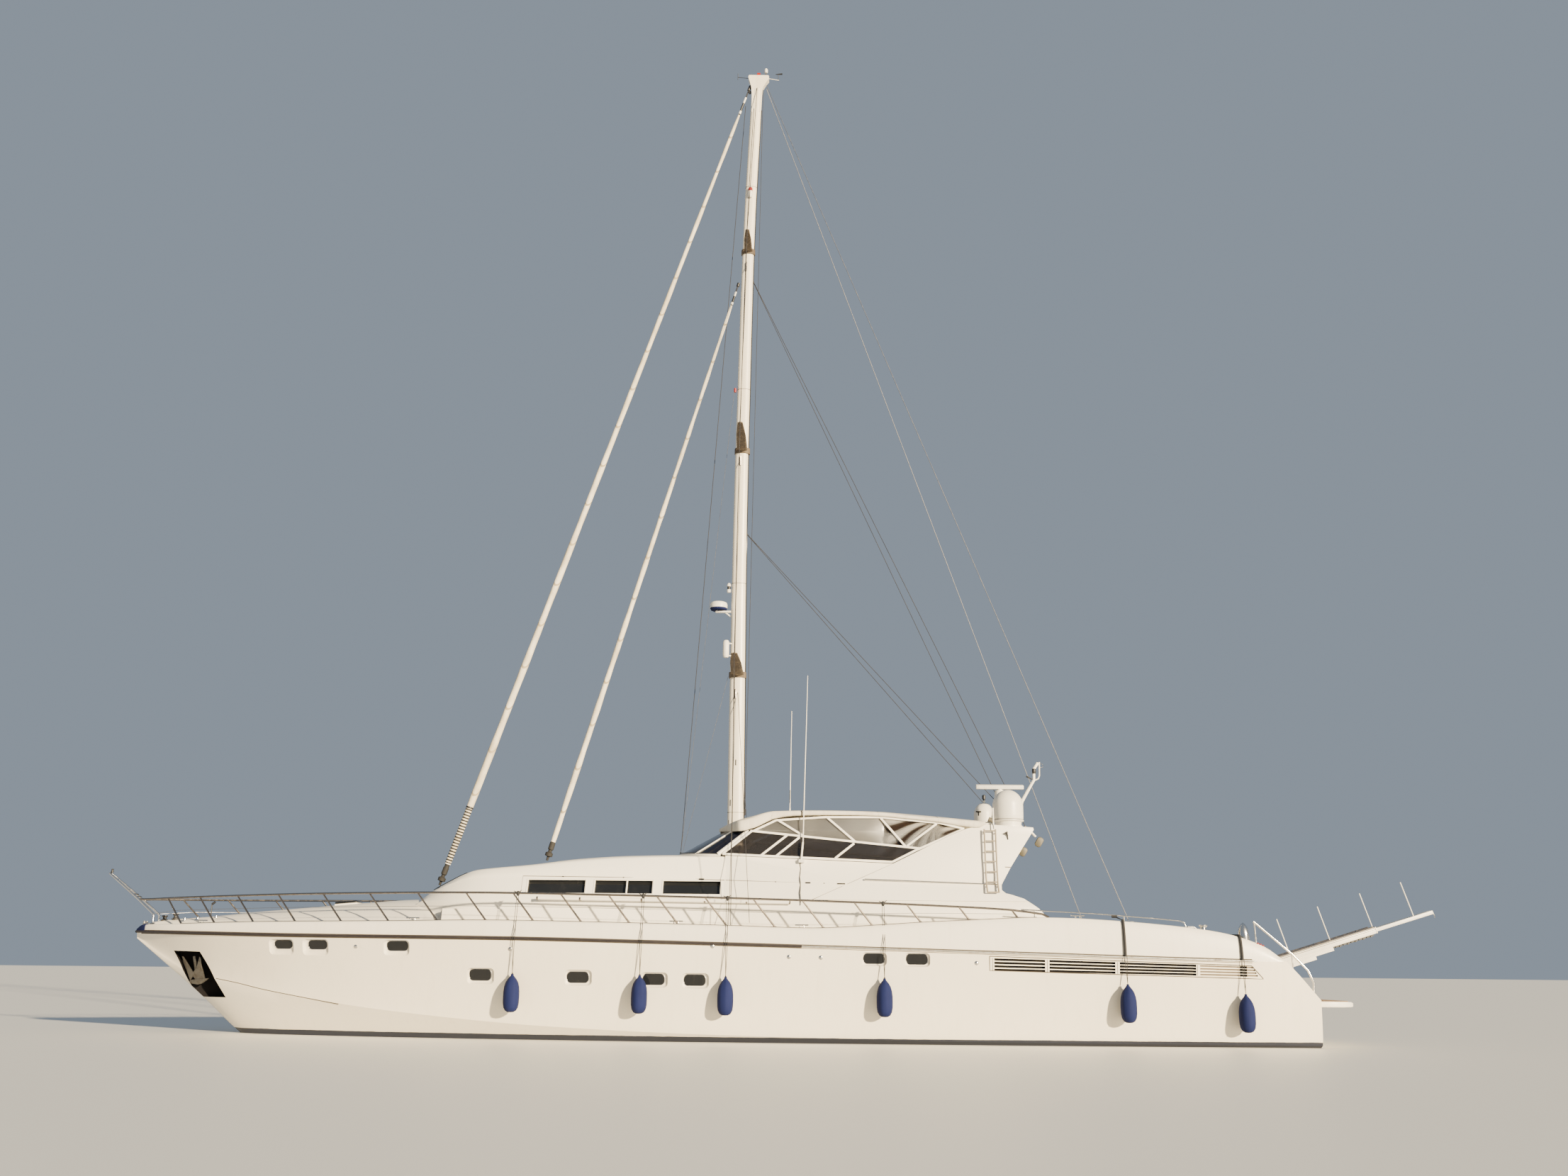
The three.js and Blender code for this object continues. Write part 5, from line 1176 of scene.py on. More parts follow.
class MakeHouse(YachtOperator):
    """Saloon house shell with its windows."""

    bl_idname = "yacht.house"
    bl_label = "Saloon house"

    def build(self, settings):
        bm = bmesh.new()
        loft(bm, [house_section(x) for x in HOUSE_SECTIONS])
        outward(bm)
        house = piece("house_skin", bm, HOUSE_PAINT, nodes=["saloon_house"], sharp=28)
        inner = bmesh.new()
        open_end = [(-0.5, y, z) for _, y, z in house_section(-0.1, WALL)]
        loft(inner, [house_section(x, WALL) for x in steps(7.3, 0, 40)] + [open_end])
        carve(house, inner, HOUSE_PAINT)
        tools = bmesh.new()
        for front, back in SALOON_WINDOWS:
            box(tools, (back, 1.5, WINDOW_LOW), (front, 2.6, WINDOW_HIGH))
        mirrored(tools)
        carve(house, tools, HOUSE_PAINT)
        front_window = ((6.52, -1.05, 3.55), (7.22, 1.05, 5))
        cut_boxes(house, HOUSE_PAINT, front_window)
        tools = bmesh.new()
        foot = [(screen_foot_x(y) - 0.09, y) for y in steps(-1.7, 1.7, 24)]
        prism(tools, [(-0.4, -1.8)] + foot + [(-0.4, 1.8)], "z", 3.95, 5)
        carve(house, tools, HOUSE_PAINT)
        below_deck = ((-0.5, -2.6, 2), (7.8, 2.6, 2.62))
        cut_boxes(house, HOUSE_PAINT, below_deck)
        smooth_again(house, 28)
        # Painted shade: a dark line along the house's groove and a short upright one at its fore end
        groove = bmesh.new()
        line = [(x, house_wall_y(x, groove_z(x)) + 0.001, groove_z(x)) for x in steps(4.9, -0.1, 20)]
        tube(groove, line, 0.009, 6)
        tube(groove, [(4.9, house_wall_y(4.9, z), z) for z in (3.42, 3.6, 3.85)], 0.004, 6)
        pair("house_groove", groove, SEAM_SHADOW)
        self.window_trim()
        for node in ("saloon_glass_port", "saloon_glass_starboard", "front_glass"):
            dressed(node, BLACK_GLASS, 0)
        self.front_pane()

    def front_pane(self):
        """The bonded pane over the front window, standing a little out of the roof."""
        bm = bmesh.new()
        sections = []
        for x in steps(7.36, 6.47, 8):
            roof, roof_z, crown = measures(house_curves, x)[3:]
            half = min(1.12, roof * 0.85)
            roofline = []
            for y in steps(-half, half, 12):
                roofline.append((y, roof_z + (crown - roof_z) * math.sqrt(1 - abs(y / roof) ** 2.1)))
            top = [(x, y, z + 0.03) for y, z in roofline]
            sections.append(top + [(x, y, z - 0.012) for y, z in reversed(roofline)])
        loft(bm, sections)
        outward(bm)
        soften(bm, 0.006, 2)
        piece("front_pane", bm, BLACK_GLASS)

    def window_trim(self):
        """A rim round each saloon window, and the post in the middle one."""
        rims = bmesh.new()
        low, high = WINDOW_LOW - 0.02, WINDOW_HIGH + 0.02
        for front, back in SALOON_WINDOWS:
            front, back = front + 0.02, back - 0.02
            corners = [(front, low), (front, high), (back, high), (back, low)]
            line = [(x, house_wall_y(x, z) + 0.003, z) for x, z in corners]
            tube(rims, line + line[:2], 0.012, 6)
        bar(rims, (2.3, house_wall_y(2.3, 3.44), 3.44), (2.3, house_wall_y(2.3, 3.78) - 0.01, 3.78), 0.02, 8)
        pair("window_rims", rims, HOUSE_PAINT)


# Helm deck

SCREEN_HALF = 1.9

# The sides of the helm deck lean in: height and half-breadth of their outer face
side_lean = curve([(2.3, 2.34), (3.25, 2.33), (3.81, 2.0), (4.4, 1.9), (5.0, 1.85), (5.6, 1.78)])
ARCH_PLATE = 0.031  # the arch stands out of the side walls by this
VENTS = [0.47, -2.16, -2.98]

# Where the clear sheet gathers, as (x, z), and where each gathered bay starts
GATHERS = [((-5.38, 5.29), -4.02), ((-6.12, 5.18), -5.42)]


def screen_foot_x(y):
    return -0.03 + 1.16 * math.sqrt(max(0, 1 - (y / SCREEN_HALF) ** 2))


def screen_section(angle, inward=0.0):
    a = math.radians(angle)
    across, out = math.sin(a), math.cos(a)
    foot = Vector((-0.02 + 1.16 * out, 1.88 * across, 4.44 + 0.1 * out * out))
    top = Vector((-0.74 + 0.8 * out, 1.75 * across, 5.04 + 0.08 * out * out))
    shift = Vector((-out - 0.2, -across, 0)) * inward
    return foot + shift, top + shift


def gather(x, z):
    """How far a fold of the gathered sheet stands out here, from -1 to 1."""
    if x > GATHERS[0][1]:
        return 0.0
    (cx, cz), start = GATHERS[0] if x > GATHERS[1][1] else GATHERS[1]
    reach = math.hypot(x - cx, z - cz)
    turn = math.atan2(cz + 0.04 - z, x - cx + 0.02)
    wave = math.sin(turn * 17 + 1.6 * math.sin(3.1 * reach + cx))
    fade = min(1, (start - x) / 0.25, max(reach - 0.03, 0) / 0.3)
    return wave * fade * max(0.25, 1.15 - turn)


def wall_y(x, z):
    """Half-breadth of the helm deck's side, or of the house forward of it."""
    return side_lean(z) if x < 0 else house_wall_y(x, z)


def on_wall(x, z, out=0.002):
    """A point on the helm deck's port side, or this far outside it."""
    return Vector((x, side_lean(z) + out, z))


class MakeHelmDeck(YachtOperator):
    """Side walls with the arch, window frames, clear panels, screen and hardtop."""

    bl_idname = "yacht.helm_deck"
    bl_label = "Helm deck"

    def build(self, settings):
        for side in ("port", "starboard"):
            dressed("side_wall_" + side, HOUSE_PAINT, 0.012, count=3)
            dressed("window_frame_" + side, HOUSE_PAINT, 0.006)
            dressed("lower_glass_" + side, TINTED, 0)
            self.clear_panels("upper_clear_" + side)
        self.screen()
        self.roof()
        self.seams()

    def clear_panels(self, node):
        """The soft clear sheet: taut forward, gathered into folds in its two aft bays."""
        bm = bmesh.new()
        merged_copy(bm, node)
        sliced(bm, "x", steps(-4.0, -6.3, 46))
        sliced(bm, "z", steps(4.5, 5.5, 34))
        bmesh.ops.triangulate(bm, faces=bm.faces[:])
        fold = bm.verts.layers.float.new("fold")
        for vert in bm.verts:
            depth = gather(vert.co.x, vert.co.z)
            vert[fold] = 0.5 + 0.5 * depth
            vert.co.y -= math.copysign(0.022 + 0.026 * depth, vert.co.y) * (depth != 0)
        sheet = piece(node + "_finish", bm, VINYL, nodes=[node], sharp=70)

    def screen(self):
        bm = bmesh.new()
        sections = []
        for angle in steps(-88, 88, 44):
            foot, top = screen_section(angle)
            foot_in, top_in = screen_section(angle, 0.016)
            sections.append([foot, top, top_in, foot_in])
        loft(bm, sections)
        outward(bm)
        piece("windscreen_glass", bm, SCREEN_GLASS, nodes=["windscreen"])
        frames, edges = bmesh.new(), bmesh.new()
        for angle, width in ((55, 0.02), (85, 0.05)):
            for side in (-1, 1):
                foot, top = screen_section(angle * side, -0.012)
                bar(frames, foot, top, width, 10)
        feet = [screen_section(a, -0.006)[0] for a in steps(-88, 88, 40)]
        tube(frames, [foot - Vector((0, 0, 0.02)) for foot in feet], 0.028, 8)
        feet = [screen_section(a, -0.008)[0] for a in steps(-88, 88, 40)]
        tube(edges, [foot + Vector((0, 0, 0.016)) for foot in feet], 0.012, 6)
        bar(edges, *screen_section(0, -0.01), 0.016, 8)
        piece("screen_pillars", frames, HOUSE_PAINT)
        piece("screen_seal", edges, TRIM_PLASTIC)

    def roof(self):
        """The hardtop: a crowned skin with a deep padded edge all round."""
        bm = bmesh.new()
        sections = []
        for x in steps(0.12, -0.8, 12) + steps(-0.9, -6.6, 46):
            half, edge, crown = measures(hardtop_curves, x)
            low, high = min(roof_low(x), edge - 0.01), max(roof_high(x), edge + 0.01)
            high = min(high, crown - 0.03)
            rise, deep = crown - high, high - low
            half_rows = [
                (0, crown - ROOF_SKIN), (half * 0.4, crown - ROOF_SKIN - rise * 0.1),
                (half * 0.7, edge + (crown - edge) * 0.62 - ROOF_SKIN), (half - 0.06, edge),
                (half - 0.05, low + 0.01), (half - 0.03, low), (half - 0.005, low),
                (half + 0.018, low + deep * 0.12), (half + 0.026, low + deep * 0.35),
                (half + 0.024, low + deep * 0.65), (half + 0.012, low + deep * 0.88), (half - 0.02, high),
            ]
            for s in steps(0.1, 1, 10):
                half_rows.append(((half - 0.02) * (1 - s), high + rise * (1 - (1 - s) ** 2.4)))
            sections.append(both_sides([(x, y, z) for y, z in half_rows[:-1] + [(0, crown)]]))
        loft(bm, sections)
        outward(bm)
        piece("hardtop_skin", bm, ROOF_CLOTH, nodes=["hardtop"], sharp=50)
        self.piping()

    def piping(self):
        """Stitched seams across the hardtop and along its padded edge."""
        bm = bmesh.new()
        for x in (-1.25, -3.92, -5.42):
            half, _, crown = measures(hardtop_curves, x)
            low, high = roof_low(x), roof_high(x)
            line = [(x, half + 0.012, low), (x, half + 0.027, (low + high) / 2), (x, half - 0.018, high)]
            for s in steps(0.1, 1, 8):
                z = high + (crown - high) * (1 - (1 - s) ** 2.4) + 0.001
                line.append((x, (half - 0.02) * (1 - s), z))
            tube(bm, line, 0.004, 6)
        strap = [(-2.0, 5.4), (-2.01, 5.48), (-2.0, 5.55)]
        tube(bm, [(x, 1.93, z) for x, z in strap], 0.012, 6)
        pair("hardtop_seams", bm, SEAM_SHADOW)

    def seams(self):
        """Panel joints, vents filled with painted shade, painted shade lines along the moulded arch's edges,
        and the handrail on the side walls.
        """
        joints, vents, rail = bmesh.new(), bmesh.new(), bmesh.new()
        line = [on_wall(x, 4.295 + (x + 4.3) * 0.038, ARCH_PLATE) for x in steps(-4.5, -7.1, 12)]
        tube(joints, line, 0.005, 6)
        bar(joints, on_wall(-7.05, 4.19, ARCH_PLATE), on_wall(-7.19, 4.185, ARCH_PLATE), 0.014, 8)
        tube(joints, [on_wall(x, groove_z(x)) for x in steps(-0.13, -3.12, 12)], 0.009, 6)
        # Painted shade lines along the fore edge of the arch plate
        fore = ((-2.27, 3.34), (-3.1, 3.72), (-4.28, 4.25), (-4.98, 4.59))
        tube(joints, [on_wall(x, z, 0.004) for x, z in fore], 0.006, 6)
        aft = ((-4.98, 4.61), (-5.6, 4.9), (-6.1, 5.14))
        tube(joints, [on_wall(x, z, 0.004) for x, z in aft], 0.009, 6)
        for x in VENTS:
            z = groove_z(x)
            y, long = wall_y(x, z) + 0.004, 0.1 if x < -2.5 else 0.065
            bar(vents, (x + long, y, z), (x - long, y, z), 0.021, 8)
        for x in (-1.36, -2.56, 2.4, 3.9):
            z = groove_z(x)
            y = wall_y(x, z) + 0.006
            bar(vents, (x + 0.015, y, z), (x - 0.015, y, z), 0.014, 8)
        pair("arch_seams", joints, SEAM_SHADOW)
        pair("side_vents", vents, RECESS_SHADE)
        line = [(x, side_lean(3.8) + 0.07, 3.845 + (x + 3.9) * 0.03) for x in steps(-3.56, -6.83, 10)]
        tube(rail, line, 0.019, 8)
        for x, _, z in line[1::2]:
            bar(rail, on_wall(x, z, 0.07), on_wall(x, z, -0.01), 0.011, 8)
        pair("arch_handrail", rail, STEEL)


# The lower part of a dome's profile, with radii and heights as shares of the dome's own
DOME_BASE = [
    (0, 0), (0.85, 0), (0.86, 0.1), (0.98, 0.125), (1.015, 0.13), (1.015, 0.155), (0.97, 0.16), (0.985, 0.17),
]
DOME_SHOULDER = 0.55
# Each dome: its node, its middle, the height of its foot, its radius and its height
DOMES = [
    ("satellite_dome_port", (-7.28, 1.2), 5.27, 0.39, 0.92),
    ("satellite_dome_starboard", (-6.97, -1), 5.35, 0.27, 0.75),
]
LADDER_RAILS = (-6.56, -6.84)
LADDER_OUT = 0.12  # the ladder stands off the arch by this
LADDER_LOW, RUNG_STEP = 3.56, 0.253


class MakeArch(YachtOperator):
    """Arch top, ladder, domes and radar scanner."""

    bl_idname = "yacht.arch"
    bl_label = "Arch and domes"

    def build(self, settings):
        dressed("arch_top", HOUSE_PAINT, 0.015, count=3)
        self.ladder()
        dressed("radar_scanner", DOME, 0.012, body="radar_scanner", count=3)
        seals = bmesh.new()
        for node, (x, y), foot, radius, height in DOMES:
            bm = bmesh.new()
            profile = DOME_BASE + [(1, DOME_SHOULDER * 0.5)]
            for s in steps(0, 1, 14):
                a = s * math.pi / 2
                rise = DOME_SHOULDER + (1 - DOME_SHOULDER) * math.sin(a)
                profile.append((math.cos(a) if s < 1 else 0, rise))
            turned(bm, [(r * radius, h * height) for r, h in profile], at(x, y, foot + HAIR), 48)
            outward(bm)
            piece(node + "_shell", bm, DOME, nodes=[node])
            reach, z = radius * 0.992, foot + 0.166 * height
            seal = [(x + reach * math.cos(a), y + reach * math.sin(a), z) for a in steps(0, 2 * math.pi, 48)]
            tube(seals, seal, 0.006, 6)
        piece("dome_seals", seals, SEAM_SHADOW)

    def ladder(self):
        """Two rails and seven rungs that stand off the arch's side."""
        bm = bmesh.new()
        front, back = LADDER_RAILS
        for side in (-1, 1):
            for x in LADDER_RAILS:
                line = [(x, side * (side_lean(z) + LADDER_OUT), z) for z in steps(LADDER_LOW, 5.12, 8)]
                tube(bm, line, 0.022, 10)
                for z in (3.7, 5.02):
                    y = side_lean(z)
                    bar(bm, (x, side * (y + LADDER_OUT), z), (x, side * (y + 0.01), z), 0.014, 8)
            for k in range(7):
                z = LADDER_LOW + RUNG_STEP * k
                y = side * (side_lean(z) + LADDER_OUT)
                bar(bm, (front, y, z), (back, y, z), 0.017, 8)
        # The ladder's darker colour is painted shade on white tubes
        piece("arch_ladder_tubes", bm, LADDER_SHADE, nodes=["arch_ladder"])


class MakeAerials(YachtOperator):
    """Whip aerials, lamps, floodlights, horn and the light mast on the arch."""

    bl_idname = "yacht.aerials"
    bl_label = "Aerials and lamps"

    def build(self, settings):
        white, black, grey, bright = bmesh.new(), bmesh.new(), bmesh.new(), bmesh.new()
        self.whips(white, black)
        self.light_mast(white, black, bright)
        self.arch_fittings(white, black, grey, bright)
        piece("aerials_and_brackets", white, DOME)
        piece("lamps_and_leads", black, TRIM_PLASTIC)
        piece("floodlights", grey, FLOODLIGHT)
        piece("bright_fittings", bright, STEEL)

    def whips(self, white, black):
        bar(white, (-1.99, 2.0, 4.3), (-2.03, 1.98, 4.75), 0.024, 10)
        bar(white, (-2.03, 1.98, 4.6), (-2.13, 2.0, 8.97), 0.015, 8, 0.007)
        bar(white, (-1.71, -1.5, 5.55), (-1.72, -1.5, 5.95), 0.02, 10)
        bar(white, (-1.72, -1.5, 5.95), (-1.75, -1.5, 8.65), 0.013, 8, 0.006)
        bar(black, (-1.715, -1.5, 6.1), (-1.72, -1.5, 6.45), 0.015, 8)
        box(white, (-2.07, 1.86, 4.25), (-1.93, 2.03, 4.33))
        lead = [
            (-1.96, 4.25), (-1.98, 4.1), (-1.955, 3.9), (-1.975, 3.7), (-1.96, 3.5), (-1.98, 3.3),
            (-1.97, 3.2),
        ]
        tube(black, [on_wall(x, z, 0.012) for x, z in lead], 0.012, 8)
        bar(white, (-6.81, 1.82, 5.1), (-6.81, 1.82, 5.66), 0.02, 10)

    def light_mast(self, white, black, bright):
        """The raked mast aft of the domes with its lamp and instruments, and the small dome's aerial."""
        head = Vector((-8.18, 0, 6.6))
        bar(white, (-7.44, 0, 5.3), head, 0.035, 12)
        bar(white, head, (-8.19, 0, 6.78), 0.022, 10)
        lens = [
            (0, -0.02), (0.045, -0.02), (0.045, 0), (0.052, 0.01), (0.052, 0.09), (0.035, 0.12), (0, 0.12),
        ]
        turned(black, lens, at(-8.19, 0, 6.79), 20)
        bracket = [(-8.16, 6.58), (-8.24, 6.61), (-8.3, 6.64), (-8.33, 6.72), (-8.34, 7.08)]
        tube(white, [(x, 0, z) for x, z in bracket], 0.018, 8)
        turns = steps(0, 2 * math.pi, 16)
        tube(bright, [(-8.39 + 0.05 * math.cos(a), 0, 6.99 + 0.05 * math.sin(a)) for a in turns], 0.008, 6)
        bar(black, (-8.14, 0, 6.62), (-7.98, 0, 6.7), 0.014, 8, 0.022)
        bar(black, (-8.02, -0.05, 6.69), (-8.02, 0.05, 6.69), 0.012, 8)
        turned(white, [(0, -0.02), (0.035, -0.02), (0.035, 0.07), (0, 0.07)], at(-6.98, -1, 6.09), 20)
        stub = [(0, -0.1), (0.03, -0.1), (0.03, 0.02), (0.05, 0.03), (0.05, 0.12), (0.03, 0.14), (0, 0.14)]
        turned(black, stub, at(-6.98, -1, 6.17), 20)

    def arch_fittings(self, white, black, grey, bright):
        """Floodlights, horn, the two small aerials on the arch top and its handrail."""
        paddle = rounded(0.17, 0.26, 0.07, 5)
        layers = ((-0.05, 0.7), (-0.04, 0.95), (0.0, 1.0), (0.03, 0.96), (0.04, 0.85))
        for y, x in ((1.6, -7.9), (-1.6, -8.02)):
            bar(white, (-7.76, y, 5.12), (x, y, 4.97), 0.03, 10)
            place = at(x - 0.085, y, 4.84) @ pitched(-32)
            loft(grey, [[place @ Vector((a * s, out, b * s)) for a, b in paddle] for out, s in layers])
        y = side_lean(4.95)
        trumpet = [(0, -0.03), (0.018, -0.03), (0.022, 0.0), (0.05, 0.05), (0.058, 0.06), (0, 0.055)]
        turned(black, trumpet, at(-7.13, y + 0.06, 5.0) @ aim((0.55, 0.1, 1)), 20)
        bar(black, (-7.14, y + 0.06, 5.0), (-7.16, y + 0.05, 4.87), 0.014, 8, 0.01)
        bar(bright, (-7.15, y - 0.01, 4.96), (-7.15, y + 0.06, 4.97), 0.014, 8)
        x, y, z = -6.79, -0.73, 5.81
        bar(black, (x + 0.07, y, z + 0.02), (x - 0.07, y, z + 0.02), 0.02, 8)
        bar(black, (x, y, z), (x, y, z - 0.09), 0.018, 8)
        bar(black, (x, y - 0.1, z), (x, y + 0.01, z), 0.018, 8)
        foot = [(0, 0), (0.07, 0), (0.07, 0.03), (0.045, 0.05), (0.045, 0.14), (0, 0.15)]
        turned(grey, foot, at(-7.03, -0.1, 5.3), 20)
        bar(grey, (-7.1, -0.1, 5.5), (-6.96, -0.1, 5.56), 0.075, 16)
        grab = [(-6.62, 1.7, 5.31), (-6.74, 1.86, 5.29), (-6.79, 1.93, 5.22), (-6.8, 1.95, 5.12)]
        tube(bright, grab, 0.014, 8)


# Rig

CRANE = [  # the masthead: height, front and back
    (27.75, -0.3, -0.88), (27.7, -0.28, -0.9), (27.63, -0.29, -0.9), (27.52, -0.33, -0.82),
    (27.35, -0.37, -0.73), (27.1, -0.39, -0.68), (26.5, -0.39, -0.64),
]
MAST_FOOT = 3.0505
MAST_SIDES = 28


def mast_section(z, grow=0.0):
    """The mast's outline at a height: an oval, a little squarer than an ellipse."""
    x, long, wide = measures(mast_curves, z)
    points = []
    for a in steps(0, 2 * math.pi, MAST_SIDES)[:-1]:
        ahead = math.copysign(abs(math.cos(a)) ** 0.85, math.cos(a))
        across = math.copysign(abs(math.sin(a)) ** 0.85, math.sin(a))
        points.append((x + (long + grow) * ahead, (wide + grow) * across, z))
    return points


def on_mast(z, along, across):
    """A point on the mast's skin, at shares of its half-length and half-width."""
    x, long, wide = measures(mast_curves, z)
    return Vector((x + long * along, wide * across, z))


class MakeMast(YachtOperator):
    """Mast, masthead, spreaders and what the mast carries."""

    bl_idname = "yacht.mast"
    bl_label = "Mast and spreaders"

    def build(self, settings):
        bm = bmesh.new()
        loft(bm, [mast_section(z) for z in steps(MAST_FOOT, 26.4, 36) + [26.9, 27.3]])
        outward(bm)
        crane = []
        for z, front, back in CRANE:
            crane.append([(front, -0.1, z), (front, 0.1, z), (back, 0.1, z), (back, -0.1, z)])
        loft(bm, crane)
        outward(bm)
        piece("mast_tube", bm, SPAR, nodes=["mast"])
        for name, _, _ in SPREADERS:
            dressed(name, SPREADER_SHADE_AND_WEAR, 0.006)
        self.radome()
        self.tracks()
        self.boots()
        self.fittings()
        self.masthead()

    def radome(self):
        """The small dome ahead of the mast: pale cap, dark underside, drilled bracket."""
        cap, base, bracket = bmesh.new(), bmesh.new(), bmesh.new()
        place = at(0.28, 0, 11.14)
        dome = [(0, 0.07), (0.235, 0.07), (0.237, 0.16), (0.222, 0.215), (0.17, 0.243), (0, 0.25)]
        turned(cap, dome, place, 36)
        turned(base, [(0, 0), (0.17, 0), (0.215, 0.02), (0.236, 0.068), (0, 0.068)], place, 36)
        box(bracket, (-0.06, -0.05, 11.09), (0.36, 0.05, 11.135))
        for x in (0.02, 0.1, 0.18):
            bar(bracket, (x, -0.052, 11.112), (x, 0.052, 11.112), 0.014, 10)
        bar(bracket, (-0.05, 0, 10.98), (0.1, 0, 11.1), 0.02, 8)
        piece("radome_cap", cap, DOME, nodes=["mast_radome"])
        piece("radome_base", base, NAVY)
        piece("radome_bracket", bracket, DOME)

    def tracks(self):
        bm = bmesh.new()
        for across in (0.97, -0.97):
            tube(bm, [on_mast(z, 0.35, across) for z in steps(3.4, 26.6, 40)], 0.008, 6)
        tube(bm, [on_mast(z, -1.03, 0.0) for z in steps(5.2, 26.6, 40)], 0.02, 6)
        for z in (5.66, 11.9, 17.6, 24.0):
            collar = mast_section(z, 0.004)
            tube(bm, collar + collar[:1], 0.005, 6)
        piece("mast_tracks", bm, TRIM_PLASTIC)

    def boots(self):
        """Flared fairings at the roots of the spreaders, darkened like them with painted shade and
        weathering.
        """
        bm = bmesh.new()
        for _, z, _ in SPREADERS:
            x = mast_curves[0](z) - 0.02
            for side in (-1, 1):
                sections = []
                for k, t in enumerate(steps(0, 1, 8)):
                    long, thick = 0.15 - 0.08 * t**0.55, 0.045 - 0.02 * t
                    outline = []
                    for a in steps(0, 2 * math.pi, 16)[:-1]:
                        rough = 1 + 0.08 * math.sin(3 * a + 2 * k + z)
                        along, up = long * math.cos(a) * rough, thick * math.sin(a) * rough
                        outline.append((x + along, side * (0.05 + 0.4 * t), z + up))
                    sections.append(outline)
                loft(bm, sections)
        outward(bm)
        piece("spreader_roots", bm, SPREADER_SHADE_AND_WEAR)

    def fittings(self):
        """Slots and winches low down, the reflector, and the lamps on the mast's face."""
        dark, white, red = bmesh.new(), bmesh.new(), bmesh.new()
        for x, low, high in (
            (-0.15, 5.83, 5.99), (-0.11, 5.31, 5.46), (-0.27, 6.9, 7.05), (-0.3, 16.4, 16.5),
        ):
            centre, long, wide = measures(mast_curves, low)
            share = min(0.95, abs(x - centre) / long)
            for side in (-1, 1):
                y = side * wide * math.sqrt(1 - share**2) * 1.02
                bar(dark, (x, y, low), (x, y, high), 0.016, 8)
        reflector = [(0, 0), (0.06, 0.01), (0.085, 0.06), (0.085, 0.43), (0.06, 0.48), (0, 0.49)]
        turned(white, reflector, at(0.05, 0.2, 9.79), 20)
        for z in (9.86, 10.2):
            bar(white, (-0.1, 0.12, z), (0.05, 0.2, z), 0.018, 8)
        lamp = at(-0.4, 0.15, 23.62)
        turned(white, [(0, 0), (0.04, 0.0), (0.062, 0.05), (0.062, 0.2), (0, 0.2)], lamp, 16)
        turned(red, [(0, 0.2), (0.062, 0.2), (0.062, 0.29), (0.045, 0.32), (0, 0.32)], lamp, 16)
        bar(red, (-0.06, 0.1, 17.5), (-0.06, 0.1, 17.62), 0.035, 10)
        face = at(0.01, 0.0, 11.66)
        turned(white, [(0, 0), (0.045, 0.0), (0.055, 0.03), (0.055, 0.08), (0, 0.08)], face, 14)
        turned(dark, [(0, 0.08), (0.045, 0.08), (0.045, 0.17), (0, 0.17)], face, 14)
        turned(white, [(0, 0.17), (0.055, 0.17), (0.055, 0.22), (0.03, 0.26), (0, 0.26)], face, 14)
        winch = [(0, 0), (0.07, 0), (0.05, 0.05), (0.05, 0.1), (0.07, 0.13), (0, 0.14)]
        for side in (-1, 1):
            for z in (4.6, 4.95):
                turned(dark, winch, at(*on_mast(z, -0.2, side)) @ aim((0, side, 0)), 16)
        piece("mast_fittings", dark, TRIM_PLASTIC)
        piece("mast_reflector", white, DOME)
        piece("mast_lamps", red, RED_LENS)

    def masthead(self):
        """Top lamp, wands fore and aft, and the wind vane."""
        white, dark, red = bmesh.new(), bmesh.new(), bmesh.new()
        bar(dark, (-0.8, 0, 27.72), (-0.81, 0, 27.9), 0.014, 8)
        lamp = [(0, 0), (0.04, 0), (0.05, 0.02), (0.05, 0.1), (0.03, 0.14), (0, 0.14)]
        turned(white, lamp, at(-0.81, 0, 27.89), 16)
        bar(dark, (-0.3, 0, 27.7), (0.04, 0, 27.73), 0.009, 6)
        bar(dark, (0.04, 0, 27.65), (0.04, 0, 27.86), 0.009, 6)
        bar(white, (-0.86, 0, 27.7), (-1.2, 0, 27.64), 0.01, 6)
        bar(dark, (-1.18, 0, 27.62), (-1.18, 0, 27.84), 0.008, 6)
        bar(dark, (-1.1, 0, 27.84), (-1.3, 0, 27.86), 0.012, 6, 0.03)
        box(red, (-0.64, -0.05, 27.74), (-0.54, 0.05, 27.86))
        for x, z in ((-0.34, 27.4), (-0.33, 27.22)):
            bar(dark, (x, -0.04, z), (x, 0.04, z), 0.04, 10)
        piece("masthead_lamps", white, DOME)
        piece("masthead_instruments", dark, TRIM_PLASTIC)
        piece("masthead_beacon", red, RED_LENS)


DRUM_PROFILE = [
    (0, 0.1), (0.03, 0.1), (0.035, 0.2), (0.1, 0.22), (0.1, 0.3), (0.05, 0.33), (0.05, 0.38),
    (0.075, 0.4), (0.075, 0.56), (0.062, 0.6), (0.062, 0.66),
]
# Each rolled sail: stay, radius, share of the stay it covers, height of its dark foot and of its dark
# bands, and how far its stay runs on above the end
ROLLS = [
    ("genoa_roll", GENOA_STAY, 0.095, 0.976, 0.69, 2.22, 0.44),
    ("staysail_roll", STAYSAIL_STAY, 0.08, 0.968, 0.6, 0.6, 0.19),
]


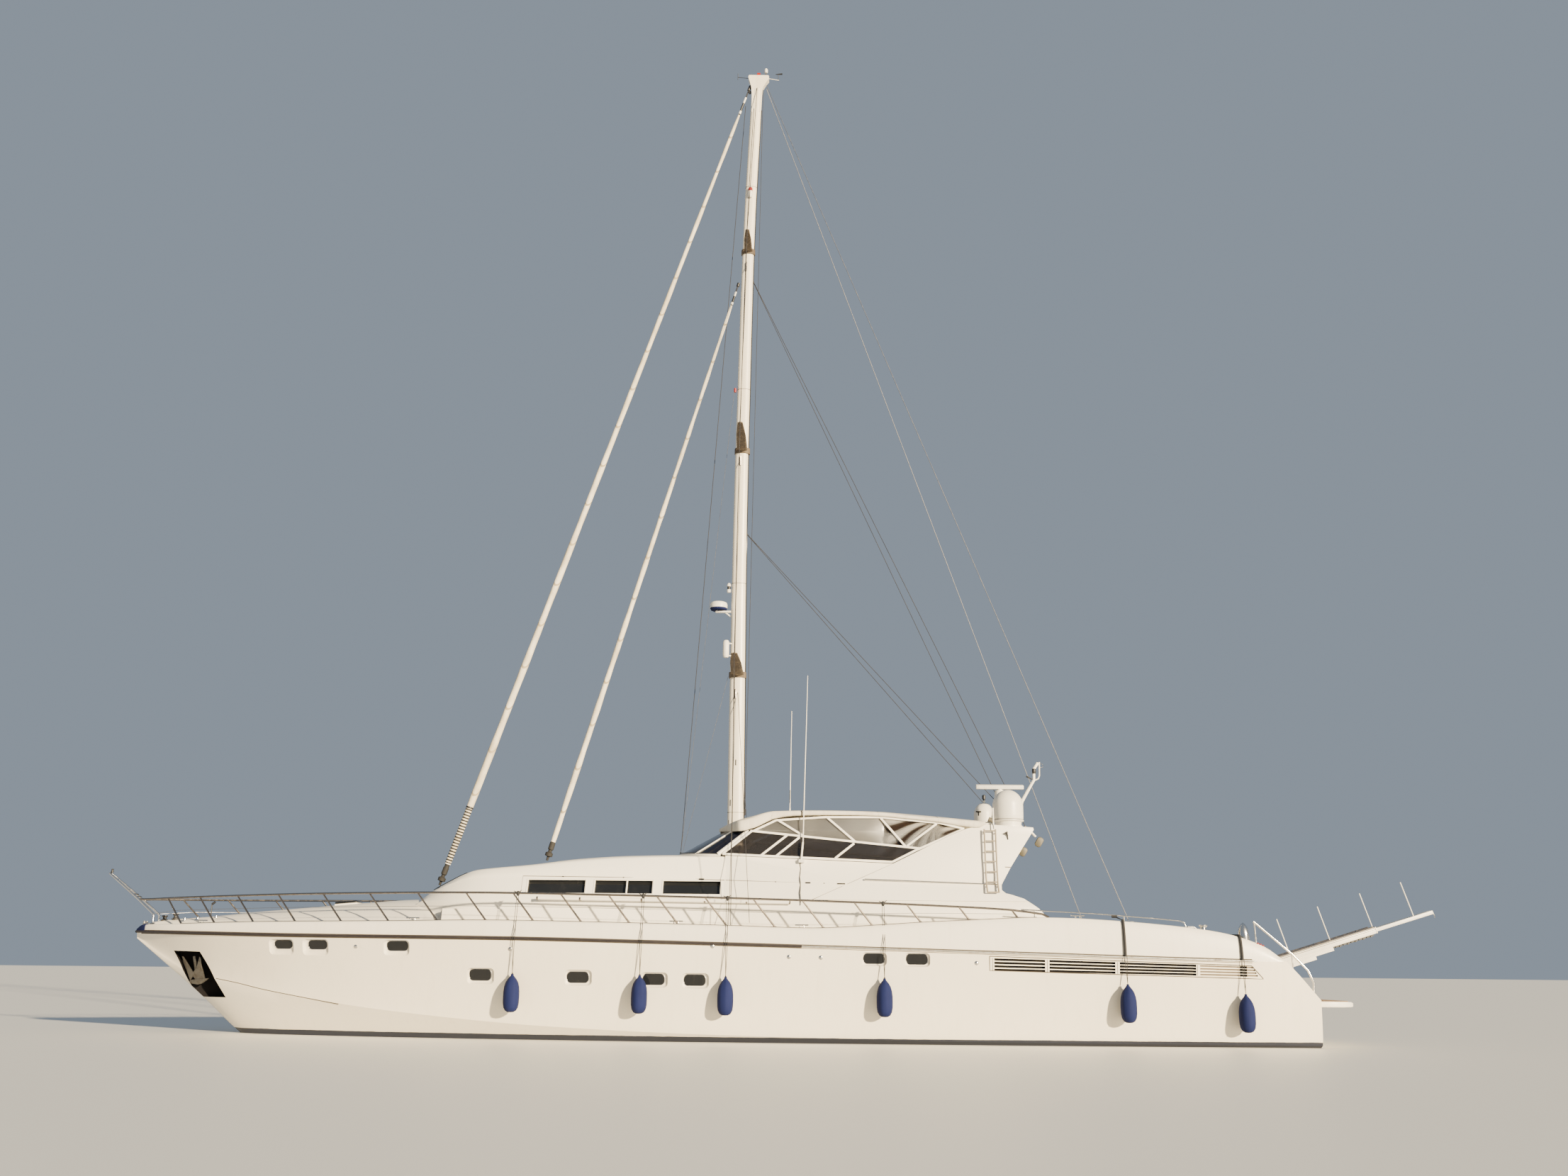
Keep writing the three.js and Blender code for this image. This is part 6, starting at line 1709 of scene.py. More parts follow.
class MakeSails(YachtOperator):
    """Both headsails, rolled on their stays, with their drums."""

    bl_idname = "yacht.sails"
    bl_label = "Furled sails"

    def build(self, settings):
        tops, pale, dark = bmesh.new(), bmesh.new(), bmesh.new()
        for name, stay, radius, end, dark_to, bands_to, reach in ROLLS:
            foot, head = stay
            length = (head - foot).length
            bm = bmesh.new()
            profile = DRUM_PROFILE[:]
            for t in steps(0.7 / length, end - 0.02, 70):
                wobble = 0.004 * math.sin(t * 55) + 0.003 * math.sin(t * 131)
                swell = min(1, 0.72 + 0.28 * length * t / 2.2)
                profile.append((radius * (1 - 0.55 * t**1.5) * swell + wobble, length * t))
            profile += [(0.03, length * end), (0, length * end)]
            turned(bm, profile, at(*foot) @ aim(head - foot), 20)
            outward(bm)
            material = furled_material(name.replace("_", " "), stay, dark_to, bands_to)
            piece(name + "_cloth", bm, material, body=name, nodes=[name])
            low, high = foot.lerp(head, end + 0.001), head + (head - foot).normalized() * reach
            bar(tops, low, high, 0.02, 10)
            bar(dark, low.lerp(high, 0.12), low.lerp(high, 0.4), 0.034, 10)
            bar(pale, low.lerp(high, 0.02), low.lerp(high, 0.12), 0.036, 10)
            bar(pale, low.lerp(high, 0.4), low.lerp(high, 0.6), 0.03, 10)
            bar(dark, low.lerp(high, 0.85), high, 0.045, 10)
        piece("stay_heads", tops, DARK_WIRE)
        piece("stay_swivels", pale, DOME)
        piece("stay_toggles", dark, TRIM_PLASTIC)
        foot, head = GENOA_STAY
        along = (head - foot).normalized()
        for name, height, deep, wide, material in (
            ("genoa_collar", 0.67, 0.05, 0.078, DOME), ("genoa_tie", 2.2, 0.045, 0.098, TRIM_PLASTIC),
        ):
            bm = bmesh.new()
            low = foot + along * height
            bar(bm, low, low + along * deep, wide, 20)
            piece(name, bm, material, "genoa_roll")


# Running backstays, each from the mast to the arch, and the tangs below the spreaders
RUNNERS = [
    ((-0.42, -0.14, 13.41), (-7.76, -1.4, 5.28)), ((-0.47, -0.13, 21.15), (-7.86, -1.4, 5.28)),
    ((-0.42, -0.1, 13.41), (-8.04, -0.75, 5.27)), ((-0.47, -0.1, 21.15), (-8.12, -0.75, 5.27)),
]
TANGS = [(-0.33, 21.43), (-0.25, 15.46), (-0.23, 8.85)]


class MakeRigging(YachtOperator):
    """Shrouds, backstays and the running rigging that is set up taut."""

    bl_idname = "yacht.rigging"
    bl_label = "Rigging"

    def build(self, settings):
        for side in ("port", "starboard"):
            dressed("cap_shroud_" + side, DARK_WIRE, 0)
            dressed("backstay_" + side, WIRE, 0)
        runners, lines, pale, ends = bmesh.new(), bmesh.new(), bmesh.new(), bmesh.new()
        for head, foot in RUNNERS:
            head, foot = Vector(head), Vector(foot)
            bar(runners, head, foot, settings.wire_radius, 6)
            bar(ends, foot, foot.lerp(head, 0.012), 0.02, 8)
            bar(ends, head, head.lerp(foot, 0.008), 0.02, 8)
        bar(ends, (-7.75, -0.75, 5.18), (-8.14, -0.75, 5.27), 0.02, 10)
        bar(ends, (-7.72, -1.4, 5.16), (-7.86, -1.4, 5.28), 0.02, 10)
        bar(lines, (-0.21, 0, 26.75), (1.14, 0, 4.57), settings.wire_radius, 6)
        bar(lines, (-0.73, 0.02, 27.3), (-0.525, 0.02, 5.62), 0.007, 6)
        bar(lines, (-0.525, 0.02, 5.6), (-0.523, 0.02, 5.76), 0.022, 8)
        bar(lines, (1.14, 0, 4.4), (1.14, 0, 4.62), 0.022, 8)
        bar(pale, (-0.02, 0.12, 9.3), (1.13, 0.1, 4.42), 0.0045, 6)
        bar(pale, (-0.04, 0.1, 17.55), (1.14, 0.06, 4.5), 0.0045, 6)
        bar(pale, (-0.42, -0.1, 26.0), (-0.4, -0.12, 5.6), 0.005, 6)
        for side in (-1, 1):
            for (x, z), foot in zip(TANGS, self.diagonal_feet()):
                top = Vector((x, 0.17 * side, z))
                bar(lines, top, (foot[0], foot[1] * side, foot[2]), 0.007, 6)
                bar(ends, top + Vector((0, 0, 0.1)), top - Vector((0, 0, 0.16)), 0.02, 8)
            bar(lines, (TANGS[2][0] - 0.06, 0.17 * side, TANGS[2][1]), (-0.75, 2.95 * side, 2.76), 0.007, 6)
        piece("running_backstays", runners, DARK_WIRE)
        piece("inner_stays_and_diagonals", lines, DARK_WIRE)
        piece("halyards", pale, WIRE)
        piece("rigging_ends", ends, RAIL_STEEL_DARK_REFLECTION)

    def diagonal_feet(self):
        """Where the wires from the tangs end: two spreader tips, then the deck."""
        feet = [(mast_curves[0](z), half - 0.02, z) for _, z, half in SPREADERS[1::-1]]
        return feet + [(-0.25, deck_half(-0.25) - 0.3, sheer_z(-0.25))]


# Rails and fittings

rail_z = curve([
    (15.16, 3.28), (14.2, 3.3), (12.1, 3.34), (9.8, 3.38), (6.1, 3.41), (2.5, 3.37), (-1, 3.31),
    (-3.4, 3.25), (-5.8, 3.17), (-7, 3.11), (-7.75, 3.02),
])
STANCHION_FEET = [13.67, 12.67, 11.56, 10.41, 9.2, 7.99, 6.77] + steps(5.57, -7.16, 11)
STANCHION_LEAN = 0.84  # forward, for each metre up
STERN_RAIL = [(-12.92, 2.91), (-13.79, 2.16), (-14.15, 1.78), (-14.27, 1.49), (-14.24, 1.2)]


def rail_y(x):
    return max(deck_half(x) - 0.1, 0.13)


class MakeRails(YachtOperator):
    """Guard rails, bow staff, coaming rails and stern rails."""

    bl_idname = "yacht.rails"
    bl_label = "Guard rails"

    def build(self, settings):
        self.guard_rails(settings.rail_radius)
        self.bow_staff(settings.rail_radius)
        self.hand_rails()

    def guard_rails(self, radius):
        bm, wires = bmesh.new(), bmesh.new()
        top = [(15.12, 0.13, 3.28)] + [(x, rail_y(x), rail_z(x)) for x in steps(14.8, -7.75, 60)]
        tube(bm, top, radius, 8)
        middle = [Vector((14.66, 0.18, 2.92))]
        base = [(0, 0.02), (0.03, 0.016), (0.042, 0), (0, 0)]
        for x in STANCHION_FEET:
            head = x + STANCHION_LEAN * (rail_z(x) - sheer_z(x))
            foot = Vector((x, deck_half(x) - 0.05, sheer_z(x) - 0.01))
            crown = Vector((head, rail_y(head), rail_z(head)))
            bar(bm, foot, crown, radius * 0.95, 8, radius * 0.75)
            turned(bm, base, at(*foot) @ at(0, 0, 0.01), 12)
            middle.append(foot.lerp(crown, 0.52))
        tube(wires, middle, 0.005, 6)
        end = Vector((-7.75, rail_y(-7.75), rail_z(-7.75)))
        bar(bm, end, (-7.9, deck_half(-7.9) - 0.05, sheer_z(-7.9)), radius, 8)
        pair("guard_rail_tubes", bm, RAIL_STEEL_DARK_REFLECTION, nodes=["guard_rail_port", "guard_rail_starboard"])
        pair("guard_wires", wires, WIRE)
        toe = bmesh.new()
        tube(toe, [(x, deck_half(x) - 0.03, sheer_z(x) + 0.004) for x in steps(13.7, -7.6, 60)], 0.011, 6)
        pair("toe_rails", toe, RAIL_STEEL_DARK_REFLECTION)

    def bow_staff(self, radius):
        """Two polished tubes from short posts to a looped tip, with cross plates and a lantern."""
        bm, dark = bmesh.new(), bmesh.new()
        leg = [(14.67, 0.18, 2.68), (14.67, 0.18, 2.88), (14.7, 0.175, 2.93), (15.12, 0.14, 3.28)]
        leg += [(15.6, 0.1, 3.65), (15.93, 0.06, 3.9), (15.99, 0.03, 3.94)]
        tube(bm, leg, radius * 1.05, 10)
        turned(bm, [(0, 0.03), (0.035, 0.02), (0.05, 0), (0, 0)], at(14.67, 0.18, 2.68), 14)
        mirrored(bm)
        bar(bm, (15.99, 0.04, 3.94), (15.99, -0.04, 3.94), radius, 10)
        for x, half in ((15.78, 0.08), (15.45, 0.11)):
            z = 3.28 + (x - 15.12) * 0.76
            bar(bm, (x, half, z), (x, -half, z), radius * 0.7, 8)
        for x in (15.28, 15.2):
            z = 3.28 + (x - 15.12) * 0.8
            box(dark, (x - 0.035, -0.13, z), (x + 0.035, 0.13, z + 0.02))
        lantern = [(0, 0), (0.035, 0), (0.035, 0.03), (0.028, 0.04), (0.028, 0.08), (0.035, 0.09), (0, 0.1)]
        turned(dark, lantern, at(15.95, 0, 3.96), 14)
        piece("bow_staff", bm, STEEL)
        piece("bow_staff_plates", dark, TRIM_PLASTIC)

    def hand_rails(self):
        """Rails on the coaming, down the stern steps and along the house."""
        bm, white, feet = bmesh.new(), bmesh.new(), bmesh.new()
        coaming = [(-7.28, 3.13), (-9, 3.055), (-10.6, 2.945), (-11.09, 2.9), (-11.2, 2.86), (-11.23, 2.76)]
        tube(bm, [(x, 2.8, z) for x, z in coaming], 0.015, 10)
        for x, z in ((-7.6, 3.115), (-9.75, 3.0)):
            bar(bm, (x, 2.8, z), (x, 2.8, sheer_z(x) - 0.02), 0.015, 8)
        tube(bm, [(x, 2.6, z) for x, z in STERN_RAIL], 0.028, 10)
        bar(bm, (-12.94, 2.6, 2.89), (-12.96, 2.6, 2.3), 0.018, 10)
        bar(bm, (-13.79, 2.6, 2.16), (-13.8, 2.6, 1.6), 0.018, 10)
        pair("hand_rails", bm, STEEL)
        tube(white, [(4.42, 2.41, 3.31), (1.5, 2.42, 3.285), (-1.7, 2.42, 3.26)], 0.04, 12)
        pair("house_grab_rails", white, HOUSE_PAINT)
        for x in (4.44, 3.4, 1.9, 0.36, -0.66, -1.71):
            z = 3.285 - (1.5 - x) * 0.0085
            bar(feet, (x, 2.43, z), (x, 2.3, z - 0.02), 0.024, 10)
            bar(feet, (x + 0.02, 2.42, z), (x - 0.02, 2.42, z), 0.04, 12)
        pair("grab_rail_brackets", feet, RAIL_STEEL_DARK_REFLECTION)


FENDERS = [(4.83, 1.5), (1.8, 1.5), (-0.22, 1.48), (-3.94, 1.48), (-9.64, 1.4), (-12.43, 1.2)]
FENDER_PROFILE = [
    (0, -0.85), (0.07, -0.845), (0.13, -0.81), (0.17, -0.74), (0.187, -0.64), (0.19, -0.5), (0.188, -0.38),
    (0.175, -0.27), (0.145, -0.17), (0.105, -0.1), (0.06, -0.045), (0.035, -0.015), (0.03, 0.02), (0, 0.03),
]


class MakeFenders(YachtOperator):
    """Cloth-covered fenders on doubled lanyards, with knots on the rail or sleeves over the coaming."""

    bl_idname = "yacht.fenders"
    bl_label = "Fenders"

    def build(self, settings):
        for i, (x, z) in enumerate(FENDERS, 1):
            y = hull_y(x, z - 0.3) + 0.22
            bm = bmesh.new()
            turned(bm, FENDER_PROFILE, Matrix.Identity(4), 36)
            for vert in bm.verts:
                turn = math.atan2(vert.co.y, vert.co.x)
                pucker = 0.05 * math.sin(turn * 6 + i) * max(0, 1 + vert.co.z / 0.35)
                seam = 0.04 * max(0, math.cos(turn * 2 + i)) ** 24
                vert.co.xy *= 1 + pucker + seam
            bmesh.ops.translate(bm, verts=bm.verts, vec=(x, y, z))
            outward(bm)
            piece("fender_%d_cover" % i, bm, NAVY, nodes=["fender_%d" % i], sharp=60)
            self.lanyard(i, x, y, z)

    def lanyard(self, i, x, y, z):
        cord, dark = bmesh.new(), bmesh.new()
        head = Vector((x, y, z + 0.02))
        rail = Vector((x, strake_half(x) + 0.05, strake_z(x) + 0.03))
        if x > -7.5:
            self.knot_on_rail(cord, dark, head, rail)
        else:
            self.sleeve_on_coaming(cord, dark, head, rail)
        piece("fender_%d_cords" % i, cord, BLACK_ROPE)
        piece("fender_%d_sleeve" % i, dark, BLACK_ROPE)

    def knot_on_rail(self, cord, dark, head, rail):
        top = Vector((rail.x, rail_y(rail.x), rail_z(rail.x)))
        for shift in (-0.022, 0.022):
            side = Vector((shift, 0.01, 0))
            tube(cord, [head, rail + side, top + side], 0.007, 6)
        knot = [(0, -0.07), (0.03, -0.055), (0.045, -0.01), (0.04, 0.03), (0.02, 0.05), (0, 0.055)]
        turned(dark, knot, at(*top), 12)
        bar(dark, top, top + Vector((0.1, 0.03, 0.05)), 0.014, 8, 0.008)
        bar(dark, top, top + Vector((-0.09, 0.03, 0.07)), 0.014, 8, 0.008)
        turned(dark, [(0, -0.06), (0.02, -0.04), (0.02, 0.02), (0, 0.04)], at(*head), 10)

    def sleeve_on_coaming(self, cord, dark, head, rail):
        """The aft two: a sleeve round the deck's edge, then on to the coaming rail or across the deck."""
        x = rail.x
        for shift in (-0.03, 0.03):
            tube(cord, [head, rail + Vector((shift, 0, 0))], 0.007, 6)
        to_rail = x > -11
        side = [deck_side(x, share, 0.03) for share in steps(0.02, 0.92 if to_rail else 1.0, 9)]
        if not to_rail:
            side.append(Vector((x + 0.1, deck_half(x) - 0.25, sheer_z(x) + 0.03)))
            side.append(Vector((x + 0.3, deck_half(x) - 0.5, sheer_z(x) + 0.05)))
        tube(dark, side, 0.034, 10)
        if to_rail:
            hook = Vector((x + 0.12, 2.8, 2.99))
            for shift in (-0.03, 0.03):
                tube(cord, [side[-1], hook + Vector((shift, 0, 0))], 0.008, 6)
            bar(dark, hook + Vector((0.06, 0, 0)), hook - Vector((0.06, 0, 0)), 0.034, 10)


class MakeDeckGear(YachtOperator):
    """Windlass, cleats, deck groove, vent cowls and side lamps."""

    bl_idname = "yacht.deck_gear"
    bl_label = "Deck gear"

    def build(self, settings):
        self.foredeck()
        self.cleats()
        self.quarter()

    def foredeck(self):
        black, groove = bmesh.new(), bmesh.new()
        drum = [
            (0, 0), (0.09, 0), (0.09, 0.03), (0.05, 0.05), (0.045, 0.09), (0.075, 0.12), (0.075, 0.14),
            (0, 0.15),
        ]
        turned(black, drum, at(14.45, 0, 2.74), 20)
        turned(black, drum, at(14.12, 0.12, 2.78), 20)
        bar(black, (13.5, -0.62, 2.8), (13.5, -0.62, 3.2), 0.016, 8)
        bar(black, (13.5, -0.62, 3.2), (13.42, -0.62, 3.26), 0.03, 8)
        piece("windlass", black, TRIM_PLASTIC)
        # Painted shade: a dark line along the groove between the deck's margin and the side deck
        points = []
        for x in steps(14.1, 6.2, 40):
            points.append((x, deck_half(x) - 1.25 * min(0.1, deck_half(x) * 0.3), sheer_z(x) - 0.046))
        tube(groove, points, 0.01, 6)
        pair("deck_groove", groove, SEAM_SHADOW)

    def cleats(self):
        bm = bmesh.new()
        for x in (13.1, 7.4, 1.0, -2.0, -8.6):
            y, z = deck_half(x) - 0.12, sheer_z(x)
            for shift in (-0.06, 0.06):
                bar(bm, (x + shift, y, z - 0.03), (x + shift * 0.8, y, z + 0.06), 0.014, 8)
            bar(bm, (x - 0.16, y, z + 0.07), (x + 0.16, y, z + 0.07), 0.016, 10)
        button = [(0, 0.06), (0.03, 0.05), (0.035, 0), (0, 0)]
        for x in (13.75, 13.42, 12.95):
            turned(bm, button, at(x, 0.45, crown_z(x) - 0.06), 14)
        pair("cleats", bm, STEEL)

    def quarter(self):
        """The polished cowls, the side lamps and the capstans on the quarters."""
        cowl, lamps, dark = bmesh.new(), bmesh.new(), bmesh.new()
        dome = [
            (0, -0.1), (0.13, -0.1), (0.138, 0.05), (0.132, 0.17), (0.105, 0.28), (0.055, 0.37), (0, 0.41),
        ]
        turned(cowl, dome, at(-12.74, 2.35, 2.48), 28)
        drum = [
            (0, 0), (0.12, 0), (0.12, 0.04), (0.07, 0.08), (0.065, 0.16), (0.1, 0.2), (0.1, 0.22), (0, 0.23),
        ]
        turned(cowl, drum, at(-11.75, 2.42, 2.6), 24)
        for x in (-12.87, -12.93, -12.99):
            bar(lamps, deck_side(x, 0.93), deck_side(x, 0.93, 0.02), 0.032, 12)
        box(dark, (-11.5, 2.3, 2.6), (-11.36, 2.5, 2.78))
        pair("quarter_cowls", cowl, STEEL)
        pair("quarter_lamps", lamps, RED_LENS)
        pair("quarter_boxes", dark, DULL_STEEL)


PLATFORM_TOP, COCKPIT_FLOOR, HELM_FLOOR, HATCH_LOW = 1.06, 2.2, 3.05, 2.426


def teak_panel(name, outline, low, high):
    """A laid panel of planks with a softened edge."""
    bm = bmesh.new()
    prism(bm, outline, "z", low, high)
    outward(bm)
    soften(bm, 0.004, 2)
    piece(name, bm, TEAK)


class MakePlatform(YachtOperator):
    """Swim platform with its teak, and the teak of the cockpit sole and steps."""

    bl_idname = "yacht.platform"
    bl_label = "Platform and teak"

    def build(self, settings):
        dressed("swim_platform", HOUSE_PAINT, 0.03, count=4)
        half = [(-14.36, 2.5), (-14.75, 2.5), (-15.0, 2.4), (-15.2, 2.2), (-15.32, 1.85)]
        outline = half + [(x, -y) for x, y in reversed(half)]
        teak_panel("platform_teak", outline, PLATFORM_TOP - 0.03, PLATFORM_TOP + 0.006)
        low, high = COCKPIT_FLOOR - 0.02, COCKPIT_FLOOR + 0.003
        sole = [(-7.45, 2.12), (-10.3, 2.12), (-10.3, -2.12), (-7.45, -2.12)]
        teak_panel("cockpit_teak", sole, low, high)
        walk = [(-10.36, 1.67), (-13.42, 1.72), (-13.42, 2.18), (-10.36, 2.18)]
        teak_panel("side_step_teak_starboard", [(x, -y) for x, y in walk], low, high)
        teak_panel("side_step_teak_port", walk, low, high)


# Cushions: name, CAD node, low and high corner above its floor, sewn channels across an axis. The back of
# the helm seat is laid out upright about its foot and then leans.
CUSHIONS = [
    ("sunpad_port", "sunpad_hatch", (-12.55, 0.53, 0.035), (-10.53, 1.55, 0.16), ("x", 3)),
    ("sunpad_middle", "sunpad_hatch", (-12.55, -0.51, 0.035), (-10.53, 0.51, 0.16), ("x", 3)),
    ("sunpad_starboard", "sunpad_hatch", (-12.55, -1.55, 0.035), (-10.53, -0.53, 0.16), ("x", 3)),
    ("sofa_seat_port", "cockpit_sofa", (-10.14, 0.01, 0.28), (-9.7, 1.49, 0.43), ("y", 1)),
    ("sofa_seat_starboard", "cockpit_sofa", (-10.14, -1.49, 0.28), (-9.7, -0.01, 0.43), ("y", 1)),
    ("sofa_back_port", "cockpit_sofa", (-10.34, 0.01, 0.42), (-10.17, 1.49, 0.73), ("y", 1)),
    ("sofa_back_starboard", "cockpit_sofa", (-10.34, -1.49, 0.42), (-10.17, -0.01, 0.73), ("y", 1)),
    ("settee_seat_1", "helm_settee", (-3.29, 0.76, 0.3), (-2.31, 1.38, 0.46), None),
    ("settee_seat_2", "helm_settee", (-4.29, 0.76, 0.3), (-3.31, 1.38, 0.46), None),
    ("settee_seat_3", "helm_settee", (-5.29, 0.76, 0.3), (-4.31, 1.38, 0.46), None),
    ("settee_back_1", "helm_settee", (-3.29, 1.42, 0.5), (-2.31, 1.6, 1.14), ("x", 2)),
    ("settee_back_2", "helm_settee", (-4.29, 1.42, 0.5), (-3.31, 1.6, 1.14), ("x", 2)),
    ("settee_back_3", "helm_settee", (-5.29, 1.42, 0.5), (-4.31, 1.6, 1.14), ("x", 2)),
    ("helm_seat_pad", "helm_seat", (-1.74, -1.46, 0.56), (-1.21, -0.24, 0.75), ("y", 1)),
    ("helm_seat_back", "helm_seat", (-0.085, -1.46, 0.06), (0.085, -0.24, 1.0), ("y", 1)),
]
SEAT_BACK_FOOT, SEAT_BACK_LEAN = (-1.685, 0, 0.66), -8
CUSHION_GROW = 0.012  # a pad starts smaller by this, and swells by as much at most
FLOORS = {
    "sunpad_hatch": HATCH_LOW, "cockpit_sofa": COCKPIT_FLOOR,
    "helm_settee": HELM_FLOOR, "helm_seat": HELM_FLOOR,
}
# The moulded base of each seat, as boxes above its floor
BASES = {
    "cockpit_sofa": [
        ((-10.36, -1.49, 0.001), (-9.72, 1.49, 0.27)), ((-10.38, -1.5, 0.001), (-10.35, 1.5, 0.7)),
    ],
    "helm_settee": [
        ((-5.29, 0.78, 0.001), (-2.31, 1.6, 0.29)), ((-5.3, 1.6, 0.001), (-2.3, 1.62, 1.1)),
    ],
    "helm_seat": [
        ((-1.7, -1.37, 0.001), (-1.3, -0.33, 0.34)), ((-1.8, -1.47, 0.33), (-1.2, -0.23, 0.55)),
    ],
    "sunpad_hatch": [((-12.69, -1.56, 0.0), (-10.5, 1.56, 0.03))],
}


def seat_body(node):
    return node if node == "sunpad_hatch" else "yacht"


def pad_place(name, node):
    """Where a pad's box stands: on its floor, and leaning if it is the helm seat's back."""
    lean = Matrix.Identity(4)
    if name == "helm_seat_back":
        lean = at(*SEAT_BACK_FOOT) @ pitched(SEAT_BACK_LEAN)
    return at(0, 0, FLOORS[node]) @ lean


class MakeCushions(YachtOperator):
    """Seats and sunpad: moulded bases, and pads swollen by a cloth simulation and then sewn."""

    bl_idname = "yacht.cushions"
    bl_label = "Cushions"

    def build(self, settings):
        self.bases()
        pads = [self.pad(name, node, low, high) for name, node, low, high, _ in CUSHIONS]
        self.swell(pads)
        for row, made in zip(CUSHIONS, pads):
            self.sew(made, *row)

    def bases(self):
        for node, boxes in BASES.items():
            bm = bmesh.new()
            up = Vector((0, 0, FLOORS[node]))
            for low, high in boxes:
                part = bmesh.new()
                box(part, Vector(low) + up, Vector(high) + up)
                soften(part, min(0.03, 0.4 * min(b - a for a, b in zip(low, high))), 3)
                spare = bpy.data.meshes.new("base_part")
                part.to_mesh(spare)
                part.free()
                bm.from_mesh(spare)
                bpy.data.meshes.remove(spare)
            piece(node + "_base", bm, HOUSE_PAINT, seat_body(node), [node])

    def pad(self, name, node, low, high):
        """One cushion, still a plain rounded box, as an even net of small faces."""
        grow = Vector((CUSHION_GROW,) * 3)
        bm = bmesh.new()
        box(bm, Vector(low) + grow, Vector(high) - grow)
        soften(bm, 0.035, 3)
        bmesh.ops.transform(bm, verts=bm.verts, matrix=pad_place(name, node))
        material = TAN if node == "helm_seat" else CREAM
        made = piece(name, bm, material, seat_body(node), [node], sharp=180)
        remesh = made.modifiers.new("Net", "REMESH")
        remesh.mode = "VOXEL"
        remesh.voxel_size = 0.04 if node == "sunpad_hatch" else 0.026
        self.bake(made)
        return made

    def bake(self, made):
        graph = bpy.context.evaluated_depsgraph_get()
        result = bpy.data.meshes.new_from_object(made.evaluated_get(graph))
        made.modifiers.clear()
        made.data = result
        made.data.shade_smooth()

    def swell(self, pads):
        """Blows the pads up a little as cloth, all in one run, and keeps the shapes they reach."""
        for made in pads:
            cloth = made.modifiers.new("Swell", "CLOTH")
            cloth.settings.use_pressure = True
            cloth.settings.uniform_pressure_force = 4
            cloth.settings.effector_weights.gravity = 0
            cloth.settings.quality = 4
        scene = bpy.context.scene
        for frame in range(1, 21):
            scene.frame_set(frame)
        graph = bpy.context.evaluated_depsgraph_get()
        shapes = []
        for made in pads:
            grown = made.evaluated_get(graph).to_mesh()
            shapes.append([vert.co.copy() for vert in grown.vertices])
        for made, shape in zip(pads, shapes):
            made.modifiers.clear()
            moves = [point - vert.co for point, vert in zip(shape, made.data.vertices)]
            furthest = max(move.length for move in moves)
            scale = min(1, CUSHION_GROW * 1.3 / furthest) if furthest else 0
            for vert, move in zip(made.data.vertices, moves):
                vert.co += move * scale
        scene.frame_set(1)

    def sew(self, made, name, node, low, high, channels):
        """Sewn channels, a smoother skin and a piped seam round the pad."""
        low, high = Vector(low), Vector(high)
        thin = min(range(3), key=lambda k: high[k] - low[k])
        place = pad_place(name, node)
        if channels:
            back = place.inverted()
            out = place.to_3x3().col[thin].normalized()
            middle = place @ ((low + high) / 2)
            axis, count = "xyz".index(channels[0]), channels[1]
            lines = [low[axis] + (high[axis] - low[axis]) * (k + 1) / (count + 1) for k in range(count)]
            for vert in made.data.vertices:
                along = (back @ vert.co)[axis]
                side = 1 if (vert.co - middle).dot(out) > 0 else -1
                dent = max(math.exp(-((along - line) / 0.03) ** 2) for line in lines)
                vert.co -= out * side * 0.012 * dent
        smoother = made.modifiers.new("Skin", "SUBSURF")
        smoother.levels = smoother.render_levels = 1
        self.bake(made)
        bm = bmesh.new()
        self.piping(bm, made, low, high, thin, place)
        piece(name + "_piping", bm, PIPING, seat_body(node))

    def piping(self, bm, made, low, high, thin, place):
        """A corded seam round the pad's two edges, laid on its swollen skin."""
        tree = KDTree(len(made.data.vertices))
        for index, vert in enumerate(made.data.vertices):
            tree.insert(vert.co, index)
        tree.balance()
        wide = [k for k in range(3) if k != thin]
        size = [high[k] - low[k] for k in wide]
        loop = rounded(size[0] - 0.03, size[1] - 0.03, 0.05, 4)
        dense = []
        for (a0, b0), (a1, b1) in zip(loop, loop[1:] + loop[:1]):
            count = max(1, int(math.hypot(a1 - a0, b1 - b0) / 0.07))
            dense += [(a0 + (a1 - a0) * t, b0 + (b1 - b0) * t) for t in steps(0, 1, count)[:-1]]
        for share in (0.16, 0.84):
            line = []
            for a, b in dense:
                spot = Vector((0, 0, 0))
                spot[wide[0]] = (low[wide[0]] + high[wide[0]]) / 2 + a
                spot[wide[1]] = (low[wide[1]] + high[wide[1]]) / 2 + b
                spot[thin] = low[thin] + (high[thin] - low[thin]) * share
                near = tree.find(place @ spot)[0]
                if not line or (near - line[-1]).length > 0.012:
                    line.append(near)
            tube(bm, line + line[:1], 0.007, 6)


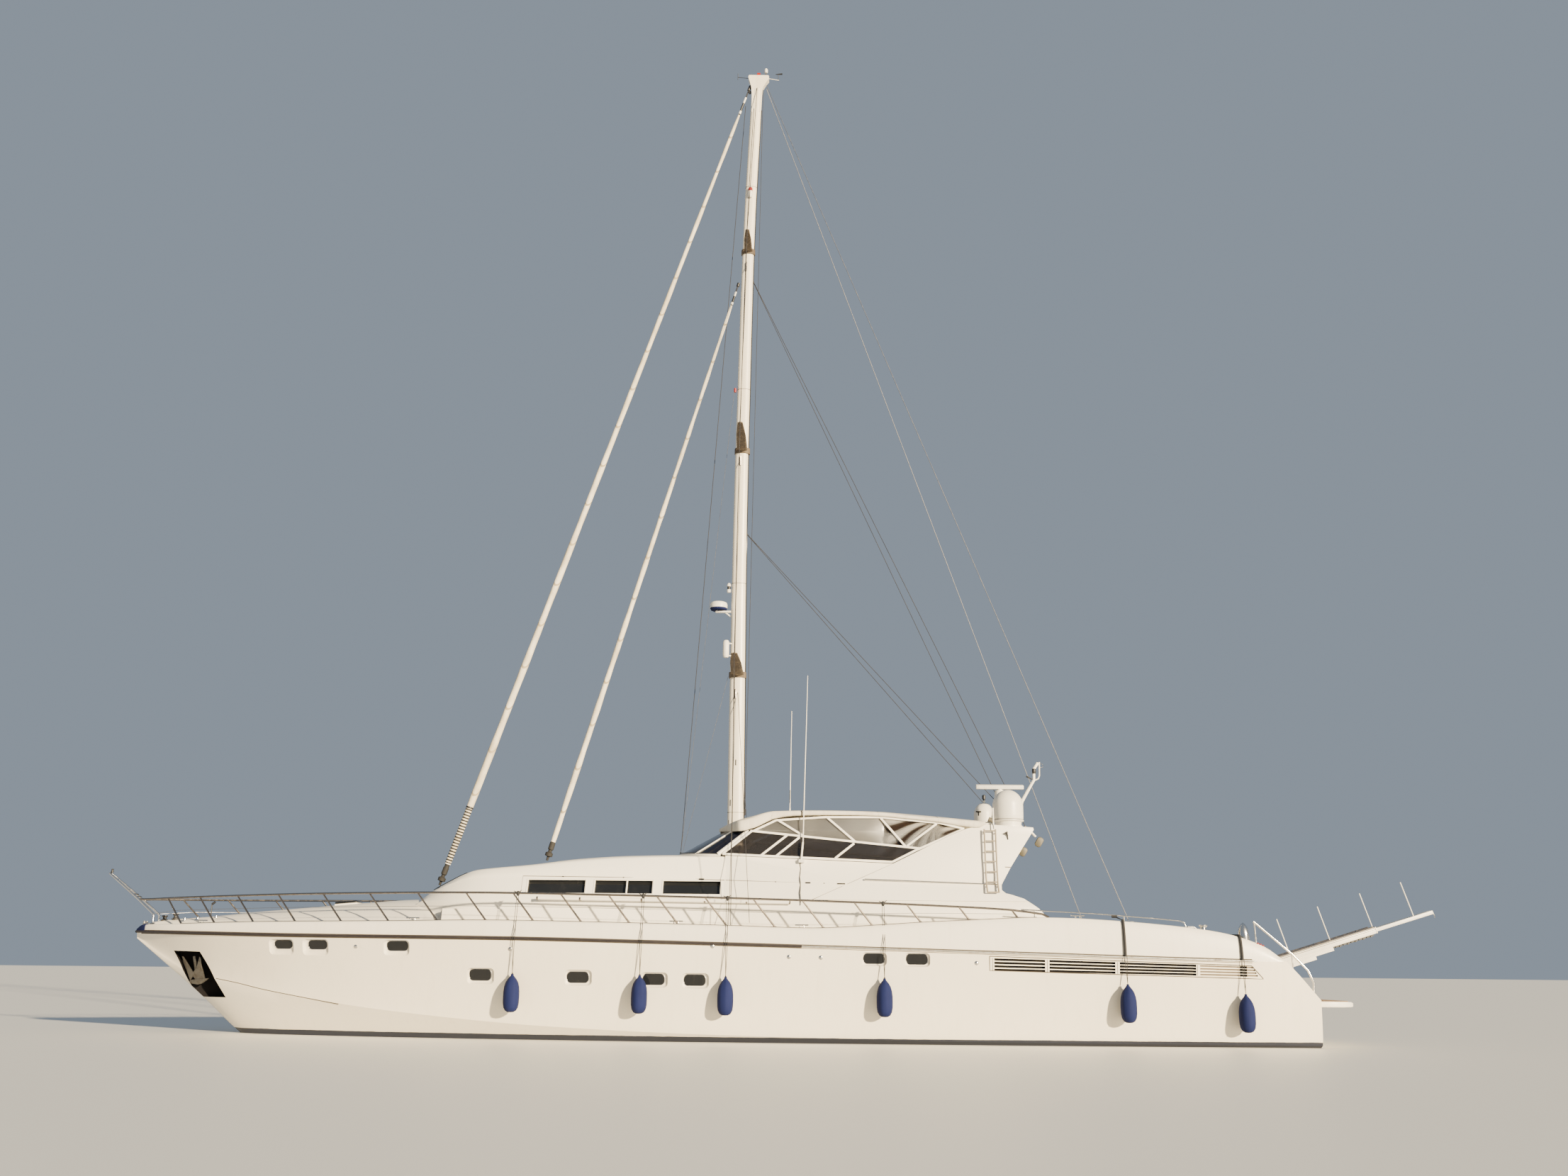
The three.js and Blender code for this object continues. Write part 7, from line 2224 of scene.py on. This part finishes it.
class MakeGangway(YachtOperator):
    """Passerelle: boxed beams, dark drive under the outer one, rails and hook."""

    bl_idname = "yacht.gangway"
    bl_label = "Passerelle"

    def build(self, settings):
        grooves, drive, edges, tip = bmesh.new(), bmesh.new(), bmesh.new(), bmesh.new()
        for y in (-0.203, 0.203):
            tube(grooves, [(-0.35, y, 0.045), (-3.12, y, 0.045)], 0.005, 6)
            tube(grooves, [(-0.35, y, 0.085), (-3.12, y, 0.085)], 0.007, 6)
        box(drive, (-3.08, -0.07, -0.1), (-1.98, 0.07, -0.045))
        for k, x in enumerate(steps(-2.05, -3.0, 9)):
            z = -0.085 - 0.012 * (k % 2)
            bar(drive, (x, -0.09, z), (x, 0.09, z), 0.02, 8)
        bar(drive, (-0.2, -0.19, -0.02), (-0.2, 0.19, -0.02), 0.05, 14)
        for y in (-0.19, 0.19):
            tube(edges, [(-0.25, y, 0.118), (-3.1, y, 0.118)], 0.014, 8)
        for x in (-0.22, -3.13):
            end = [(x, -0.198, -0.046), (x, 0.198, -0.046), (x, 0.198, 0.098), (x, -0.198, 0.098)]
            tube(edges, end + end[:2], 0.011, 8)
        for y in (-0.146, 0.146):
            tube(tip, [(-3.2, y, 0.064), (-4.69, y, 0.064)], 0.007, 8)
        tube(tip, [(-4.68, 0, 0.03), (-4.76, 0, 0.03), (-4.77, 0, -0.1), (-4.755, 0, -0.13)], 0.011, 8)

        outer, inner = "passerelle_outer", "passerelle_inner"
        dressed(outer, DOME, 0.01, outer)
        dressed(inner, DOME, 0.01, inner)
        place = at(-13.55, 0.75, 1.84) @ pitched(17)
        for name, bm, material, body in (
            ("passerelle_grooves", grooves, SEAM_SHADOW, outer), ("passerelle_drive", drive, TRIM_PLASTIC, outer),
            ("passerelle_edges", edges, RAIL_STEEL_DARK_REFLECTION, outer), ("passerelle_tip", tip, STEEL, inner),
        ):
            bmesh.ops.transform(bm, verts=bm.verts, matrix=place)
            outward(bm)
            piece(name, bm, material, body)


class MakePlainPieces(YachtOperator):
    """Pieces whose solid shape is already right, with softened edges and their finish."""

    bl_idname = "yacht.plain_pieces"
    bl_label = "Remaining pieces"

    def build(self, settings):
        rows = [
            ("ballast_keel", ANTIFOULING, 0.02, "yacht"),
            ("helm_console", HOUSE_PAINT, 0.02, "yacht"),
            ("companionway_door", TEAK, 0.006, "companionway_door"),
            ("steering_wheel", TRIM_PLASTIC, 0, "steering_wheel"),
            ("foredeck_hatch", BLACK_GLASS, 0.012, "foredeck_hatch"),
            ("anchor_port", ANCHOR_STEEL, 0.006, "yacht"),
            ("anchor_starboard", ANCHOR_STEEL, 0.006, "yacht"),
        ]
        for side in ("port", "starboard"):
            rows.append(("propeller_" + side, BRONZE, 0.003, "propeller_" + side))
            rows.append(("rudder_" + side, ANTIFOULING, 0.006, "rudder_" + side))
        for node, material, width, body in rows:
            dressed(node, material, width, body, 3 if width > 0.015 else 2)


class MakeStage(YachtOperator):
    """Floor, light and the photograph's camera."""

    bl_idname = "yacht.stage"
    bl_label = "Stage"

    def build(self, settings):
        bm = bmesh.new()
        bmesh.ops.create_grid(bm, x_segments=1, y_segments=1, size=400)
        mesh = bpy.data.meshes.new("floor")
        bm.to_mesh(mesh)
        bm.free()
        floor = bpy.data.objects.new("floor", mesh)
        bpy.context.scene.collection.objects.link(floor)
        material = bpy.data.materials.new("Pale floor")
        material.use_nodes = True
        shader = material.node_tree.nodes["Principled BSDF"]
        shader.inputs["Base Color"].default_value = (*settings.floor, 1)
        shader.inputs["Roughness"].default_value = 0.5
        mesh.materials.append(material)
        world = bpy.context.scene.world or bpy.data.worlds.new("Sky")
        bpy.context.scene.world = world
        world.use_nodes = True
        sky = world.node_tree.nodes["Background"]
        sky.inputs[0].default_value = (*settings.sky, 1)
        sky.inputs[1].default_value = SKY_STRENGTH
        sun = bpy.data.lights.new("Low sun", "SUN")
        sun.energy = settings.key_light
        sun.angle = math.radians(2)
        sun.color = SUN_COLOUR
        key = bpy.data.objects.new("Low sun", sun)
        key.rotation_euler = aim(SUN_FROM).to_euler()
        bpy.context.scene.collection.objects.link(key)
        self.camera()

    def camera(self):
        lens = bpy.data.cameras.new("Photo camera")
        lens.sensor_width = 36
        lens.lens = FOCAL_PX / PHOTO_WIDTH * 36
        lens.clip_end = 2000
        camera = bpy.data.objects.new("Photo camera", lens)
        back = Vector((0, math.cos(CAMERA_PITCH), -math.sin(CAMERA_PITCH)))
        right = Vector((-1, 0, 0))
        turn = Matrix((right, back.cross(right), back)).transposed().to_4x4()
        camera.matrix_world = Matrix.Translation(CAMERA) @ turn @ Matrix.Rotation(CAMERA_ROLL, 4, "Z")
        bpy.context.scene.collection.objects.link(camera)
        bpy.context.scene.camera = camera


class YachtPanel(Panel):
    """Lists the yacht's settings and its operators."""

    bl_idname = "VIEW3D_PT_yacht"
    bl_label = "Motor Sailing Yacht"
    bl_space_type = "VIEW_3D"
    bl_region_type = "UI"
    bl_category = "Yacht"

    def draw(self, context):
        for name in YachtSettings.__annotations__:
            self.layout.prop(context.scene.yacht, name)
        for operator in OPERATORS:
            self.layout.operator(operator.bl_idname)


OPERATORS = [
    MakeStage, MakeHull, MakeStrake, MakePortholes, MakeDeck, MakeHouse, MakeHelmDeck,
    MakeArch, MakeAerials, MakeMast, MakeSails, MakeRigging, MakeRails, MakeFenders, MakeDeckGear,
    MakePlatform, MakeCushions, MakeGangway, MakePlainPieces,
]


def register():
    for cls in [YachtSettings, *OPERATORS, YachtPanel]:
        bpy.utils.register_class(cls)
    bpy.types.Scene.yacht = PointerProperty(type=YachtSettings)


def unregister():
    del bpy.types.Scene.yacht
    for cls in reversed([YachtSettings, *OPERATORS, YachtPanel]):
        bpy.utils.unregister_class(cls)


def main():
    register()
    for operator in OPERATORS:
        getattr(bpy.ops.yacht, operator.bl_idname.split(".")[1])()


if __name__ == "__main__":
    main()
